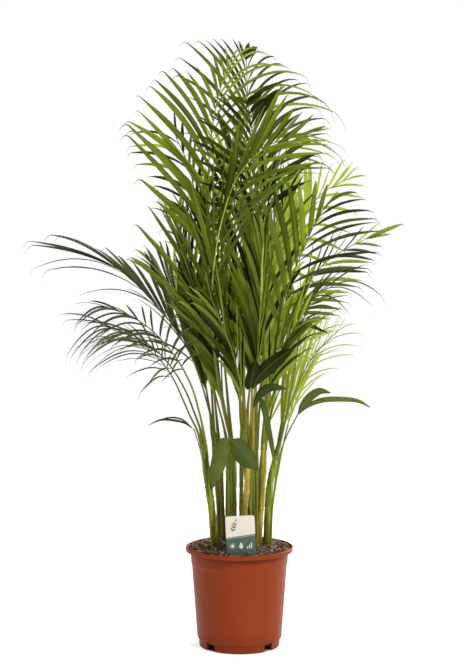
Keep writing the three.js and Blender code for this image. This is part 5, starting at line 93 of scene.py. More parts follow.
     "l": [[0.5000,41.5,105.3,766.7,0.22,0.48,12,-0.19],[0.5338,42.6,143.5,834.2,0.29,0.42,12.5,-0.11],[0.5676,54.1,135.5,878.6,0.26,0.55,13.6,-0.13],[0.6014,59.6,137.8,917,0.21,0.49,12.3,-0.28],[0.6352,79.9,145.6,942.1,0.27,0.58,14.5,-0.36],[0.6690,85.5,137.8,959.5,0.31,0.6,13.1,-0.25],[0.7028,100.7,139.4,979.8,0.24,0.57,12.5,-0.19],[0.7366,118.9,139,979.1,0.2,0.41,10.8,-0.17],[0.7704,135.8,126.3,978.7,0.23,0.55,9.9,-0.31],[0.8042,144.6,105.2,983.7,0.2,0.42,9.8,-0.3],[0.8380,172.9,145,980.9,0.27,0.52,9.4,-0.16],[0.8718,192.3,153.3,977.2,0.25,0.6,10.9,-0.53],[0.9056,216.5,147.3,984.2,0.3,0.44,9.8,-0.31],[0.9394,233.3,112.1,977.7,0.18,0.5,8.7,-0.39],[0.9732,244.8,149.2,968.4,0.31,0.58,9.8,-0.2],[0.5203,134.6,16.8,678.6,0.2,0.49,7.5,0.21],[0.5784,164.8,54.5,722.3,0.24,0.55,7.1,0.22],[0.6365,185.4,28.4,766.5,0.27,0.49,6.5,0.29],[0.6946,211.1,34.5,797.2,0.21,0.57,7,0.26],[0.7527,226.9,79,832.9,0.21,0.43,6.1,0.55],[0.8107,235.8,81.4,875.1,0.26,0.49,6.7,0.22],[0.8688,251.3,77.4,904.2,0.22,0.52,6.2,0.44],[0.9269,258.4,85.3,927.8,0.27,0.51,5.3,0.12],[0.9850,259.2,77,949,0.32,0.43,4.6,0.59]]},
    {"name": "frond_11", "tone": "d", "r": [2.6, 0.9], "p": [53.06,-19.69,425.12,56.47,-23.46,479.69,61.31,-28.57,534.07,67.65,-33.87,588.28,75.41,-38.76,642.34,86.1,-43.81,695.86,102.33,-49.27,747.93,123.49,-54.24,798.25,145.42,-58.58,848.29,173.14,-60,895.31],
     "l": [[0.4600,13.1,-115.8,784.2,0.17,0.28,14.3,-0.35],[0.5229,21.5,-116.5,848.6,0.24,0.41,13.9,-0.41],[0.5857,41.3,-135.8,900.8,0.22,0.37,14.4,-0.14],[0.6486,63.1,-121.1,925.5,0.16,0.39,13.7,-0.15],[0.7115,92.9,-122.4,931.6,0.16,0.37,14.7,-0.19],[0.7744,114.2,-102.8,927,0.25,0.4,12.3,-0.42],[0.8372,148.4,-78.5,934.8,0.14,0.3,11.1,-0.31],[0.9001,170.1,-83.9,929.2,0.17,0.32,9.5,-0.53],[0.9630,198,-77.4,922.4,0.26,0.29,9.5,-0.55],[0.4778,198.9,1.7,668.3,0.23,0.41,10.2,0.54],[0.5285,216.1,-8,695.5,0.23,0.37,9.4,0.48],[0.5792,239,-20.1,725.8,0.32,0.38,9.5,0.31],[0.6299,256.8,6.5,762.9,0.21,0.41,9.8,0.32],[0.6807,272.3,-44,797.1,0.21,0.31,9.1,0.29],[0.7314,281.4,-41.2,838.4,0.34,0.34,9.4,0.59],[0.7821,269.5,-40.7,855.4,0.32,0.36,9.2,0.47],[0.8328,267.8,-27.9,862.5,0.3,0.4,9,0.3],[0.8836,257.5,-57.9,878,0.39,0.36,8,0.41],[0.9343,247.6,-44.2,900.5,0.37,0.32,7.6,0.42],[0.9850,227.3,-57.4,914.2,0.55,0.28,7.3,0.22]]},
    {"name": "frond_12", "tone": "m", "r": [2.6, 0.9], "p": [78.17,-6.07,404.67,87.4,0.77,458.18,95.07,9.45,512.11,101.61,17.74,566.25,107.94,25.76,620.45,117.53,32.57,674.32,136.42,38.85,725.62,169.6,43.06,769.09,214.61,44.21,800.79,263.99,42,825.21],
     "l": [[0.4800,79.2,92.2,698.2,0.08,0.45,8.2,-0.16],[0.5288,101.2,84.2,754.1,0.1,0.4,7.5,-0.11],[0.5776,121.9,107.5,790.6,0.13,0.46,8.8,-0.43],[0.6264,151.1,77.6,812.9,0.11,0.37,7.9,-0.31],[0.6752,173.7,72.9,822.7,0.09,0.43,7.2,-0.23],[0.7240,195.7,82.5,840.2,0.11,0.38,8,-0.25],[0.7728,211.3,79.9,843.4,0.12,0.42,7.3,-0.49],[0.8215,227,88.2,835.4,0.13,0.42,5.8,-0.58],[0.8703,252.9,62.8,846.6,0.1,0.38,5.5,-0.37],[0.9191,281.7,52.6,852.4,0.14,0.44,5.9,-0.3],[0.9679,305.4,63.6,843,0.13,0.47,5.7,-0.27],[0.4989,173.9,-31.7,636.8,0.07,0.4,8.7,0.21],[0.5529,202.7,-21.2,683.4,0.07,0.43,7.3,0.57],[0.6069,216.8,-17.6,716,0.12,0.44,7.2,0.42],[0.6609,244.1,0.6,739.2,0.12,0.53,8.3,0.26],[0.7149,253.3,-7.1,756.3,0.08,0.47,8.4,0.52],[0.7690,264.3,-9.4,775.1,0.09,0.48,7.7,0.28],[0.8230,269.2,16.9,779.3,0.12,0.52,6.8,0.36],[0.8770,280.7,18.1,790.5,0.1,0.51,6.2,0.15],[0.9310,287.3,31.3,805.8,0.12,0.46,6.1,0.14],[0.9850,307.4,43.7,831,0.1,0.48,6,0.33],[0.9800,328.1,37.6,851.5,0.09,0.45,9,0.3]]},
    {"name": "frond_13", "tone": "g", "r": [2.6, 0.9], "p": [78.08,-12.05,404.29,87.51,-19.67,442.43,95.72,-28.57,480.71,102.62,-35.93,519.59,108.43,-43.36,558.64,113.9,-50.35,597.82,119.79,-55.83,637.17,128.68,-60.91,675.99,144.66,-67.26,712.07,178.89,-74,729.3],
     "l": [[0.5000,85.7,-53.1,694.8,0.32,0.29,5.4,-0.5],[0.5764,114.4,-64.7,730.6,0.39,0.35,5,-0.19],[0.6528,133.2,-60,747.6,0.52,0.35,4.4,-0.5],[0.7291,169.9,-77,758.6,0.4,0.35,4.3,-0.34],[0.8055,196.2,-82.4,772.4,0.32,0.3,4.7,-0.39],[0.8819,218.5,-102.8,773.5,0.3,0.24,4.3,-0.34],[0.9583,246.3,-98.9,774,0.42,0.31,4.1,-0.59],[0.5231,148.9,-74.4,610.3,0.4,0.3,4.1,0.17],[0.5891,164.9,-100.8,639.8,0.53,0.35,4.8,0.35],[0.6551,177.5,-75.1,666.9,0.75,0.26,4.9,0.41],[0.7211,182.2,-87,677.9,0.62,0.3,4.4,0.49],[0.7870,197.8,-103.1,681.9,0.64,0.31,4.4,0.29],[0.8530,217.5,-71.7,674,1.1,0.25,4.6,0.33],[0.9190,261.2,-70.5,690.8,0.86,0.29,4.7,0.5],[0.9850,275.2,-106.8,713.2,0.85,0.27,3.7,0.26]]},
    {"name": "frond_14", "tone": "d", "r": [2.6, 0.9], "p": [33.12,9.61,449.86,35.35,14.28,482.33,39.93,23.75,513.69,47.17,30.86,545.22,55.21,38.51,576.4,66.1,47.62,606.31,81.36,56.91,634.13,101.94,65.86,658.42,127.12,74.28,678.08,157.21,82,689.4],
     "l": [[0.2600,93,15.2,619.1,0.28,0.4,12.2,-0.55],[0.3468,110,13.7,653.7,0.25,0.37,12.9,-0.43],[0.4337,127.3,16.5,672.7,0.36,0.49,12.4,-0.38],[0.5205,142.9,59.4,710.1,0.23,0.52,11.9,-0.26],[0.6073,179.1,46.5,728.3,0.22,0.41,13.2,-0.23],[0.6941,179.4,45.2,726.7,0.26,0.43,11.2,-0.43],[0.7810,199.9,55.9,730.5,0.29,0.49,10.6,-0.28],[0.8678,213.3,63.5,708.5,0.35,0.52,10.7,-0.36],[0.9546,221.3,76.3,705.4,0.29,0.45,9.2,-0.37],[0.2945,14.2,55.1,621.8,0.28,0.44,11.6,0.39],[0.3932,35.9,76.4,681.6,0.35,0.43,12.7,0.52],[0.4918,40.2,81.7,701.6,0.39,0.53,10.8,0.41],[0.5904,74.2,108.1,745.6,0.27,0.52,10.5,0.51],[0.6891,114.2,122.6,755.9,0.24,0.36,10.4,0.5],[0.7877,159.6,120.3,769.7,0.39,0.46,11.2,0.54],[0.8864,180.9,113.3,740.7,0.3,0.43,9.8,0.11],[0.9850,208.6,111.9,714.8,0.37,0.53,8.2,0.26]]},
    {"name": "frond_15", "tone": "l", "r": [2.6, 0.9], "p": [76.24,13.97,398.18,84.51,16.64,427.44,93.71,24.16,455.94,103.06,29.77,484.86,113.9,36.25,513.07,126.26,43.39,540.48,140.85,50.82,566.69,158.4,58.25,590.99,179.27,65.36,612.64,201.97,72,632.53],
     "l": [[0.1200,94,29.4,626.2,0.1,0.89,6,-0.49],[0.1900,103.9,32.7,653.6,0.12,0.79,5.4,-0.54],[0.2601,115.6,50.2,660.3,0.13,1.04,4.9,-0.45],[0.3301,133.5,54.5,673.5,0.15,1.03,5.2,-0.51],[0.4002,144.3,44.6,663.5,0.13,0.84,4.2,-0.35],[0.4702,157.8,52.1,654,0.15,0.77,4.9,-0.41],[0.5402,166.1,67.4,668.8,0.15,0.97,4,-0.22],[0.6103,174.9,78.6,674.2,0.11,0.94,4.4,-0.21],[0.6803,184.6,77.7,667.1,0.12,1.08,4.3,-0.13],[0.7504,186.2,99.7,658.4,0.1,1.02,3.7,-0.31],[0.8204,204.9,87.7,660.8,0.13,1.06,3.3,-0.13],[0.8904,207.1,87.5,657.7,0.11,0.96,3.5,-0.44],[0.9605,219.4,86.6,660.1,0.13,0.83,2.9,-0.27],[0.1677,169.4,47.2,544.4,0.3,0.97,4.6,0.2],[0.3039,181.4,23.1,552.9,0.41,0.9,4.6,0.31],[0.4401,201.9,63.5,556.5,0.42,0.98,4.5,0.16],[0.5763,229.3,48.4,586,0.28,0.95,4.1,0.27],[0.7126,244,67.7,601.7,0.37,1.01,3.6,0.36],[0.8488,247.7,72,627.1,0.34,1.01,3.7,0.39],[0.9850,237.5,75.6,647.5,0.41,0.87,3.3,0.5]]},
    {"name": "frond_16", "tone": "l", "r": [2.6, 0.9], "p": [57.2,57.17,424.03,61.47,61.08,447.49,67.38,69.67,469.46,74.86,78.17,490.98,83.83,86.92,511.81,95.88,96.63,530.54,111.05,106.29,546.88,129.18,115.1,560.42,150.03,122.19,570.62,172.31,128,578.43],
     "l": [[0.1600,90.7,55.5,539.3,0.28,0.43,3.8,-0.45],[0.2588,108.1,74.5,573.4,0.22,0.51,4,-0.3],[0.3576,123.1,69.8,582.8,0.29,0.48,3.9,-0.43],[0.4564,154.7,102.1,610.7,0.36,0.45,4.7,-0.52],[0.5552,172.6,102.5,609,0.35,0.57,4,-0.34],[0.6540,193.5,110.7,612.8,0.37,0.54,3.9,-0.15],[0.7528,218.5,113,603.3,0.28,0.46,3.8,-0.53],[0.8516,216.7,121.1,588,0.31,0.59,3.5,-0.42],[0.9504,220.1,128.6,588.3,0.28,0.57,3.7,-0.5],[0.1946,60.1,121.7,531.5,0.31,0.43,3.9,0.48],[0.2934,71.2,141.8,564.1,0.27,0.56,3.9,0.36],[0.3922,76.7,151.3,589.2,0.33,0.41,4.5,0.47],[0.4910,107.6,161.2,600.9,0.24,0.46,4.4,0.59],[0.5898,151.4,175.6,617.3,0.38,0.46,4.1,0.33],[0.6886,182,181.4,619.9,0.39,0.56,4.2,0.45],[0.7874,200.7,168.6,605.6,0.37,0.55,4.3,0.57],[0.8862,210.5,163.4,596.2,0.29,0.42,3.2,0.46],[0.9850,220,154.5,591.6,0.26,0.45,3.4,0.23]]},
    {"name": "frond_17", "tone": "d", "r": [2.6, 0.9], "p": [19.21,-47.21,414.56,17.23,-59.48,451.26,11.34,-79.01,485.75,5.93,-96.53,521.39,-0.79,-115.83,555.85,-9.09,-137.24,588.7,-18.67,-159.58,620.57,-29.53,-182.77,651.4,-41.45,-206.56,681.38,-52.14,-230,712.08],
     "l": [[0.3000,-48.1,-154.6,598.7,0.35,0.35,10.7,-0.21],[0.3932,-64.6,-189.1,644.1,0.33,0.41,11.1,-0.18],[0.4864,-77.3,-219,656.5,0.3,0.3,11.7,-0.24],[0.5796,-80.7,-237,697.3,0.23,0.38,11.8,-0.39],[0.6728,-88.9,-258.2,709.3,0.34,0.33,11.7,-0.34],[0.7660,-103,-266.9,729.7,0.38,0.34,10.9,-0.44],[0.8592,-94.6,-277.3,740.6,0.22,0.29,10.1,-0.56],[0.9524,-86.8,-271.1,739.4,0.38,0.4,7.8,-0.12],[0.3256,9.2,-130.1,645.4,0.27,0.36,13.1,0.48],[0.3989,-1,-142.2,679.1,0.34,0.38,12.8,0.18],[0.4722,-6.6,-156.9,708.6,0.26,0.4,11.5,0.24],[0.5454,-33.5,-176.2,745.1,0.27,0.36,12.8,0.55],[0.6187,-46.8,-209,756.1,0.31,0.39,12.4,0.24],[0.6920,-53.6,-221.3,782.4,0.33,0.34,11.9,0.26],[0.7652,-45.4,-224.9,780.7,0.26,0.38,9.8,0.14],[0.8385,-67.7,-252.5,775.8,0.35,0.42,10.2,0.36],[0.9117,-70.3,-260.4,782.2,0.38,0.28,8.4,0.47],[0.9850,-66.4,-264,774.8,0.22,0.4,7.5,0.3]]},
    {"name": "frond_18", "tone": "m", "r": [2.8, 0.9], "p": [25.03,-45.61,414.16,27.2,-54.98,461.14,28.63,-67.22,507.89,31.78,-78.72,554.76,34.79,-91.06,601.43,37.61,-104.25,647.87,39.85,-118.48,694.04,41.46,-134.56,739.62,42.6,-153.61,784.05,45.76,-176,826.79],
     "l": [[0.2600,-5.8,-121.6,621.4,0.25,0.46,12.2,-0.26],[0.3300,-15.3,-142.8,668.7,0.21,0.57,14,-0.44],[0.4001,15.1,-149.7,704.7,0.16,0.41,12.5,-0.51],[0.4701,13.6,-165.6,745,0.2,0.47,14,-0.53],[0.5402,-5.6,-183,770.3,0.25,0.5,12.3,-0.32],[0.6102,10.2,-178,797.7,0.15,0.44,11.2,-0.55],[0.6803,6.3,-201.9,823.6,0.15,0.58,12.9,-0.16],[0.7503,15.8,-191.3,835.2,0.25,0.56,10.4,-0.24],[0.8204,23.4,-195.1,849.3,0.24,0.43,9.8,-0.5],[0.8904,24.1,-215.2,873.5,0.19,0.4,10.1,-0.1],[0.9605,37.8,-210.8,869.4,0.22,0.45,8.6,-0.46],[0.2871,40.5,-49.2,645.1,0.25,0.4,11.8,0.28],[0.3647,58.3,-72,702.3,0.16,0.42,13.2,0.59],[0.4422,49.8,-80.5,735.3,0.23,0.57,13.7,0.13],[0.5198,56.5,-88.1,770.2,0.15,0.52,13.7,0.11],[0.5973,52.7,-103.1,818.2,0.25,0.52,11.1,0.54],[0.6748,49.8,-109.5,841.8,0.19,0.53,11.1,0.21],[0.7524,53,-146.8,884.7,0.23,0.41,11.9,0.15],[0.8299,50.3,-153.9,881.7,0.15,0.59,10,0.22],[0.9075,56.5,-178.4,886.3,0.22,0.52,10.1,0.13],[0.9850,55.7,-189,901.6,0.24,0.42,8.9,0.19]]},
    {"name": "frond_19", "tone": "d", "r": [2.6, 0.9], "p": [47.81,-22.72,425.09,48.79,-31.78,456.97,51.87,-49.72,486.17,55.61,-67.47,515.41,60.12,-85.47,544.38,66.47,-104.76,572.15,74.59,-125.1,598.67,85.13,-146.59,623.36,98.2,-168.49,646.45,113.84,-190,668.28],
     "l": [[0.3400,117.9,-150.6,596,0.25,0.37,11,-0.25],[0.4278,115.6,-162.2,613.8,0.21,0.34,9.3,-0.46],[0.5155,135.4,-192.1,661.9,0.28,0.36,9.5,-0.55],[0.6033,143.8,-214.4,673.3,0.24,0.42,8.6,-0.33],[0.6910,151.1,-238.4,683.6,0.33,0.44,10.2,-0.16],[0.7788,162.5,-245.4,682.1,0.26,0.34,9.3,-0.33],[0.8665,149.5,-267.3,677.1,0.32,0.37,8.5,-0.58],[0.9543,141.4,-243.3,692.6,0.39,0.42,7,-0.28],[0.3707,48.9,-87.7,636.6,0.21,0.37,9.6,0.45],[0.4585,69.1,-114.9,673.8,0.29,0.34,10.6,0.33],[0.5462,85,-141.5,722.5,0.36,0.43,10.9,0.2],[0.6340,98.1,-176.1,714.4,0.37,0.39,9.1,0.2],[0.7217,118.5,-191.1,730.3,0.27,0.35,9,0.42],[0.8095,137.4,-219.8,752.6,0.28,0.34,8.5,0.19],[0.8972,120.5,-229.6,735.3,0.31,0.36,8.2,0.14],[0.9850,135.8,-228.1,724.2,0.39,0.41,7.1,0.24]]},
    {"name": "frond_20", "tone": "m", "r": [2.6, 0.9], "p": [11.35,76.2,436.54,9.67,82,502,7.84,87.02,567.55,5.2,92.05,633.07,1.15,96.59,698.56,-3.3,99.3,764.12,-7.53,99.96,829.74,-10.78,98.24,895.4,-12.83,93.14,960.93,-13.02,84,1026.05],
     "l": [[0.2400,-53.1,57.8,707.8,0.22,0.71,13.5,-0.16],[0.3120,-58.1,67.8,768.5,0.18,0.71,16.4,-0.17],[0.3840,-60.6,69.6,796.2,0.18,0.6,13,-0.3],[0.4559,-60.2,71,871.4,0.18,0.61,13,-0.16],[0.5279,-66.4,66.9,917.4,0.25,0.55,13,-0.36],[0.5999,-65,95.7,945.1,0.2,0.72,11.7,-0.2],[0.6719,-100.9,85.4,991.9,0.23,0.62,13.5,-0.24],[0.7439,-73.3,101,1025.6,0.18,0.67,11.5,-0.36],[0.8158,-72.3,79.8,1054.4,0.2,0.51,10.8,-0.27],[0.8878,-45,75.7,1074,0.17,0.71,10.3,-0.13],[0.9598,-45.5,70.7,1081.9,0.23,0.62,8.3,-0.37],[0.2652,73.1,114.1,716.8,0.25,0.57,15.9,0.26],[0.3372,78.1,106.8,777.8,0.18,0.49,13.8,0.45],[0.4092,63.8,108.6,831,0.24,0.6,14.2,0.34],[0.4811,37.9,119.4,868.8,0.23,0.72,15.2,0.53],[0.5531,63,106,919.7,0.24,0.57,12.7,0.31],[0.6251,35,154.1,955.7,0.17,0.58,13.4,0.54],[0.6971,39.3,138.7,1017.2,0.23,0.71,13.5,0.43],[0.7691,18,123.6,1038.6,0.21,0.68,12.8,0.58],[0.8410,12.9,71.7,1075.1,0.26,0.72,11.5,0.48],[0.9130,7.8,67.5,1099.7,0.23,0.51,8.8,0.56],[0.9850,8.4,86.3,1102.8,0.2,0.58,9,0.57]]},
    {"name": "frond_21", "tone": "d", "r": [2.6, 0.9], "p": [3.75,27.88,461.41,0.24,23.99,508.54,-5.79,18.5,555.36,-12.54,13.15,602.11,-20.66,8.24,648.68,-30.17,3.37,694.99,-40.49,-2.58,741,-54.51,-10.73,785.65,-76.35,-21.11,826.4,-111.91,-30,855.99],
     "l": [[0.2400,-75.6,-29.1,673.4,0.3,0.56,13,-0.23],[0.3120,-55.8,-55.8,733.1,0.32,0.51,13.6,-0.16],[0.3840,-65.9,-86.7,757.4,0.2,0.58,14.2,-0.6],[0.4559,-70.9,-94.8,796.4,0.29,0.48,13.8,-0.52],[0.5279,-82.2,-59.7,826.2,0.27,0.59,11.7,-0.15],[0.5999,-83,-129.9,869.6,0.24,0.41,14.6,-0.26],[0.6719,-89.6,-64.1,880.5,0.21,0.44,10.9,-0.31],[0.7439,-114.5,-65.7,885.5,0.28,0.56,9.9,-0.44],[0.8158,-120.9,-74.9,888.4,0.25,0.47,9,-0.46],[0.8878,-139.3,-75.8,900.3,0.24,0.6,8.9,-0.17],[0.9598,-169.8,-73.5,883.9,0.31,0.58,9.1,-0.39],[0.2652,10.5,31.5,706.9,0.32,0.53,13.4,0.34],[0.3372,11.6,41.2,752.3,0.18,0.58,14.8,0.53],[0.4092,12.2,36.4,802.9,0.23,0.45,15.9,0.37],[0.4811,-22.3,26.6,830.5,0.3,0.51,13.6,0.16],[0.5531,-22.3,11,850.8,0.2,0.43,12.2,0.26],[0.6251,-31.6,0.6,890.4,0.26,0.4,11.5,0.35],[0.6971,-48.2,-6.3,909.9,0.2,0.43,10.6,0.56],[0.7691,-65.2,-10.4,938,0.22,0.53,11.7,0.34],[0.8410,-99.4,-20.9,941.6,0.25,0.45,9.2,0.34],[0.9130,-140.5,-27,924.3,0.24,0.49,8.7,0.37],[0.9850,-172.6,-22.5,907,0.21,0.55,8.5,0.43]]},
    {"name": "frond_22", "tone": "m", "r": [2.6, 0.9], "p": [15.66,80.39,435.97,18.53,91.93,482.81,23.99,106.32,528.76,30.69,121.94,574.14,39.11,139.61,618.46,49.63,159.67,661.29,61.78,180.73,703.21,76.23,202.58,743.97,94.14,224.72,783.16,117.58,246,819.83],
     "l": [[0.2200,-17,147.1,649.5,0.32,0.38,13.1,-0.32],[0.2939,-17.8,160.4,690.7,0.38,0.48,15.5,-0.13],[0.3678,-8.3,207.1,719.3,0.36,0.49,15.2,-0.52],[0.4417,16.4,197.6,748.5,0.42,0.44,12.8,-0.32],[0.5157,19.2,229.7,782.1,0.34,0.44,14.7,-0.16],[0.5896,35.2,255.8,808.7,0.33,0.53,13.2,-0.37],[0.6635,53,254.6,837.2,0.25,0.43,11.2,-0.56],[0.7374,61.6,279.6,845,0.32,0.47,13.2,-0.2],[0.8113,93.9,286.2,873.1,0.32,0.53,12.3,-0.53],[0.8852,103.4,282.2,857.4,0.25,0.46,10,-0.33],[0.9591,123.6,277.1,870.3,0.44,0.48,10,-0.21],[0.2459,79.1,132.2,652.3,0.39,0.42,13.1,0.59],[0.3198,94.9,126.3,697,0.37,0.43,14.6,0.54],[0.3937,101.7,153.2,722.3,0.39,0.43,14.8,0.51],[0.4676,133.7,165.5,769.8,0.29,0.5,13.7,0.49],[0.5415,138.4,178.2,774.1,0.39,0.48,14.6,0.15],[0.6154,143.6,207.2,814.7,0.45,0.45,14.4,0.33],[0.6893,146.9,211,833.4,0.35,0.47,13.1,0.22],[0.7633,173.7,228.1,865.9,0.32,0.52,13.4,0.32],[0.8372,163,241.8,857.6,0.42,0.48,10,0.29],[0.9111,182.3,254,864.1,0.36,0.54,10.2,0.59],[0.9850,173.6,254.5,865.2,0.27,0.46,8.9,0.21]]},
    {"name": "frond_23", "tone": "m", "r": [2.6, 0.9], "p": [-55.07,65.65,421.88,-60.12,75.95,462.53,-66.7,90.35,501.96,-73.85,105.16,541.13,-82.84,122.13,579.01,-93.94,141.09,615.36,-107.32,160.6,650.64,-123.94,181.17,683.85,-145.18,202.41,713.84,-172.9,222,739.35],
     "l": [[0.2400,-127.2,102.1,637.5,0.38,0.5,14.4,-0.22],[0.3197,-132.2,118.9,665.9,0.41,0.45,13,-0.49],[0.3994,-150.9,117.6,704.5,0.31,0.44,12,-0.12],[0.4790,-176.6,169,731.3,0.45,0.43,13.3,-0.59],[0.5587,-189.8,164,758.5,0.27,0.46,12.5,-0.23],[0.6384,-220.8,182.3,777.5,0.44,0.49,11.2,-0.52],[0.7181,-203.4,203.1,783.9,0.27,0.46,12.3,-0.24],[0.7978,-219.1,223.4,796.1,0.39,0.39,10.7,-0.54],[0.8774,-223,235.7,783.9,0.41,0.52,8.8,-0.28],[0.9571,-242.4,232.6,775.5,0.31,0.46,9.1,-0.44],[0.2652,-29.6,154.7,633.2,0.33,0.49,13.1,0.22],[0.3372,-53.2,170.1,673.2,0.43,0.5,12.1,0.33],[0.4092,-43.6,194.4,685.6,0.32,0.47,12.4,0.1],[0.4811,-81.3,213.7,726,0.29,0.4,12,0.2],[0.5531,-96.4,227.4,767.9,0.43,0.48,12,0.24],[0.6251,-90.6,256.4,785.2,0.36,0.41,11.8,0.12],[0.6971,-112.2,259.5,784.8,0.37,0.39,12.5,0.33],[0.7691,-140.2,282.6,808.4,0.27,0.49,12,0.26],[0.8410,-171.9,288.4,813,0.34,0.41,11.2,0.19],[0.9130,-204.4,283.9,803.7,0.3,0.37,10.3,0.2],[0.9850,-205.8,276.3,790.1,0.44,0.54,8.7,0.5]]},
    {"name": "frond_24", "tone": "d", "r": [2.6, 0.9], "p": [-52.13,60.55,422.67,-54.89,69.39,477.06,-58.36,80.21,531.19,-62.14,90.79,585.34,-65,102.37,639.35,-67.18,114.05,693.36,-68.8,125.17,747.51,-68.86,135.73,801.8,-66.62,145.17,856.24,-60.95,152,910.82],
     "l": [[0.2200,-75.8,45.4,661.6,0.28,0.5,14.6,-0.52],[0.2939,-67.4,44.7,709.6,0.31,0.62,12.1,-0.39],[0.3678,-67.2,57.7,743.6,0.2,0.52,12.8,-0.15],[0.4417,-66.1,63.8,773,0.28,0.48,11.9,-0.12],[0.5157,-65,86.5,860.8,0.18,0.45,12.6,-0.33],[0.5896,-67.1,87.4,858.5,0.22,0.5,12.6,-0.34],[0.6635,-55,90.8,919.8,0.18,0.61,12.8,-0.48],[0.7374,-109.8,121.9,936.4,0.2,0.61,10.6,-0.54],[0.8113,-92.7,104.5,946.9,0.2,0.5,9.9,-0.38],[0.8852,-82.2,115.1,966,0.25,0.66,9.2,-0.45],[0.9591,-70.1,139.5,967.9,0.24,0.59,9.8,-0.35],[0.2459,-31.7,165.8,662.1,0.23,0.59,13.5,0.38],[0.3198,-26.9,172.2,689.2,0.23,0.64,12.2,0.34],[0.3937,-27.2,189.8,714.4,0.3,0.63,12.1,0.55],[0.4676,-16,209.7,782.4,0.22,0.61,14.8,0.56],[0.5415,-14.9,208.4,813.5,0.32,0.48,13.9,0.28],[0.6154,-33.9,229.7,858.7,0.24,0.63,12.6,0.58],[0.6893,-30.1,221.3,905.4,0.19,0.6,12.9,0.18],[0.7633,-61.4,235.2,924.9,0.21,0.51,11.8,0.14],[0.8372,-61.7,226.7,941,0.32,0.62,11,0.48],[0.9111,-56.6,202.6,964.1,0.19,0.54,9.8,0.46],[0.9850,-55.3,187.7,975.7,0.21,0.54,9,0.19]]},
    {"name": "frond_25", "tone": "l", "r": [2.6, 0.9], "p": [51.44,55.72,424.9,53.95,62.39,478.86,56.15,70.57,532.67,58.81,79.46,586.35,61.21,89.85,639.77,64.16,101.3,692.94,68.12,113.84,745.8,73.01,125.41,798.81,79.82,135.69,851.86,90.88,144,904.54],
     "l": [[0.2200,23.1,145.6,620.3,0.32,0.45,15.4,-0.31],[0.2939,29.2,145.7,681.7,0.21,0.58,12.9,-0.24],[0.3678,30.2,157.7,721.9,0.23,0.57,14.7,-0.54],[0.4417,11.5,190.8,751.3,0.25,0.49,14.3,-0.25],[0.5157,24.6,152.3,841.1,0.27,0.64,16.6,-0.12],[0.5896,46.4,192.5,836.5,0.28,0.53,14.4,-0.5],[0.6635,44.8,193,877.5,0.23,0.62,12.6,-0.29],[0.7374,43.1,204,894.7,0.22,0.56,13.2,-0.5],[0.8113,57.3,203.2,916.1,0.24,0.59,11.2,-0.47],[0.8852,68.3,179.6,943.6,0.25,0.64,11.1,-0.24],[0.9591,88.3,176.4,964,0.23,0.56,9.7,-0.47],[0.2436,54.9,70.6,670.6,0.25,0.53,14.1,0.2],[0.3110,72.9,28.8,703.8,0.3,0.54,15.2,0.58],[0.3784,77.1,46.6,745.6,0.26,0.54,14.9,0.19],[0.4458,68.7,43.2,790.1,0.32,0.47,14.6,0.38],[0.5132,63.5,69,816.1,0.23,0.53,14.8,0.6],[0.5806,91,128.1,876.4,0.25,0.49,13.3,0.3],[0.6480,71.8,127.1,895.3,0.32,0.65,14.6,0.12],[0.7154,95.7,87.2,900.7,0.21,0.55,12.6,0.28],[0.7828,80.6,98.4,963,0.18,0.48,11.9,0.43],[0.8502,105.3,119.5,961.2,0.25,0.51,13.1,0.24],[0.9176,113.4,150.5,974.1,0.31,0.57,12.4,0.52],[0.9850,107.2,131.2,976.2,0.25,0.45,9.9,0.39]]},
    {"name": "frond_26", "tone": "m", "r": [2.6, 0.9], "p": [52.91,61.45,423.99,57.14,69.97,452.74,63.67,84.68,478.99,71.63,100.44,504.22,80.7,117.02,528.53,91.69,134.81,551.13,104.84,153.67,571.6,120.63,173.02,589.58,140.33,192.78,602.26,163.78,212,607.6],
     "l": [[0.2200,42.1,170.7,554.1,0.4,0.47,11.5,-0.35],[0.3116,57.9,205.5,584.3,0.35,0.37,10.6,-0.49],[0.4032,64.5,220.9,622.7,0.39,0.45,12.5,-0.14],[0.4949,88.7,223.3,634.7,0.44,0.4,11,-0.49],[0.5865,122.1,255.5,644.5,0.31,0.45,11.8,-0.37],[0.6781,128.6,269.7,647.5,0.49,0.36,11,-0.45],[0.7697,156,276.2,652,0.33,0.34,10,-0.18],[0.8613,184.9,283.1,644.3,0.45,0.35,8.9,-0.5],[0.9529,208.7,268.8,617.6,0.49,0.45,8.5,-0.12],[0.2564,98.7,67.7,585.6,0.28,0.39,11.7,0.3],[0.3605,121.6,136.2,615.1,0.51,0.33,11.8,0.23],[0.4646,159.6,187.8,652.2,0.36,0.33,11.7,0.27],[0.5687,175.7,178.7,673.1,0.49,0.4,10.2,0.12],[0.6728,197.6,200.6,668.4,0.36,0.37,11.6,0.49],[0.7768,218.2,217.7,672.9,0.45,0.35,10.1,0.16],[0.8809,236.5,247.3,634,0.46,0.46,8.7,0.37],[0.9850,228.5,242.8,623.3,0.3,0.43,8.7,0.41]]},
    {"name": "frond_27", "tone": "d", "r": [2.6, 0.9], "p": [9.82,81.87,435.5,6.14,91.84,464.28,-0.41,108.31,490.11,-7.71,124.88,515.67,-15.73,141.79,540.79,-25.68,160.22,564.06,-37.91,180.14,584.9,-53.28,201.06,602.36,-72.9,222.23,614.18,-96.84,242,618.26],
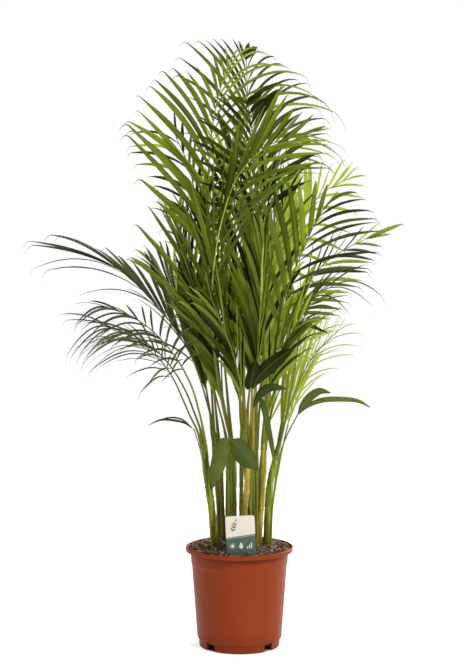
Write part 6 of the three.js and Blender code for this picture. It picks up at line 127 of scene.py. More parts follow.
     "l": [[0.2400,-38,136.9,600.7,0.36,0.35,10.9,-0.41],[0.3292,-56.8,161.5,646.7,0.31,0.36,12.4,-0.26],[0.4184,-75.9,161.8,670.5,0.46,0.37,11.7,-0.21],[0.5077,-93.7,201.6,682.8,0.52,0.46,10.6,-0.56],[0.5969,-108.7,226.8,685.2,0.49,0.48,10.3,-0.47],[0.6861,-139.7,259.3,698.6,0.42,0.41,11.4,-0.18],[0.7753,-146.9,281.3,686.8,0.46,0.33,11.2,-0.22],[0.8646,-164.7,281,653.8,0.4,0.38,10,-0.42],[0.9538,-165.4,267,626,0.46,0.39,7.6,-0.2],[0.2712,13.5,208.7,574.2,0.43,0.35,11.9,0.12],[0.3604,-9,228.8,629.2,0.33,0.47,10.8,0.18],[0.4497,-6.5,249.7,642.1,0.41,0.4,12.6,0.5],[0.5389,-25.4,297.8,663.2,0.38,0.34,11.8,0.2],[0.6281,-51.8,307.6,684.6,0.45,0.47,11.3,0.14],[0.7173,-69.5,315.8,676.2,0.41,0.38,9.9,0.54],[0.8066,-101.1,335.8,671.6,0.49,0.44,10.1,0.5],[0.8958,-140.9,322.3,639.4,0.33,0.48,8.5,0.39],[0.9850,-137.6,300.6,629.5,0.41,0.39,9,0.17]]},
    {"name": "frond_28", "tone": "m", "r": [2.6, 0.9], "p": [20.8,-41.37,414.82,23.01,-46.06,474.24,24.92,-52.88,533.55,27.46,-60.17,592.78,29.93,-68.26,651.91,32.31,-77.08,710.93,34.13,-86.57,769.88,37.58,-96.65,828.64,44.11,-107.34,887.03,54.34,-118,944.9],
     "l": [[0.2600,-26.1,-83,670.3,0.16,0.55,14.8,-0.27],[0.3375,-23.8,-86.5,719.2,0.12,0.48,14.7,-0.36],[0.4151,-23.7,-94.3,771.1,0.14,0.51,14.1,-0.45],[0.4926,-26,-120.6,825.8,0.16,0.43,14.2,-0.23],[0.5702,-14.8,-121.7,886.3,0.17,0.54,14,-0.16],[0.6477,-8,-124.1,897.8,0.17,0.47,12.6,-0.56],[0.7252,-7.9,-124.3,938.5,0.15,0.49,12.4,-0.6],[0.8028,3.7,-137.8,969.7,0.12,0.57,11.4,-0.13],[0.8803,30,-133.5,1002.1,0.19,0.59,9.6,-0.48],[0.9579,45.9,-138.5,1008.2,0.12,0.6,9.1,-0.54],[0.2871,62.2,-12.4,688.1,0.17,0.49,14.4,0.35],[0.3647,78.1,-25.6,741.9,0.18,0.5,15.5,0.4],[0.4422,65.6,-47.8,783.9,0.14,0.53,14.4,0.46],[0.5198,62.3,-52.5,842.6,0.15,0.56,14.1,0.17],[0.5973,86.5,-43.2,893.5,0.11,0.46,12.4,0.37],[0.6748,75.9,-47,939.5,0.17,0.4,13.4,0.23],[0.7524,86.3,-73,955.7,0.16,0.55,11,0.27],[0.8299,79.3,-81.7,993.5,0.14,0.59,9.7,0.1],[0.9075,95.5,-98.6,1005.7,0.18,0.46,9.9,0.31],[0.9850,83.4,-113.3,1023.8,0.18,0.6,8.9,0.27]]},
    {"name": "frond_29", "tone": "m", "r": [2.6, 0.9], "p": [-22.05,-2,394.39,-31.73,10.38,444.95,-45.89,22.86,496.14,-58.1,31.81,548.57,-67.66,38.31,601.92,-77.47,43.88,655.33,-88.05,48.58,708.68,-100.63,52.3,761.66,-114.33,53.9,814.46,-126.4,50,867.55],
     "l": [[0.2200,-92,-8.7,611.9,0.25,0.45,13.1,-0.29],[0.3018,-107,-1,665.7,0.21,0.54,13.8,-0.32],[0.3836,-121,-6.4,696.2,0.19,0.43,11.9,-0.24],[0.4655,-132,-8.8,751.5,0.2,0.48,13.2,-0.24],[0.5473,-124.7,-18.3,806.8,0.18,0.49,11.4,-0.44],[0.6291,-141.5,1.6,835.1,0.17,0.43,12.5,-0.15],[0.7109,-143.4,5.7,874.6,0.23,0.48,10.7,-0.15],[0.7927,-160.6,20,886.2,0.18,0.57,10.9,-0.49],[0.8745,-149.9,15.9,894.3,0.18,0.45,8.6,-0.21],[0.9564,-149.8,20.7,904.8,0.2,0.58,8.9,-0.49],[0.2436,-35.7,82,621.6,0.23,0.51,14.1,0.31],[0.3110,-8.4,81.4,661.7,0.25,0.49,13.2,0.17],[0.3784,-37.1,86.7,698.2,0.15,0.59,13.4,0.14],[0.4458,-23.2,69.8,738.1,0.17,0.57,12.5,0.38],[0.5132,-42,42.1,783.7,0.2,0.53,11.4,0.3],[0.5806,-48.2,60.6,806.1,0.15,0.42,11.5,0.26],[0.6480,-46.3,38.9,846.3,0.19,0.58,12.1,0.39],[0.7154,-72.4,53,870.1,0.22,0.49,11.5,0.33],[0.7828,-95.8,60.9,894.1,0.21,0.57,10.4,0.46],[0.8502,-101.3,84.4,912.6,0.22,0.51,9.8,0.49],[0.9176,-111.3,71.4,917.2,0.21,0.53,9.4,0.12],[0.9850,-115.6,57.1,927.9,0.2,0.53,8.3,0.31]]},
    {"name": "frond_30", "tone": "l", "r": [2.6, 0.9], "p": [35.32,27.03,402.51,39.17,24.23,459.64,44.03,17.95,516.55,46.37,12.46,573.72,49.76,5.81,630.71,53.9,-2.13,687.48,59.25,-11.18,743.98,67.49,-20.46,800.08,80.84,-28.42,855.41,93.59,-34,911.18],
     "l": [[0.2400,7.5,51.2,651.7,0.17,0.44,16.1,-0.54],[0.3120,10.3,54.2,691.4,0.18,0.44,13.8,-0.47],[0.3840,25,42.5,722,0.2,0.46,14.6,-0.24],[0.4559,13.9,40.1,785.6,0.18,0.53,13.5,-0.21],[0.5279,19,37,817.3,0.23,0.53,12.2,-0.2],[0.5999,28,24.4,851,0.16,0.56,12.3,-0.25],[0.6719,35.4,24.2,889.3,0.24,0.51,12.8,-0.24],[0.7439,61.9,23.2,926.1,0.19,0.57,11.4,-0.54],[0.8158,69.9,6.2,937.1,0.15,0.56,10.4,-0.46],[0.8878,67.1,-20.2,950.5,0.16,0.42,10,-0.2],[0.9598,85.9,-26.6,971.7,0.23,0.45,7.9,-0.42],[0.2652,98.9,-21.6,652.6,0.19,0.52,12.8,0.36],[0.3372,107.5,-11.6,690.2,0.23,0.55,13.4,0.5],[0.4092,134.1,-39.5,736.7,0.16,0.52,14.3,0.17],[0.4811,116.3,-49,790.6,0.22,0.48,14.4,0.27],[0.5531,137.5,-55.7,821,0.17,0.48,14.8,0.54],[0.6251,128.9,-50.9,851.2,0.2,0.46,12.9,0.51],[0.6971,135.2,-63.4,874.7,0.17,0.56,10.5,0.31],[0.7691,156.3,-51.7,897.5,0.17,0.45,11.5,0.4],[0.8410,134.7,-85.1,941.4,0.15,0.5,10.3,0.32],[0.9130,121.1,-71,949.6,0.22,0.48,10.4,0.55],[0.9850,121.5,-65.7,964.1,0.19,0.58,8.9,0.33]]},
    {"name": "frond_31", "tone": "d", "r": [2.6, 0.9], "p": [-18.06,19.97,395.32,-21.4,7.28,437.81,-28.28,-13.62,478.14,-35.29,-34.17,518.63,-42.64,-55.8,558.49,-50.24,-78.97,597.44,-58.88,-102.91,635.69,-68.99,-127.67,673.05,-82.27,-152.41,709.37,-102.13,-176,743.42],
     "l": [[0.2400,-73.1,-101.3,575.6,0.37,0.57,13.6,-0.51],[0.3414,-100.3,-129.5,615.7,0.31,0.52,13.8,-0.12],[0.4427,-109.3,-168.8,650.1,0.27,0.44,13.9,-0.34],[0.5441,-116.2,-125.2,689.5,0.22,0.53,13.9,-0.17],[0.6454,-113.3,-227.8,710.1,0.22,0.57,11,-0.54],[0.7468,-125.3,-227.9,753.5,0.34,0.51,10.9,-0.29],[0.8482,-107.4,-216.3,766.1,0.36,0.44,10.5,-0.37],[0.9495,-125.2,-226.3,773.9,0.25,0.41,7.6,-0.58],[0.2679,-36.2,-26.6,617.3,0.34,0.54,13,0.43],[0.3476,-54.3,-66.1,662.9,0.26,0.52,14,0.24],[0.4272,-58.9,-80.8,692.5,0.28,0.52,12.4,0.59],[0.5069,-79.2,-90.1,742.2,0.36,0.5,13.4,0.11],[0.5866,-70.9,-115.8,777.6,0.31,0.43,11.8,0.53],[0.6663,-94.7,-130.3,787.5,0.22,0.57,13.1,0.49],[0.7460,-97.1,-156.8,814.8,0.31,0.42,11.3,0.49],[0.8256,-111.8,-199,804.8,0.27,0.42,9.7,0.43],[0.9053,-116,-198.4,811.4,0.27,0.58,9.1,0.44],[0.9850,-124.5,-204.5,800.4,0.37,0.58,8.7,0.18]]},
]

# ---------------------------------------------------------------- camera, light
cam = bpy.data.cameras.new("camera")
cam_ob = bpy.data.objects.new("camera", cam)
scene.collection.objects.link(cam_ob)
cam.sensor_width = 36.0
cam.lens = 36.0 * 1700.0 / 661.0
cam.clip_start, cam.clip_end = 0.05, 60.0
cam_ob.location = (-0.012, -3.400, 0.880)
cam_ob.rotation_euler = (math.radians(90 - 4.06), 0, 0)
scene.camera = cam_ob

world = bpy.data.worlds.new("studio")
scene.world = world
world.use_nodes = True
# a white studio: the backdrop shows white, and its light on the plant is dimmer
wnt = world.node_tree
wbg = wnt.nodes["Background"]
wbg.inputs["Color"].default_value = (0.97, 0.985, 1.0, 1)
wbg.inputs["Strength"].default_value = 0.15
shown = wnt.nodes.new("ShaderNodeBackground")
shown.inputs["Color"].default_value = (1.0, 1.0, 1.0, 1)
shown.inputs["Strength"].default_value = 1.0
pick = wnt.nodes.new("ShaderNodeMixShader")
wnt.links.new(wnt.nodes.new("ShaderNodeLightPath").outputs["Is Camera Ray"], pick.inputs["Fac"])
wnt.links.new(wbg.outputs[0], pick.inputs[1])
wnt.links.new(shown.outputs[0], pick.inputs[2])
wnt.links.new(pick.outputs[0], wnt.nodes["World Output"].inputs["Surface"])
scene.view_settings.view_transform = "Standard"
scene.view_settings.look = "None"
scene.view_settings.exposure = 0.0


def area(name, loc, target, size, power, colour=(1, 1, 1)):
    lamp = bpy.data.lights.new(name, "AREA")
    lamp.shape = "RECTANGLE"
    lamp.size, lamp.size_y = size
    lamp.energy = power
    lamp.color = colour
    ob = bpy.data.objects.new(name, lamp)
    scene.collection.objects.link(ob)
    ob.location = loc
    ob.rotation_euler = (Vector(target) - Vector(loc)).to_track_quat("-Z", "Y").to_euler()
    return ob


area("key", (1.8, -2.2, 2.9), (0, 0, 0.45), (0.9, 1.1), 104, (1.0, 0.985, 0.94))
area("left", (-1.7, -0.5, 3.1), (0, 0, 0.85), (1.2, 1.2), 20, (0.95, 0.98, 1.0))
area("back_right", (1.5, 2.1, 1.5), (0.05, 0, 0.65), (1.2, 1.6), 100, (1.0, 1.0, 0.92))
area("top", (0.0, -0.1, 3.1), (0, 0, 0.7), (1.2, 1.2), 52)


# ---------------------------------------------------------------- mesh helpers
def unit(a):
    a = np.asarray(a, float)
    n = np.linalg.norm(a, axis=-1, keepdims=True)
    return a / np.maximum(n, 1e-9)


class Shape:
    """Vertices in millimetres, faces with a material index, and point attributes."""

    def __init__(self):
        self.v, self.f, self.m, self.a, self.n = [], [], [], {}, 0

    def add(self, verts, faces, mat=0, **att):
        verts = np.asarray(verts, float).reshape(-1, 3)
        k = self.n
        self.v.append(verts)
        self.f.extend([tuple(int(i) + k for i in f) for f in faces])
        self.m.extend([mat] * len(faces))
        for name in set(self.a) | set(att):
            rows = self.a.setdefault(name, [np.zeros(k)] if k else [])
            value = att.get(name, 0.0)
            rows.append(np.broadcast_to(np.asarray(value, float), (len(verts),)).copy())
        self.n += len(verts)

    def build(self, name, mats, smooth=True):
        me = bpy.data.meshes.new(name)
        v = np.concatenate(self.v) * 0.001
        me.from_pydata(v.tolist(), [], self.f)
        for m in mats:
            me.materials.append(m)
        me.polygons.foreach_set("material_index", np.array(self.m, np.int32))
        me.polygons.foreach_set("use_smooth", np.full(len(self.f), smooth))
        for key, rows in self.a.items():
            at = me.attributes.new(key, "FLOAT", "POINT")
            at.data.foreach_set("value", np.concatenate(rows).astype(np.float32))
        me.update()
        ob = bpy.data.objects.new(name, me)
        scene.collection.objects.link(ob)
        return ob


def catmull(p, t):
    """Points on a Catmull-Rom curve through p at t in 0..1, with tangents."""
    p = np.asarray(p, float)
    n = len(p) - 1
    q = np.vstack([2 * p[0] - p[1], p, 2 * p[-1] - p[-2]])
    t = np.clip(np.asarray(t, float), 0, 1) * n
    i = np.minimum(t.astype(int), n - 1)
    u = (t - i)[:, None]
    a, b, c, d = q[i], q[i + 1], q[i + 2], q[i + 3]
    pos = 0.5 * (2 * b + (c - a) * u + (2 * a - 5 * b + 4 * c - d) * u**2 + (3 * b - a - 3 * c + d) * u**3)
    tan = 0.5 * ((c - a) + 2 * (2 * a - 5 * b + 4 * c - d) * u + 3 * (3 * b - a - 3 * c + d) * u**2)
    return pos, unit(tan)


def tube(shape, pos, tan, radius, sides, mat, closed=True, groove=0.0, **att):
    """A tube along pos; radius may differ at each ring and round the ring."""
    n = len(pos)
    a = unit(np.cross(tan[0], [0.3, 1, 0.1]))
    rows = []
    for i in range(n):
        a = unit(a - tan[i] * np.dot(a, tan[i]))
        b = np.cross(tan[i], a)
        w = np.arange(sides) * 2 * np.pi / sides
        r = np.asarray(radius[i], float) * np.ones(sides)
        if groove:
            up = np.array([0, 0, 1.0]) - tan[i] * tan[i][2]
            c = (np.cos(w)[:, None] * a + np.sin(w)[:, None] * b) @ unit(up)
            r = r * (1 - groove * np.clip(c, 0, 1) ** 3)
        rows.append(pos[i] + np.cos(w)[:, None] * a * r[:, None] + np.sin(w)[:, None] * b * r[:, None])
    v = np.concatenate(rows)
    f = []
    for i in range(n - 1):
        for k in range(sides):
            j = (k + 1) % sides
            f.append((i * sides + k, i * sides + j, (i + 1) * sides + j, (i + 1) * sides + k))
    if closed:
        f.append(tuple(reversed(range(sides))))
        f.append(tuple((n - 1) * sides + k for k in range(sides)))
    ring = {k: np.repeat(np.asarray(x, float) * np.ones(n), sides) for k, x in att.items()}
    shape.add(v, f, mat, **ring)


# ---------------------------------------------------------------- materials
def material(name):
    m = bpy.data.materials.new(name)
    m.use_nodes = True
    nt = m.node_tree
    nt.nodes.clear()
    return m, nt


def node(nt, kind, **values):
    n = nt.nodes.new(kind)
    for k, v in values.items():
        setattr(n, k, v)
    return n


def attr(nt, name):
    n = node(nt, "ShaderNodeAttribute", attribute_name=name)
    return n.outputs["Fac"]


def put(nt, sock, value):
    if isinstance(value, bpy.types.NodeSocket):
        nt.links.new(value, sock)
    else:
        sock.default_value = value


def calc(nt, op, a, b=0.0, c=0.0, clamp=False):
    n = node(nt, "ShaderNodeMath", operation=op, use_clamp=clamp)
    put(nt, n.inputs[0], a)
    put(nt, n.inputs[1], b)
    put(nt, n.inputs[2], c)
    return n.outputs[0]


def ramp(nt, fac, stops, mode="LINEAR"):
    n = node(nt, "ShaderNodeValToRGB")
    n.color_ramp.interpolation = mode
    el = n.color_ramp.elements
    while len(el) < len(stops):
        el.new(0.5)
    for e, (p, c) in zip(el, stops):
        e.position = p
        e.color = (*c, 1) if len(c) == 3 else c
    put(nt, n.inputs[0], fac)
    return n.outputs["Color"]


def between(nt, fac, lo, hi, a=0.0, b=1.0):
    n = node(nt, "ShaderNodeMapRange", interpolation_type="SMOOTHSTEP")
    put(nt, n.inputs["Value"], fac)
    n.inputs["From Min"].default_value = lo
    n.inputs["From Max"].default_value = hi
    n.inputs["To Min"].default_value = a
    n.inputs["To Max"].default_value = b
    return n.outputs["Result"]


def blend(nt, fac, a, b, mode="MIX"):
    n = node(nt, "ShaderNodeMix", data_type="RGBA", blend_type=mode)
    put(nt, n.inputs["Factor"], fac)
    for sock, val in ((n.inputs[6], a), (n.inputs[7], b)):
        put(nt, sock, (*val, 1) if isinstance(val, tuple) and len(val) == 3 else val)
    return n.outputs[2]


def texture(nt, scale, detail=4.0, rough=0.55, stretch=(1, 1, 1), distort=0.0, kind="noise"):
    co = node(nt, "ShaderNodeTexCoord").outputs["Object"]
    mp = node(nt, "ShaderNodeMapping")
    mp.inputs["Scale"].default_value = stretch
    nt.links.new(co, mp.inputs["Vector"])
    if kind == "noise":
        n = node(nt, "ShaderNodeTexNoise")
        n.inputs["Detail"].default_value = detail
        n.inputs["Roughness"].default_value = rough
        n.inputs["Distortion"].default_value = distort
        out = n.outputs["Fac"]
    else:
        n = node(nt, "ShaderNodeTexVoronoi")
        out = n.outputs["Distance"]
    n.inputs["Scale"].default_value = scale
    nt.links.new(mp.outputs["Vector"], n.inputs["Vector"])
    return out


def bump(nt, height, strength, distance):
    n = node(nt, "ShaderNodeBump")
    n.inputs["Strength"].default_value = strength
    n.inputs["Distance"].default_value = distance
    put(nt, n.inputs["Height"], height)
    return n.outputs["Normal"]


def principled(nt, colour, rough, normal=None, specular=0.5, coat=0.0, coat_rough=0.2):
    p = node(nt, "ShaderNodeBsdfPrincipled")
    put(nt, p.inputs["Base Color"], colour)
    put(nt, p.inputs["Roughness"], rough)
    p.inputs["Specular IOR Level"].default_value = specular
    p.inputs["Coat Weight"].default_value = coat
    p.inputs["Coat Roughness"].default_value = coat_rough
    if normal is not None:
        nt.links.new(normal, p.inputs["Normal"])
    return p


def output(nt, shader):
    o = node(nt, "ShaderNodeOutputMaterial")
    nt.links.new(shader, o.inputs["Surface"])


def leaf_material(name, dark, mid, light, glow_dark, glow_light, veins=26.0, send=0.42, gloss=0.08):
    """Leaf tissue: lt runs along the leaflet, lv across it, lr differs for each, tone and grey for each frond; tone
    holds painted light as well as the green, grey a painted sheen.
    """
    m, nt = material(name)
    t, v, r = attr(nt, "lt"), attr(nt, "lv"), attr(nt, "lr")
    tone, grey = attr(nt, "tone"), attr(nt, "grey")
    cloud = texture(nt, 14.0, 3.0)
    fine = texture(nt, 160.0, 3.0, 0.6)
    mixv = calc(nt, "ADD", tone, calc(nt, "MULTIPLY", calc(nt, "SUBTRACT", r, 0.5), 0.90))
    mixv = calc(nt, "ADD", mixv, calc(nt, "MULTIPLY", calc(nt, "SUBTRACT", cloud, 0.5), 0.5), clamp=True)
    col = ramp(nt, mixv, [(0.0, dark), (0.5, mid), (1.0, light)])
    # the base of a leaflet is yellower, its edge a little darker
    pale = between(nt, t, 0.0, 0.2, 0.38, 0.0)
    col = blend(nt, pale, col, (0.13, 0.175, 0.020))
    # thin pale leaflets of the lower side that faces the back light: their own paleness and painted backlight
    pale_and_painted_backlight = between(nt, tone, 1.35, 1.95, 0.0, 0.9)
    col = blend(nt, pale_and_painted_backlight, col, (0.42, 0.47, 0.09))
    edge = between(nt, calc(nt, "ABSOLUTE", v), 0.75, 1.0, 0.0, 0.3)
    col = blend(nt, edge, col, tuple(c * 0.7 for c in dark))
    # parallel veins and a paler midrib
    wob = calc(nt, "ADD", calc(nt, "MULTIPLY", v, veins), calc(nt, "MULTIPLY", fine, 2.2))
    vein = calc(nt, "SINE", wob)
    col = blend(nt, between(nt, vein, 0.1, 1.0, 0.0, 0.25), col, tuple(c * 0.6 for c in dark))
    rib = between(nt, calc(nt, "ABSOLUTE", v), 0.03, 0.16, 0.4, 0.0)
    col = blend(nt, rib, col, light)
    # painted sheen: grey mixed into the colour of fronds that show a grey shine
    col = blend(nt, calc(nt, "MULTIPLY", grey, 0.85), col, (0.050, 0.062, 0.034))
    # dry tips and a few brown flecks
    dry = calc(nt, "ADD", calc(nt, "MULTIPLY", r, 0.07), 0.885)
    dry = calc(nt, "DIVIDE", calc(nt, "SUBTRACT", t, dry), 0.07, clamp=True)
    col = blend(nt, calc(nt, "MULTIPLY", dry, 0.85), col, (0.080, 0.066, 0.048))
    fleck = between(nt, texture(nt, 90.0, 2.0, 0.5), 0.70, 0.76, 0.0, 0.4)
    col = blend(nt, fleck, col, (0.10, 0.075, 0.02))
    nrm = bump(nt, calc(nt, "ADD", vein, calc(nt, "MULTIPLY", fine, 0.6)), 0.35, 0.00018)
    rough = between(nt, fine, 0.2, 0.8, 0.36, 0.5)
    p = principled(nt, col, rough, nrm, specular=gloss)
    tr = node(nt, "ShaderNodeBsdfTranslucent")
    glow = ramp(nt, mixv, [(0.0, glow_dark), (1.0, glow_light)])
    glow = blend(nt, pale_and_painted_backlight, glow, (0.72, 0.80, 0.14))
    glow = blend(nt, between(nt, vein, 0.0, 1.0, 0.0, 0.35), glow, glow_dark)
    # painted sheen also greys the light let through
    glow = blend(nt, calc(nt, "MULTIPLY", grey, 0.8), glow, (0.030, 0.042, 0.014))
    glow = blend(nt, calc(nt, "MULTIPLY", dry, 0.85), glow, (0.05, 0.035, 0.018))
    nt.links.new(glow, tr.inputs["Color"])
    nt.links.new(nrm, tr.inputs["Normal"])
    mx = node(nt, "ShaderNodeMixShader")
    mx.inputs["Fac"].default_value = send
    nt.links.new(p.outputs[0], mx.inputs[1])
    nt.links.new(tr.outputs[0], mx.inputs[2])
    output(nt, mx.outputs[0])
    return m


LEAF = ((0.0068, 0.0150, 0.0012), (0.052, 0.083, 0.010), (0.200, 0.268, 0.034), (0.012, 0.027, 0.0008), (0.49, 0.65, 0.040))
leaf = leaf_material("leaf_tissue", *LEAF)
# fronds that show a grey shine have a waxier surface
leaf_satin = leaf_material("leaf_tissue_satin", *LEAF, gloss=0.24)
leaf_waxy = leaf_material("leaf_tissue_waxy", *LEAF, gloss=0.46)
young = leaf_material("young_leaf_tissue", (0.004, 0.009, 0.0008), (0.040, 0.062, 0.010), (0.150, 0.205, 0.040), (0.005, 0.012, 0.0005), (0.22, 0.32, 0.03), veins=34.0, send=0.25, gloss=0.07)


def stalk_material():
    """Stalks and midribs: st runs along, gold is how yellow the stalk is."""
    m, nt = material("stalk_skin")
    t, gold, r = attr(nt, "st"), attr(nt, "gold"), attr(nt, "lr")
    grain = texture(nt, 60.0, 5.0, 0.6, (1, 1, 0.12))
    spots = texture(nt, 330.0, 2.0, 0.5)
    col = ramp(nt, t, [(0.0, (0.150, 0.175, 0.012)), (0.35, (0.185, 0.235, 0.016)), (1.0, (0.13, 0.19, 0.014))])
    col = blend(nt, calc(nt, "MULTIPLY", r, 0.6), col, (0.070, 0.090, 0.010))
    warm = ramp(nt, t, [(0.0, (0.56, 0.36, 0.030)), (0.35, (0.62, 0.47, 0.050)), (0.6, (0.58, 0.56, 0.080)), (1.0, (0.42, 0.48, 0.07))])
    col = blend(nt, gold, col, warm)
    col = blend(nt, between(nt, grain, 0.35, 0.75, 0.0, 0.45), col, (0.10, 0.125, 0.03))
    col = blend(nt, between(nt, spots, 0.66, 0.74, 0.0, 0.5), col, (0.09, 0.06, 0.025))
    nrm = bump(nt, grain, 0.3, 0.0004)
    output(nt, principled(nt, col, between(nt, grain, 0.2, 0.8, 0.36, 0.52), nrm, specular=0.14).outputs[0])
    return m


stalk = stalk_material()


def cane_material(name, low, mid, high, spot, amount):
    """Cane skin: ch runs up the cane, ring is high on the leaf scars."""
    m, nt = material(name)
    h, ring = attr(nt, "ch"), attr(nt, "ring")
    grain = texture(nt, 70.0, 6.0, 0.65, (1, 1, 0.1), 0.4)
    blotch = texture(nt, 38.0, 3.0, 0.6, (1, 1, 0.5))
    dots = texture(nt, 230.0, 3.0, 0.6, (1, 1, 1.3))
    base = calc(nt, "ADD", h, calc(nt, "MULTIPLY", calc(nt, "SUBTRACT", blotch, 0.5), 0.5), clamp=True)
    # darker towards the soil: the cane's own browner base, darkened further as painted shade
    col = ramp(nt, base, [(0.0, low), (0.42, mid), (0.85, high)])
    # fine lengthwise stripes: the skin's own striation, its pale stripes also painted highlights and its dark ones
    # painted shade
    stripes_and_painted_light = texture(nt, 150.0, 3.0, 0.6, (1, 1, 0.04))
    col = blend(nt, between(nt, stripes_and_painted_light, 0.50, 0.60, 0.0, 0.6), col, tuple(min(1.0, c * 1.9) for c in high))
    col = blend(nt, between(nt, stripes_and_painted_light, 0.38, 0.49, 0.65, 0.0), col, tuple(c * 0.55 for c in low))
    col = blend(nt, between(nt, grain, 0.42, 0.8, 0.0, 0.5), col, tuple(c * 0.5 for c in low))
    col = blend(nt, between(nt, dots, 0.56, 0.66, 0.0, amount), col, spot)
    col = blend(nt, calc(nt, "MULTIPLY", ring, 0.75), col, (0.20, 0.135, 0.065))
    nrm = bump(nt, calc(nt, "ADD", grain, calc(nt, "MULTIPLY", dots, 0.3)), 0.45, 0.0006)
    output(nt, principled(nt, col, between(nt, grain, 0.2, 0.8, 0.42, 0.62), nrm, specular=0.14).outputs[0])
    return m


cane_mats = {
    "olive": cane_material("cane_olive", (0.070, 0.062, 0.009), (0.150, 0.160, 0.012), (0.20, 0.235, 0.020), (0.035, 0.028, 0.008), 0.5),
    "brown": cane_material("cane_brown", (0.085, 0.050, 0.014), (0.165, 0.125, 0.020), (0.19, 0.190, 0.020), (0.04, 0.022, 0.010), 0.6),
    "green": cane_material("cane_green", (0.105, 0.100, 0.010), (0.165, 0.200, 0.012), (0.19, 0.255, 0.018), (0.04, 0.035, 0.008), 0.35),
    "gold": cane_material("cane_gold", (0.50, 0.32, 0.050), (0.66, 0.48, 0.080), (0.56, 0.44, 0.060), (0.24, 0.11, 0.018), 0.85),
    "amber": cane_material("cane_amber", (0.20, 0.13, 0.022), (0.40, 0.275, 0.035), (0.36, 0.32, 0.035), (0.12, 0.055, 0.012), 0.7),
}


def pot_material():
    """Moulded terracotta-coloured plastic: satin, a little cloudy, scuffed at the edges; painted shade towards the foot
    and a painted shadow beneath the rim.
    """
    m, nt = material("pot_plastic_moulded")
    cloud = texture(nt, 9.0, 4.0, 0.6)
    fine = texture(nt, 420.0, 4.0, 0.6)
    lines = texture(nt, 7.0, 4.0, 0.6, (1, 1, 90))
    col = ramp(nt, cloud, [(0.3, (0.238, 0.0345, 0.0050)), (0.7, (0.272, 0.041, 0.0062))])
    col = blend(nt, between(nt, fine, 0.45, 0.8, 0.0, 0.16), col, (0.36, 0.09, 0.03))
    col = blend(nt, between(nt, lines, 0.5, 0.72, 0.0, 0.14), col, (0.19, 0.028, 0.006))
    edge = node(nt, "ShaderNodeNewGeometry").outputs["Pointiness"]
    col = blend(nt, between(nt, edge, 0.53, 0.62, 0.0, 0.35), col, (0.42, 0.11, 0.045))
    z = node(nt, "ShaderNodeSeparateXYZ")
    nt.links.new(node(nt, "ShaderNodeTexCoord").outputs["Object"], z.inputs[0])
    # painted shade: the wall grows darker towards the foot, near the floor
    low = between(nt, z.outputs["Z"], 0.0, 0.055, 0.42, 0.0)
    col = blend(nt, low, col, (0.155, 0.022, 0.004))
    # painted shadow: a darker band on the wall just beneath the rim
    painted_rim_shadow = calc(nt, "MULTIPLY", between(nt, z.outputs["Z"], 0.180, 0.1925, 0.0, 0.7), between(nt, z.outputs["Z"], 0.1932, 0.1940, 1.0, 0.0))
    col = blend(nt, painted_rim_shadow, col, (0.105, 0.015, 0.003))
    nrm = bump(nt, calc(nt, "ADD", fine, calc(nt, "MULTIPLY", lines, 0.8)), 0.25, 0.0003)
    rough = between(nt, cloud, 0.25, 0.75, 0.36, 0.47)
    output(nt, principled(nt, col, rough, nrm, specular=0.10).outputs[0])
    return m


def soil_material(name, dark, mid, light, scale):
    m, nt = material(name)
    big = texture(nt, scale, 6.0, 0.7)
    fine = texture(nt, scale * 7, 4.0, 0.65)
    r = attr(nt, "lr")
    f = calc(nt, "ADD", calc(nt, "MULTIPLY", big, 0.55), calc(nt, "MULTIPLY", fine, 0.35))
    f = calc(nt, "ADD", f, calc(nt, "MULTIPLY", calc(nt, "SUBTRACT", r, 0.4), 0.5), clamp=True)
    col = ramp(nt, f, [(0.25, dark), (0.5, mid), (0.85, light)])
    nrm = bump(nt, fine, 0.8, 0.0012)
    output(nt, principled(nt, col, between(nt, fine, 0.2, 0.8, 0.75, 0.95), nrm, specular=0.25).outputs[0])
    return m


pot_mat = pot_material()
soil_mat = soil_material("potting_mix", (0.024, 0.012, 0.007), (0.092, 0.047, 0.028), (0.21, 0.125, 0.080), 90.0)
bark_mat = soil_material("bark_chips", (0.038, 0.018, 0.011), (0.150, 0.078, 0.048), (0.39, 0.235, 0.16), 140.0)

# ---------------------------------------------------------------- pot
R0, TAPER, WALL = 83.9, 0.0745, 1.9
RIM, HIGH, LIP, BAND, STEP, FLOOR = 108.4, 202.0, 9.0, 166.0, 1.1, 12.0


def wall(z):
    return R0 + TAPER * z


def arc(c, r, a0, a1, n):
    return [(c[0] + r * math.cos(math.radians(a0 + (a1 - a0) * i / n)), c[1] + r * math.sin(math.radians(a0 + (a1 - a0) * i / n))) for i in range(n + 1)]


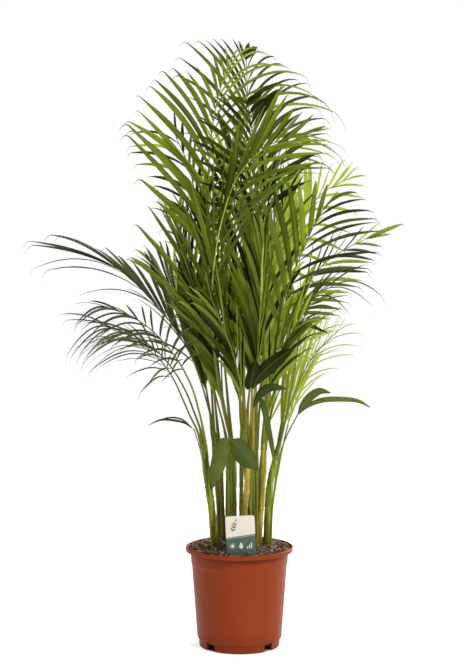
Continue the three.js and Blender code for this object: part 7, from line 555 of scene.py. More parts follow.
def pot_profile():
    lip = HIGH - LIP
    p = [(0, 2.6), (24, 2.6), (26, 3.4), (29.5, 10.6), (31, 12), (40, 12), (75.6, FLOOR)]
    p += [(77.6, 12.4), (79.0, 13.6), (79.7, 15.8), (wall(19.6) - WALL, 19.6)]
    p += [(wall(z) - WALL, z) for z in (40, 70, 100, 130, 160)]
    p += [(wall(BAND) - WALL + 0.1, BAND), (wall(BAND + 3) + STEP - WALL, BAND + 3), (wall(lip - 6) + STEP - WALL, lip - 6)]
    p += [(wall(lip) + STEP - WALL + 0.6, lip), (RIM - 3.6, HIGH - 3.2)]
    p += arc((RIM - 2.2, HIGH - 1.5), 1.4, 180, 90, 4)
    p += arc((RIM - 1.5, HIGH - 1.5), 1.5, 90, 0, 5)
    p += [(RIM, HIGH - 3.5), (RIM - 0.05, lip + 1.2)]
    p += arc((RIM - 0.9, lip + 0.9), 0.85, 0, -90, 3)
    p += [(RIM - 1.8, lip + 0.4), (RIM - 2.3, lip + 3.0), (wall(lip + 2) + STEP + 0.2, lip + 2.5), (wall(lip) + STEP, lip - 0.5)]
    p += [(wall(z) + STEP, z) for z in (lip - 6, 180, 172, BAND + 2.2)]
    p += [(wall(BAND + 1.6) + STEP - 0.15, BAND + 1.5), (wall(BAND + 0.8) + 0.45, BAND + 0.8), (wall(BAND) + 0.05, BAND + 0.2), (wall(BAND - 1), BAND - 1)]
    p += [(wall(z), z) for z in (150, 130, 110, 90, 70, 50, 30, 20)]
    p += [(wall(18), 18), (wall(17.4) - 0.2, 17.3), (wall(17) - 0.8, 16.8), (82.6, 15.9), (82.0, 15.2)]
    p += [(81.7, 8), (81.2, 1.2)] + arc((80.25, 1.0), 0.95, -10, -90, 3) + [(77.8, 0.03)]
    p += [(77.2, 0.4), (76.8, 7), (76.0, 9.0), (75.1, 9.4), (60, 9.4), (40, 9.4), (32.2, 9.4), (31.4, 8.8), (26.3, 0.5), (25.6, 0.03), (0, 0.03)]
    return p


def lathe(shape, profile, segs, mat=0, **att):
    p = np.array(profile, float)
    w = np.arange(segs) * 2 * np.pi / segs
    v = [[0, 0, p[0][1]]]
    for r, z in p[1:-1]:
        v += np.stack([r * np.cos(w), r * np.sin(w), np.full(segs, z)], 1).tolist()
    v.append([0, 0, p[-1][1]])
    f, n = [], len(p) - 2
    for k in range(segs):
        j = (k + 1) % segs
        f.append((0, 1 + k, 1 + j))
        f.append((len(v) - 1, 1 + (n - 1) * segs + j, 1 + (n - 1) * segs + k))
        for i in range(n - 1):
            a = 1 + i * segs
            f.append((a + k, a + segs + k, a + segs + j, a + j))
    shape.add(v, f, mat, **att)


def apply_modifiers(ob):
    dg = bpy.context.evaluated_depsgraph_get()
    me = bpy.data.meshes.new_from_object(ob.evaluated_get(dg))
    old = ob.data
    ob.modifiers.clear()
    ob.data = me
    me.name = ob.name
    bpy.data.meshes.remove(old)


def make_pot():
    s = Shape()
    lathe(s, pot_profile(), 144)
    ob = s.build("nursery_pot", [pot_mat])
    cut = bmesh.new()
    for deg in (45, 135, 225, 315):
        a = math.radians(deg)
        r = 0.0795
        m = Matrix.Translation((r * math.cos(a), r * math.sin(a), 0.0065)) @ Matrix.Rotation(a, 4, "Z")
        made = bmesh.ops.create_cube(cut, size=1.0, matrix=m @ Matrix.Diagonal((0.013, 0.0215, 0.0185, 1)))
    for x, y in ((51, 0), (-51, 0), (0, 51), (0, -51)):
        bmesh.ops.create_cone(cut, cap_ends=True, segments=28, radius1=0.006, radius2=0.006, depth=0.02, matrix=Matrix.Translation((x * 0.001, y * 0.001, 0.010)))
    me = bpy.data.meshes.new("cutters")
    cut.to_mesh(me)
    cut.free()
    cutter = bpy.data.objects.new("cutters", me)
    scene.collection.objects.link(cutter)
    mod = ob.modifiers.new("holes", "BOOLEAN")
    mod.object, mod.operation, mod.solver = cutter, "DIFFERENCE", "EXACT"
    apply_modifiers(ob)
    bpy.data.objects.remove(cutter)
    ob.data.materials.clear()
    ob.data.materials.append(pot_mat)
    ob.data.polygons.foreach_set("material_index", np.zeros(len(ob.data.polygons), np.int32))
    ob.data.polygons.foreach_set("use_smooth", np.full(len(ob.data.polygons), True))
    ob.data.set_sharp_from_angle(angle=math.radians(38))
    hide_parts("pot")
    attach(ob, "root")


make_pot()


# ---------------------------------------------------------------- soil
def soil_height(x, y):
    r = math.hypot(x, y)
    z = 199 + 12 * (1 - (r / 104) ** 2)
    flat = min(1.0, max(0.3, (103.5 - r) / 12))
    z += flat * (1.2 * math.sin(x * 0.21 + 1.3) * math.cos(y * 0.17 - 0.6) + math.sin(x * 0.43 - y * 0.37 + 2.1) * 0.7)
    z += flat * (1.6 * noise.noise((x * 0.16, y * 0.16, 3.0)) + 1.0 * noise.noise((x * 0.42, y * 0.42, 7.0)) + 0.5 * noise.noise((x * 1.1, y * 1.1, 1.0)))
    return z - 0.4


STEMS = [(c["p"][:3], c["r"][0]) for c in CANES] + [(y["p"][:3], y["r"][0]) for y in YOUNG]


def make_soil():
    rng = np.random.default_rng(11)
    s = Shape()
    segs = 150
    rings = [103.0] + [103.0 - 2.3 * (i + 1) for i in range(43)]
    w = np.arange(segs) * 2 * np.pi / segs
    v, f = [], []
    side = [(24.4, 2.95), (30.5, 12.35), (75.4, 12.35), (78.8, 16.4), (82.4, 20.4), (93.6, 166.0), (96.4, 190.6), (102.5, 198.4)]
    for r, z in side:
        v += [[r * math.cos(a), r * math.sin(a), z] for a in w]
    for r in rings:
        r = max(r, 1.5)
        v += [[r * math.cos(a), r * math.sin(a), soil_height(r * math.cos(a), r * math.sin(a))] for a in w]
    n = len(side) + len(rings)
    v += [[0, 0, 2.95], [0, 0, soil_height(0, 0)]]
    for i in range(n - 1):
        for k in range(segs):
            j = (k + 1) % segs
            a = i * segs
            f.append((a + k, a + j, a + segs + j, a + segs + k))
    for k in range(segs):
        j = (k + 1) % segs
        f.append((n * segs, j, k))
        f.append((n * segs + 1, (n - 1) * segs + k, (n - 1) * segs + j))
    s.add(v, f, 0, lr=0.35)
    ob = s.build("potting_mix_fill", [soil_mat])
    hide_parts("soil")
    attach(ob, "root")

    # bark chips and bits of fibre on the surface
    s = Shape()
    base = bmesh.new()
    bmesh.ops.create_icosphere(base, subdivisions=1, radius=1.0)
    bv = np.array([q.co[:] for q in base.verts])
    bf = [tuple(q.index for q in p.verts) for p in base.faces]
    base.free()
    made = 0
    for tries in range(8000):
        if made >= 1700:
            break
        big = rng.random() ** 2.2
        size = 1.1 + 3.6 * big
        r = 102.0 * math.sqrt(rng.random())
        if r + size * 1.3 > 102.6:
            r = 102.6 - size * 1.3
        a = rng.random() * 2 * math.pi
        x, y = r * math.cos(a), r * math.sin(a)
        if any(math.hypot(x - p[0], y - p[1]) < q + 0.6 + size * 0.4 for p, q in STEMS):
            continue
        if abs(x - 3) < 10 and abs(y + 85) < 2.5 + size:
            continue
        shape = np.array([1.0 + 0.9 * rng.random(), 0.55 + 0.5 * rng.random(), 0.28 + 0.32 * rng.random()]) * size
        q = bv * (1 + (rng.random((len(bv), 1)) - 0.5) * 0.55) * shape
        yaw, tilt, roll = rng.random() * 6.283, (rng.random() - 0.5) * 1.1, (rng.random() - 0.5) * 1.1
        rot = np.array((Matrix.Rotation(yaw, 3, "Z") @ Matrix.Rotation(tilt, 3, "X") @ Matrix.Rotation(roll, 3, "Y")))
        q = q @ rot.T + [x, y, soil_height(x, y) + size * 0.18]
        s.add(q, bf, 0, lr=rng.random())
        made += 1
    for k in range(110):
        a, r = rng.random() * 6.283, 95 * math.sqrt(rng.random())
        x, y = r * math.cos(a), r * math.sin(a)
        if any(math.hypot(x - p[0], y - p[1]) < q + 3 for p, q in STEMS) or (abs(x - 3) < 14 and y < -76):
            continue
        l, b = 5 + 9 * rng.random(), rng.random() * 6.283
        t = np.linspace(-0.5, 0.5, 5)
        px = x + t * l * math.cos(b)
        py = y + t * l * math.sin(b)
        pz = [soil_height(i, j) + 1.0 + 0.5 * rng.random() for i, j in zip(px, py)]
        pos = np.stack([px, py, pz], 1)
        tan = unit(np.gradient(pos, axis=0))
        tube(s, pos, tan, np.array([0.15, 0.35, 0.4, 0.35, 0.12]) * (0.8 + rng.random() * 0.7), 6, 0, lr=0.5 + 0.5 * rng.random())
    ob = s.build("bark_on_soil", [bark_mat], smooth=False)
    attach(ob, "root")


make_soil()


# ---------------------------------------------------------------- canes
def make_cane(i, c):
    rng = np.random.default_rng(100 + i)
    p = np.array(c["p"], float).reshape(-1, 3)
    s = Shape()
    length = np.linalg.norm(np.diff(p, axis=0), axis=1).sum()
    # leaf scars: close together low down, further apart above, none on the sheath
    scars, z = [], 52.0 + rng.random() * 14
    while z < length - 95:
        scars.append(z)
        z += 22 + 16 * rng.random() + 0.10 * z
    n = int(length / 2.2)
    t = np.linspace(0, 1, n)
    pos, tan = catmull(p, t)
    at = t * length
    r = c["r"][0] + (c["r"][1] - c["r"][0]) * t
    ring = np.zeros(n)
    for q in scars:
        d = at - q
        ring += np.exp(-((d / 1.3) ** 2))
        r = r + 0.55 * np.exp(-((d / 1.5) ** 2)) + 0.32 * np.exp(-((d - 4) / 5.0) ** 2) - 0.22 * np.exp(-((d + 4) / 3.5) ** 2)
    # the leaf sheath swells a little above the last scar, then narrows to the crown
    top = scars[-1] if scars else length - 110
    up = np.clip((at - top) / max(length - top, 1), 0, 1)
    r = r + 0.9 * np.sin(np.pi * np.clip(up, 0, 1)) ** 1.0 * (up > 0)
    r = r * (1 - 0.32 * np.clip((up - 0.72) / 0.28, 0, 1) ** 2)
    r = r * (1 + 0.02 * np.sin(at * 0.13 + i))
    tube(s, pos, tan, r, 20, 0, ch=t * 0.9 + 0.1 * np.sin(i), ring=np.clip(ring, 0, 1))
    # the split edge of the outer sheath, a thin dry margin that winds up the cane
    side = rng.random() * 6.283
    k = np.linspace(0, 1, 26)
    a0 = (top + 6) / length
    tt = a0 + (0.97 - a0) * k
    q, d = catmull(p, tt)
    rr = np.interp(tt, t, r)
    e1 = unit(np.cross(d, [0, 1, 0.2]))
    e2 = np.cross(d, e1)
    v, f, lt = [], [], []
    for m in range(len(k)):
        w = side + 0.9 * k[m]
        for h, (dw, lift) in enumerate(((0.0, 0.12), (0.28, 0.35), (0.55, 0.75 - 0.3 * k[m]))):
            out = math.cos(w + dw) * e1[m] + math.sin(w + dw) * e2[m]
            v.append(q[m] + out * (rr[m] + lift * (1 - abs(2 * k[m] - 1) ** 6)))
    for m in range(len(k) - 1):
        for h in range(2):
            a = m * 3 + h
            f.append((a, a + 1, a + 4, a + 3))
    s.add(v, f, 0, ch=0.95, ring=0.35)
    ob = s.build("ringed_" + c["name"], [cane_mats[c["tone"]]])
    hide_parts(c["name"])
    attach(ob, "root")


for i, c in enumerate(CANES):
    make_cane(i, c)

# ---------------------------------------------------------------- fronds
# tone and grey for each frond, or a pair for each side: the frond's own green together with painted light, darker where
# a frond stands in shade and paler where it is backlit, and grey a painted sheen
TONE_WITH_PAINTED_LIGHT = {"m": (0.52, 0.0), "d": (0.20, 0.1), "l": (0.92, 0.0), "g": (0.34, 0.55)}
TONES_WITH_PAINTED_LIGHT = {
    "frond_01": (0.18, 0.8, 0.30, 0.8), "frond_02": (0.72, 1.0, 0.60, 1.0), "frond_03": (0.22, 0.75, 0.30, 0.65), "frond_04": (0.05, 0.4, 0.36, 0.5),
    "frond_05": (0.56, 0.0, 0.52, 0.10), "frond_06": (0.70, 0.05, 0.74, 0.20), "frond_07": (0.26, 0.40, 0.14, 0.6), "frond_08": (0.15, 0.15, 0.06, 0.15),
    "frond_09": (0.32, 0.15, 0.20, 0.35), "frond_10": (1.12, 0.0, 0.86, 0.0), "frond_11": (0.62, 0.1, 0.10, 0.25), "frond_12": (0.52, 0.0, 0.58, 0.55),
    "frond_13": (0.95, 0.6, 0.80, 0.85), "frond_14": (0.64, 0.2, 0.50, 0.0), "frond_15": (1.82, 0.15, 1.62, 0.15), "frond_16": (1.30, 0.10, 1.2, 0.10),
    "frond_17": (0.68, 0.0), "frond_18": (0.80, 0.0, 0.64, 0.0), "frond_19": (0.98, 0.3, 0.82, 0.05), "frond_20": (1.0, 0.0),
    "frond_21": (0.58, 0.15, 0.54, 0.0), "frond_22": (1.10, 0.0), "frond_23": (0.44, 0.0, 0.12, 0.0), "frond_24": (0.86, 0.05),
    "frond_25": (1.3, 0.0), "frond_26": (1.25, 0.05, 1.12, 0.25), "frond_27": (0.12, 0.1), "frond_28": (0.78, 0.0, 0.94, 0.0),
    "frond_29": (0.78, 0.0, 0.50, 0.0), "frond_30": (1.36, 0.0, 1.46, 0.0), "frond_31": (0.46, 0.0, 0.30, 0.0),
}
# grey, the painted sheen, grows towards the tips of these outer fronds
OUTER = {"frond_01": 0.8, "frond_02": 0.8, "frond_03": 0.7, "frond_04": 1.3, "frond_07": 0.3}
GOLD = {"frond_05": 1.0, "frond_18": 1.0, "frond_28": 0.85, "frond_07": 0.3, "frond_10": 0.4, "frond_06": 0.3, "frond_20": 0.4, "frond_21": 0.35, "frond_14": 0.5}
GOLD_SPANS = {
    "frond_05": [(0.0, 0.1, 1), (0.34, 0.15, 1), (0.43, 0.9, 0.75), (0.78, 0.9, 0.75), (0.9, 0.5, 0.8), (1.0, 0.4, 1)],
    "frond_18": [(0.0, 0.95, 1), (0.26, 0.9, 1), (0.34, 0.3, 1), (0.68, 0.4, 1), (0.75, 1.0, 2.0), (0.84, 1.0, 2.4), (0.93, 1.0, 1.9), (1.0, 0.8, 1)],
    "frond_28": [(0.0, 1.0, 1), (0.24, 0.9, 1), (0.34, 0.3, 1), (1.0, 0.3, 1)],
}
# how much the leaflets of one frond differ in tone
VARY = {"frond_05": 0.45, "frond_06": 0.40, "frond_07": 0.40, "frond_08": 0.35, "frond_10": 0.5, "frond_11": 0.6, "frond_01": 0.5, "frond_02": 0.5, "frond_03": 0.5, "frond_04": 0.4}
# fronds of the crown's middle, where leaflets stand closer together
DENSE = {"frond_17": 0.9, "frond_18": 0.9, "frond_19": 0.8, "frond_20": 0.9, "frond_21": 0.9, "frond_28": 0.9, "frond_29": 0.9, "frond_30": 0.8, "frond_31": 0.9, "frond_23": 0.85, "frond_24": 0.85}


def with_between(rows, scale, rng, shade=-0.85):
    """The rows, and one darker leaflet between and a little behind each two neighbours on one side; its darkness is
    painted shade.
    """
    out = list(rows)
    for sign in (-1, 1):
        side = sorted([r for r in rows if (r[7] > 0) == (sign > 0)], key=lambda r: r[0])
        for a, b in zip(side[:-1], side[1:]):
            if b[0] - a[0] > 0.16 or math.dist(a[1:4], b[1:4]) > 150:
                continue
            k = 0.4 + 0.2 * rng.random()
            mid = [x * (1 - k) + y * k for x, y in zip(a, b)]
            mid[1:4] = [x + 10 * (rng.random() - 0.5) for x in mid[1:4]]
            mid[2] += 8
            mid[6] *= scale
            out.append(mid + [shade])
    return out


SLIM = {"frond_17": 0.73, "frond_18": 0.73, "frond_21": 0.73, "frond_28": 0.73, "frond_29": 0.73, "frond_31": 0.73, "frond_02": 1.05, "frond_03": 1.05, "frond_15": 0.66, "frond_16": 0.70, "frond_26": 0.85, "frond_13": 0.85}
SEC = np.array([0, 0.025, 0.06, 0.11, 0.17, 0.24, 0.32, 0.40, 0.48, 0.56, 0.64, 0.71, 0.77, 0.83, 0.88, 0.925, 0.96, 1.0])
WIDE = ([0, 0.04, 0.10, 0.20, 0.32, 0.50, 0.64, 0.76, 0.86, 0.93, 1.0], [0.26, 0.42, 0.72, 0.95, 1.0, 0.98, 0.86, 0.62, 0.30, 0.12, 0.03])
DOWN = np.array([0, 0, -1.0])


def leaflet(shape, frm, along, row, rng, tone, grey, hook, vary):
    tip = np.array(row[1:4], float)
    arch, sweep, width, twist = row[4:8]
    chord = tip - frm
    L = np.linalg.norm(chord)
    c = chord / L
    first = unit(c + np.array([0, 0, 1.0]) * arch + along * sweep)
    p1 = frm + first * L * 0.38
    p2 = frm + c * L * 0.62 + np.array([0, 0, 1.0]) * arch * L * 0.30 + along * sweep * L * 0.08
    d_end = unit(tip - p2)
    extra = L * hook * (0.05 + 0.10 * rng.random())
    sm = L / (L + extra)
    pos = []
    for x in SEC:
        if x <= sm:
            u = x / sm
            w = 1 - u
            pos.append(w**3 * frm + 3 * w * w * u * p1 + 3 * w * u * u * p2 + u**3 * tip)
        else:
            e = (x - sm) * (L + extra)
            pos.append(tip + d_end * e * 0.75 + DOWN * (e * 0.35 + e * e / max(extra, 1) * 0.55))
    pos = np.array(pos)
    d = unit(np.gradient(pos, axis=0))
    k0 = 6
    flat = unit(along - d[k0] * np.dot(along, d[k0]))
    lats = [None] * len(pos)
    lats[k0] = flat
    for k in range(k0 + 1, len(pos)):
        lats[k] = unit(lats[k - 1] - d[k] * np.dot(lats[k - 1], d[k]))
    for k in range(k0 - 1, -1, -1):
        lats[k] = unit(lats[k + 1] - d[k] * np.dot(lats[k + 1], d[k]))
    lats = np.array(lats)
    drift = (rng.random() - 0.5) * 1.1
    tw = twist + drift * (SEC - 0.3)
    side = np.cross(d, lats)
    lat = lats * np.cos(tw)[:, None] + side * np.sin(tw)[:, None]
    up = np.cross(d, lat)
    if up[k0][2] < 0:
        up, lat = -up, -lat
    h = width * np.interp(SEC, *WIDE) / 2 * 1.06
    fold = np.interp(SEC, [0, 0.15, 0.5, 0.8, 1], [0.85, 0.55, 0.36, 0.25, 0.1]) * (0.8 + 0.5 * rng.random())
    ph = rng.random(2) * 6.283
    fr = 2.0 + 2.5 * rng.random()
    rows = []
    for sgn, f0 in ((-1, 0), (1, 1)):
        wave = np.sin(SEC * 6.283 * fr + ph[f0]) * 0.07 * h
        edge = pos + lat * (sgn * h * np.cos(fold))[:, None] - up * (h * np.sin(fold) + wave)[:, None]
        mid = pos + lat * (sgn * h * 0.52 * np.cos(fold * 0.85))[:, None] - up * (h * 0.52 * np.sin(fold * 0.85) + wave * 0.3)[:, None]
        rows.append([edge, mid, pos] if sgn < 0 else [pos, mid, edge])
    v = np.stack(rows[0] + rows[1], axis=1)  # sections, 6, 3
    n = len(SEC)
    f = []
    for k in range(n - 1):
        a, b = k * 6, (k + 1) * 6
        for j in (0, 1, 3, 4):
            f.append((a + j, b + j, b + j + 1, a + j + 1))
    shape.add(v.reshape(-1, 3), f, 0 if grey < 0.2 else 2 if grey < 0.5 else 3, lt=np.repeat(SEC, 6), lv=np.tile([-1, -0.5, 0, 0, 0.5, 1.0], n), lr=0.5 + vary * (rng.random() - 0.5), tone=tone + 0.10 * (rng.random() - 0.5), grey=grey)


def make_frond(i, fr):
    rng = np.random.default_rng(500 + i)
    p = np.array(fr["p"], float).reshape(-1, 3)
    s = Shape()
    look = TONES_WITH_PAINTED_LIGHT.get(fr["name"], TONE_WITH_PAINTED_LIGHT[fr["tone"]])
    drift = OUTER.get(fr["name"], 0.0)
    gold = GOLD.get(fr["name"], 0.02 + 0.16 * rng.random())
    slim, vary = SLIM.get(fr["name"], 0.82 if fr["name"] in DENSE else 1.0), VARY.get(fr["name"], 2.1)
    rows = with_between(fr["l"], DENSE[fr["name"]], rng) if fr["name"] in DENSE else fr["l"]
    for row in rows:
        row = row[:6] + [row[6] * slim] + row[7:]
        q, d = catmull(p, [row[0]])
        tone, grey = look[2:4] if len(look) > 2 and row[7] > 0 else look[:2]
        # painted light: the other leaflets of a dense frond are drawn paler, the ones between darker as painted shade
        tone += row[8] if len(row) > 8 else 0.30 if fr["name"] in DENSE else 0.0
        grey = min(1.0, max(0.0, grey + drift * (row[0] - 0.6)))
        leaflet(s, q[0], d[0], row, rng, tone, grey, 1.0, vary)
    # stalk and midrib, from inside the sheath to the tip
    n = 64
    t = np.linspace(0, 1, n) ** 0.9
    pos, tan = catmull(p, t)
    down = np.array([pos[0] - tan[0] * k for k in (26, 13)])
    pos = np.vstack([down, pos])
    tan = np.vstack([tan[:1], tan[:1], tan])
    t = np.concatenate([[0, 0], t])
    r0, r1 = fr["r"]
    r = r0 + (r1 - r0) * t ** 0.85
    r = r * (1 + 0.75 * np.clip(1 - t / 0.16, 0, 1) ** 1.6)
    r[:2] *= 0.9
    r[-1] *= 0.35
    span = GOLD_SPANS.get(fr["name"])
    if span:
        gold = gold * np.interp(t, [q[0] for q in span], [q[1] for q in span])
        r = r * np.interp(t, [q[0] for q in span], [q[2] for q in span])
    tube(s, pos, tan, r, 10, 1, groove=0.28, st=t, gold=gold, lr=rng.random())
    ob = s.build("palm_" + fr["name"], [leaf, stalk, leaf_satin, leaf_waxy])
    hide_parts(fr["name"])
    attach(ob, "root")


for i, fr in enumerate(FRONDS):
    make_frond(i, fr)


# ---------------------------------------------------------------- young leaves
def broad_blade(shape, path, width, rng, tone, grey):
    n = 30
    path = np.array(path, float).reshape(-1, 3)
    t = np.linspace(0, 1, n)
    pos, d = catmull(path, t)
    face = unit([0, -1, 0.35])
    lat = unit(np.cross(d, face))
    up = np.cross(lat, d)
    tw = (rng.random() - 0.5) * 0.9 * (t - 0.3)
    lat, up = lat * np.cos(tw)[:, None] + up * np.sin(tw)[:, None], up * np.cos(tw)[:, None] - lat * np.sin(tw)[:, None]
    h = width / 2 * np.interp(t, [0, 0.05, 0.16, 0.34, 0.52, 0.72, 0.86, 0.95, 1], [0.10, 0.30, 0.72, 0.97, 1.0, 0.82, 0.52, 0.24, 0.03])
    fold = np.interp(t, [0, 0.2, 0.7, 1], [0.8, 0.42, 0.26, 0.15])
    across = np.array([-1, -0.75, -0.5, -0.25, 0.0])
    ph = rng.random(2) * 6.283
    v, lv, lt = [], [], []
    for k in range(n):
        for sgn in (-1, 1):
            xs = across if sgn < 0 else -across[::-1]
            wave = 0.06 * h[k] * math.sin(t[k] * 6.283 * 2.2 + ph[0 if sgn < 0 else 1])
            for x in xs:
                ax = abs(x)
                pleat = 0.022 * h[k] * math.cos(ax * 6.283 * 3.0) * math.sin(math.pi * t[k])
                v.append(pos[k] + lat[k] * x * h[k] * math.cos(fold[k]) - up[k] * (ax * h[k] * math.sin(fold[k]) * (0.75 + 0.25 * ax) + wave * ax * ax + pleat))
                lv.append(x)
                lt.append(t[k])
    f = []
    for k in range(n - 1):
        for j in (0, 1, 2, 3, 5, 6, 7, 8):
            a = k * 10 + j
            f.append((a, a + 1, a + 11, a + 10))
    shape.add(v, f, 0, lt=lt, lv=lv, lr=rng.random(), tone=tone, grey=grey)


# tone and grey for the young leaves and some single blades: their own green with painted light, grey a painted sheen
YTONE_WITH_PAINTED_LIGHT = {"young_leaf_front": 1.15, "young_leaf_strap": 0.35, "young_leaf_right": 0.65, "young_leaf_centre": -0.15, "young_leaf_left": 0.4}
YGREY_PAINTED_SHEEN = {"young_leaf_right": 0.35, "young_leaf_left": 0.85, "young_leaf_front": 0.10}
YBLADE = {("young_leaf_centre", 2): (0.75, 0.45), ("young_leaf_right", 1): (0.9, 0.30), ("young_leaf_front", 1): (0.95, 0.20)}


def narrow_blades(shape, path, width, rng, tone):
    """A newly opened blade, already split along its folds into narrow strips."""
    path = np.array(path, float).reshape(-1, 3)
    t = np.linspace(0, 1, 9)
    pos, d = catmull(path, t)
    lat = unit(np.cross(d, unit([0, -1, 0.35])))
    h = width / 2 * np.interp(t, [0, 0.3, 0.6, 1], [0.1, 0.8, 1.0, 0.9])
    for off, wide, long in ((-0.62, 0.42, 0.93), (0.0, 0.5, 1.0), (0.62, 0.42, 0.88)):
        q, _ = catmull(pos + lat * (off * h)[:, None], t * long)
        broad_blade(shape, q, width * wide, rng, tone + 0.5 * (rng.random() - 0.5), 0.1)


# high tones, which bring the pale colour of painted backlight
SHOOT = {"young_shoot_right": 1.65, "young_shoot_back_right": 1.8, "young_shoot_far_right": 1.85}
for i, y in enumerate(YOUNG):
    rng = np.random.default_rng(900 + i)
    s = Shape()
    for k, b in enumerate(y["blades"]):
        if y["name"] in SHOOT:
            narrow_blades(s, b["p"], b["w"], rng, SHOOT[y["name"]])
        else:
            broad_blade(s, b["p"], b["w"] * (0.80 if y["name"] == "young_leaf_centre" and k < 2 else 1.04), rng, *YBLADE.get((y["name"], k), (YTONE_WITH_PAINTED_LIGHT[y["name"]], YGREY_PAINTED_SHEEN.get(y["name"], 0.0))))
    p = np.array(y["p"], float).reshape(-1, 3)
    t = np.linspace(0, 1, 48)
    pos, tan = catmull(p, t)
    r = y["r"][0] + (y["r"][1] - y["r"][0]) * t
    r = r * (1 + 0.45 * np.clip(1 - (t - 0.12) / 0.25, 0, 1))
    tube(s, pos, tan, r, 10, 1, groove=0.2, st=t * 0.8, gold=0.12, lr=rng.random())
    ob = s.build("grown_" + y["name"], [leaf if y["name"] in SHOOT else young, stalk])
    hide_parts(y["name"])
    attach(ob, "root")

# ---------------------------------------------------------------- label
LW, LH, LT, LC = 58.0, 78.0, 0.9, 5.0
LM = (
    Matrix.Translation((0.004, -0.0845, 0.1995))
    @ Matrix.Rotation(math.radians(-2), 4, "Z")
    @ Matrix.Rotation(math.radians(-6), 4, "X")
    @ Matrix.Rotation(math.radians(-3), 4, "Y")
    @ Matrix.Rotation(math.radians(90), 4, "X")
)


def label_material():
    """A printed card: pale cream above a straight line, dark grey-green below it."""
    m, nt = material("label_card_print")
    y = attr(nt, "ly")
    x = attr(nt, "lx")
    paper = texture(nt, 700.0, 3.0, 0.6)
    line = calc(nt, "SUBTRACT", y, calc(nt, "MULTIPLY", x, 0.10))
    part = between(nt, line, 38.3, 38.7, 0.0, 1.0)
    band = calc(nt, "MULTIPLY", between(nt, line, 35.3, 35.6), between(nt, line, 36.8, 37.1, 1.0, 0.0))
    below = between(nt, y, -1.5, -0.5, 0.0, 1.0)
    col = blend(nt, part, (0.062, 0.112, 0.086), (0.78, 0.715, 0.61))
    col = blend(nt, band, col, (0.30, 0.38, 0.20))
    col = blend(nt, below, (0.80, 0.76, 0.68), col)
    col = blend(nt, between(nt, paper, 0.35, 0.8, 0.0, 0.07), col, (0.5, 0.5, 0.45))
    nrm = bump(nt, paper, 0.12, 0.0001)
    output(nt, principled(nt, col, between(nt, paper, 0.3, 0.7, 0.30, 0.38), nrm).outputs[0])
    return m


def ink_material(name, colour):
    m, nt = material(name)
    grain = texture(nt, 900.0, 2.0, 0.5)
    col = blend(nt, between(nt, grain, 0.4, 0.8, 0.0, 0.2), colour, tuple(c * 0.7 for c in colour))
    output(nt, principled(nt, col, between(nt, grain, 0.3, 0.7, 0.32, 0.42)).outputs[0])
    return m


def make_label():
    w, k, d = LW / 2, 9.0, 50.0
    pts = [(k, 0), (w - 3, 0), (w, 3)]
    pts += arc((w - LC, LH - LC), LC, 0, 90, 10)
    pts += arc((-w + LC, LH - LC), LC, 90, 180, 10)
    pts += [(-w, 3), (-w + 3, 0), (-k, 0), (-k, -d + 10), (0, -d), (k, -d + 10)]
    bm = bmesh.new()
    face = bm.faces.new([bm.verts.new((x, y, -LT / 2)) for x, y in pts])
    out = bmesh.ops.extrude_face_region(bm, geom=[face])
    for g in out["geom"]:
        if isinstance(g, bmesh.types.BMVert):
            g.co.z = LT / 2
    bmesh.ops.recalc_face_normals(bm, faces=bm.faces)
    rims = [e for e in bm.edges if abs(e.verts[0].co.z - e.verts[1].co.z) < 1e-6]
    bmesh.ops.bevel(bm, geom=rims, offset=0.22, segments=2, affect="EDGES", profile=0.5)
    # slice the plate so that it can bow slightly
    for y in range(-40, 78, 6):
        bmesh.ops.bisect_plane(bm, geom=bm.verts[:] + bm.edges[:] + bm.faces[:], plane_co=(0, y, 0), plane_no=(0, 1, 0))
    for x in (-22, -15, -8, 0, 8, 15, 22):
        bmesh.ops.bisect_plane(bm, geom=bm.verts[:] + bm.edges[:] + bm.faces[:], plane_co=(x, 0, 0), plane_no=(1, 0, 0))
    me = bpy.data.meshes.new("plant_label_card")
    bm.to_mesh(me)
    bm.free()
    co = np.zeros(len(me.vertices) * 3)
    me.vertices.foreach_get("co", co)
    co = co.reshape(-1, 3)
    for key, col in (("lx", 0), ("ly", 1)):
        at = me.attributes.new(key, "FLOAT", "POINT")
        at.data.foreach_set("value", co[:, col].astype(np.float32))
    bend = co.copy()
    bend[:, 2] += bow(co[:, 0], co[:, 1])
    mm = np.array(LM)
    world = bend * 0.001 @ mm[:3, :3].T + mm[:3, 3]
    me.vertices.foreach_set("co", world.ravel())
    me.materials.append(label_material())
    me.polygons.foreach_set("use_smooth", np.full(len(me.polygons), True))
    me.set_sharp_from_angle(angle=math.radians(40))
    me.update()
    ob = bpy.data.objects.new("plant_label_card", me)
    scene.collection.objects.link(ob)
    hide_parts("plant_label")
    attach(ob, "root")


def bow(x, y):
    return -0.9 * (np.asarray(x) / 30.0) ** 2 * np.clip(np.asarray(y) / 84.0, 0, 1)


def ink(name, polys, mat):
    """Flat printed motifs on the card's front; polys are lists of (x, y) in card millimetres."""
    s = Shape()
    for poly in polys:
        p = np.array(poly, float)
        z = LT / 2 + 0.06 + bow(p[:, 0], p[:, 1])
        front = np.column_stack([p, z])
        back = np.column_stack([p, z - 0.12])
        n = len(p)
        f = [tuple(range(n)), tuple(reversed(range(n, 2 * n)))]
        f += [(i, n + i, n + (i + 1) % n, (i + 1) % n) for i in range(n)]
        mm = np.array(LM)
        v = np.vstack([front, back]) * 0.001 @ mm[:3, :3].T + mm[:3, 3]
        s.add(v * 1000, f, 0)
    ob = s.build(name, [mat], smooth=False)
    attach(ob, "root")


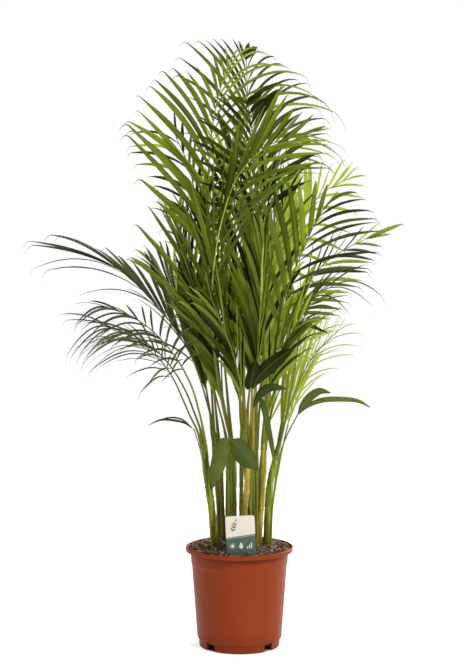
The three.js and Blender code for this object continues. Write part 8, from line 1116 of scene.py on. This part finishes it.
def petal(x, y, length, width, deg):
    a = math.radians(deg)
    out = []
    for t in np.linspace(0, 1, 9):
        out.append((t * length, width / 2 * math.sin(math.pi * t) ** 0.8))
    for t in np.linspace(1, 0, 9)[1:-1]:
        out.append((t * length, -width / 2 * math.sin(math.pi * t) ** 0.8))
    return [(x + px * math.cos(a) - py * math.sin(a), y + px * math.sin(a) + py * math.cos(a)) for px, py in out]


def disc(x, y, r, n=20):
    return [(x + r * math.cos(2 * math.pi * i / n), y + r * math.sin(2 * math.pi * i / n)) for i in range(n)]


def bar(x0, y0, x1, y1, w):
    d = Vector((x1 - x0, y1 - y0)).normalized()
    q = Vector((-d.y, d.x)) * w / 2
    return [(x0 + q.x, y0 + q.y), (x0 - q.x, y0 - q.y), (x1 - q.x, y1 - q.y), (x1 + q.x, y1 + q.y)]


make_label()
green_ink = ink_material("label_ink_green", (0.075, 0.16, 0.075))
pale_ink = ink_material("label_ink_pale", (0.78, 0.76, 0.66))
# a plain sprig to the left, on the cream part
sprig = [bar(-17, 46.5, -9, 67.5, 0.9)]
for t, side in [(0.12, 1), (0.12, -1), (0.38, 1), (0.38, -1), (0.64, 1), (0.64, -1)]:
    sx, sy = -17 + 8 * t, 46.5 + 21 * t
    sprig.append(petal(sx, sy, 8.5 - 2.5 * t, 2.6, 69 + side * 42))
sprig.append(petal(-9.6, 66, 7, 2.4, 69))
ink("plant_label_sprig", sprig, green_ink)
# care marks without words: a sun, a drop and three plain bars
sun = [disc(-17, 19, 3.2)] + [bar(-17 + 4.6 * math.cos(a), 19 + 4.6 * math.sin(a), -17 + 6.4 * math.cos(a), 19 + 6.4 * math.sin(a), 0.9) for a in np.arange(8) * math.pi / 4]
drop = [(0, 26.5)] + [(4.0 * math.cos(a), 17.6 + 4.0 * math.sin(a)) for a in np.linspace(math.radians(35), math.radians(-215), 18)]
steps = [bar(12.6, 13.2, 12.6, 17, 2.2), bar(16.6, 13.2, 16.6, 20.5, 2.2), bar(20.6, 13.2, 20.6, 24.5, 2.2)]
ink("plant_label_marks", sun + [drop] + steps, pale_ink)

# ---------------------------------------------------------------- floor
# a white floor that glows as a light table, so that it runs into the backdrop and the pot's shadow on it stays faint;
# the glow is weaker near the pot and off beneath it
fm, fnt = material("studio_floor")
fcol = ramp(fnt, texture(fnt, 3.0, 2.0), [(0.3, (0.44, 0.44, 0.44)), (0.7, (0.46, 0.46, 0.46))])
fp = principled(fnt, fcol, 0.9, specular=0.1)
fp.inputs["Emission Color"].default_value = (1.0, 1.0, 1.0, 1)
far = node(fnt, "ShaderNodeVectorMath", operation="LENGTH")
fnt.links.new(node(fnt, "ShaderNodeTexCoord").outputs["Object"], far.inputs[0])
floor_glow = between(fnt, far.outputs["Value"], 0.22, 1.2, 0.72, 0.99)
put(fnt, fp.inputs["Emission Strength"], calc(fnt, "MULTIPLY", floor_glow, between(fnt, far.outputs["Value"], 0.074, 0.083)))
output(fnt, fp.outputs[0])
fme = bpy.data.meshes.new("floor")
fme.from_pydata([(2.2 * math.cos(i * math.pi / 32), 2.2 * math.sin(i * math.pi / 32), -0.0003) for i in range(64)], [], [tuple(range(64))])
fme.materials.append(fm)
floor = bpy.data.objects.new("floor", fme)
scene.collection.objects.link(floor)

bpy.context.view_layer.update()
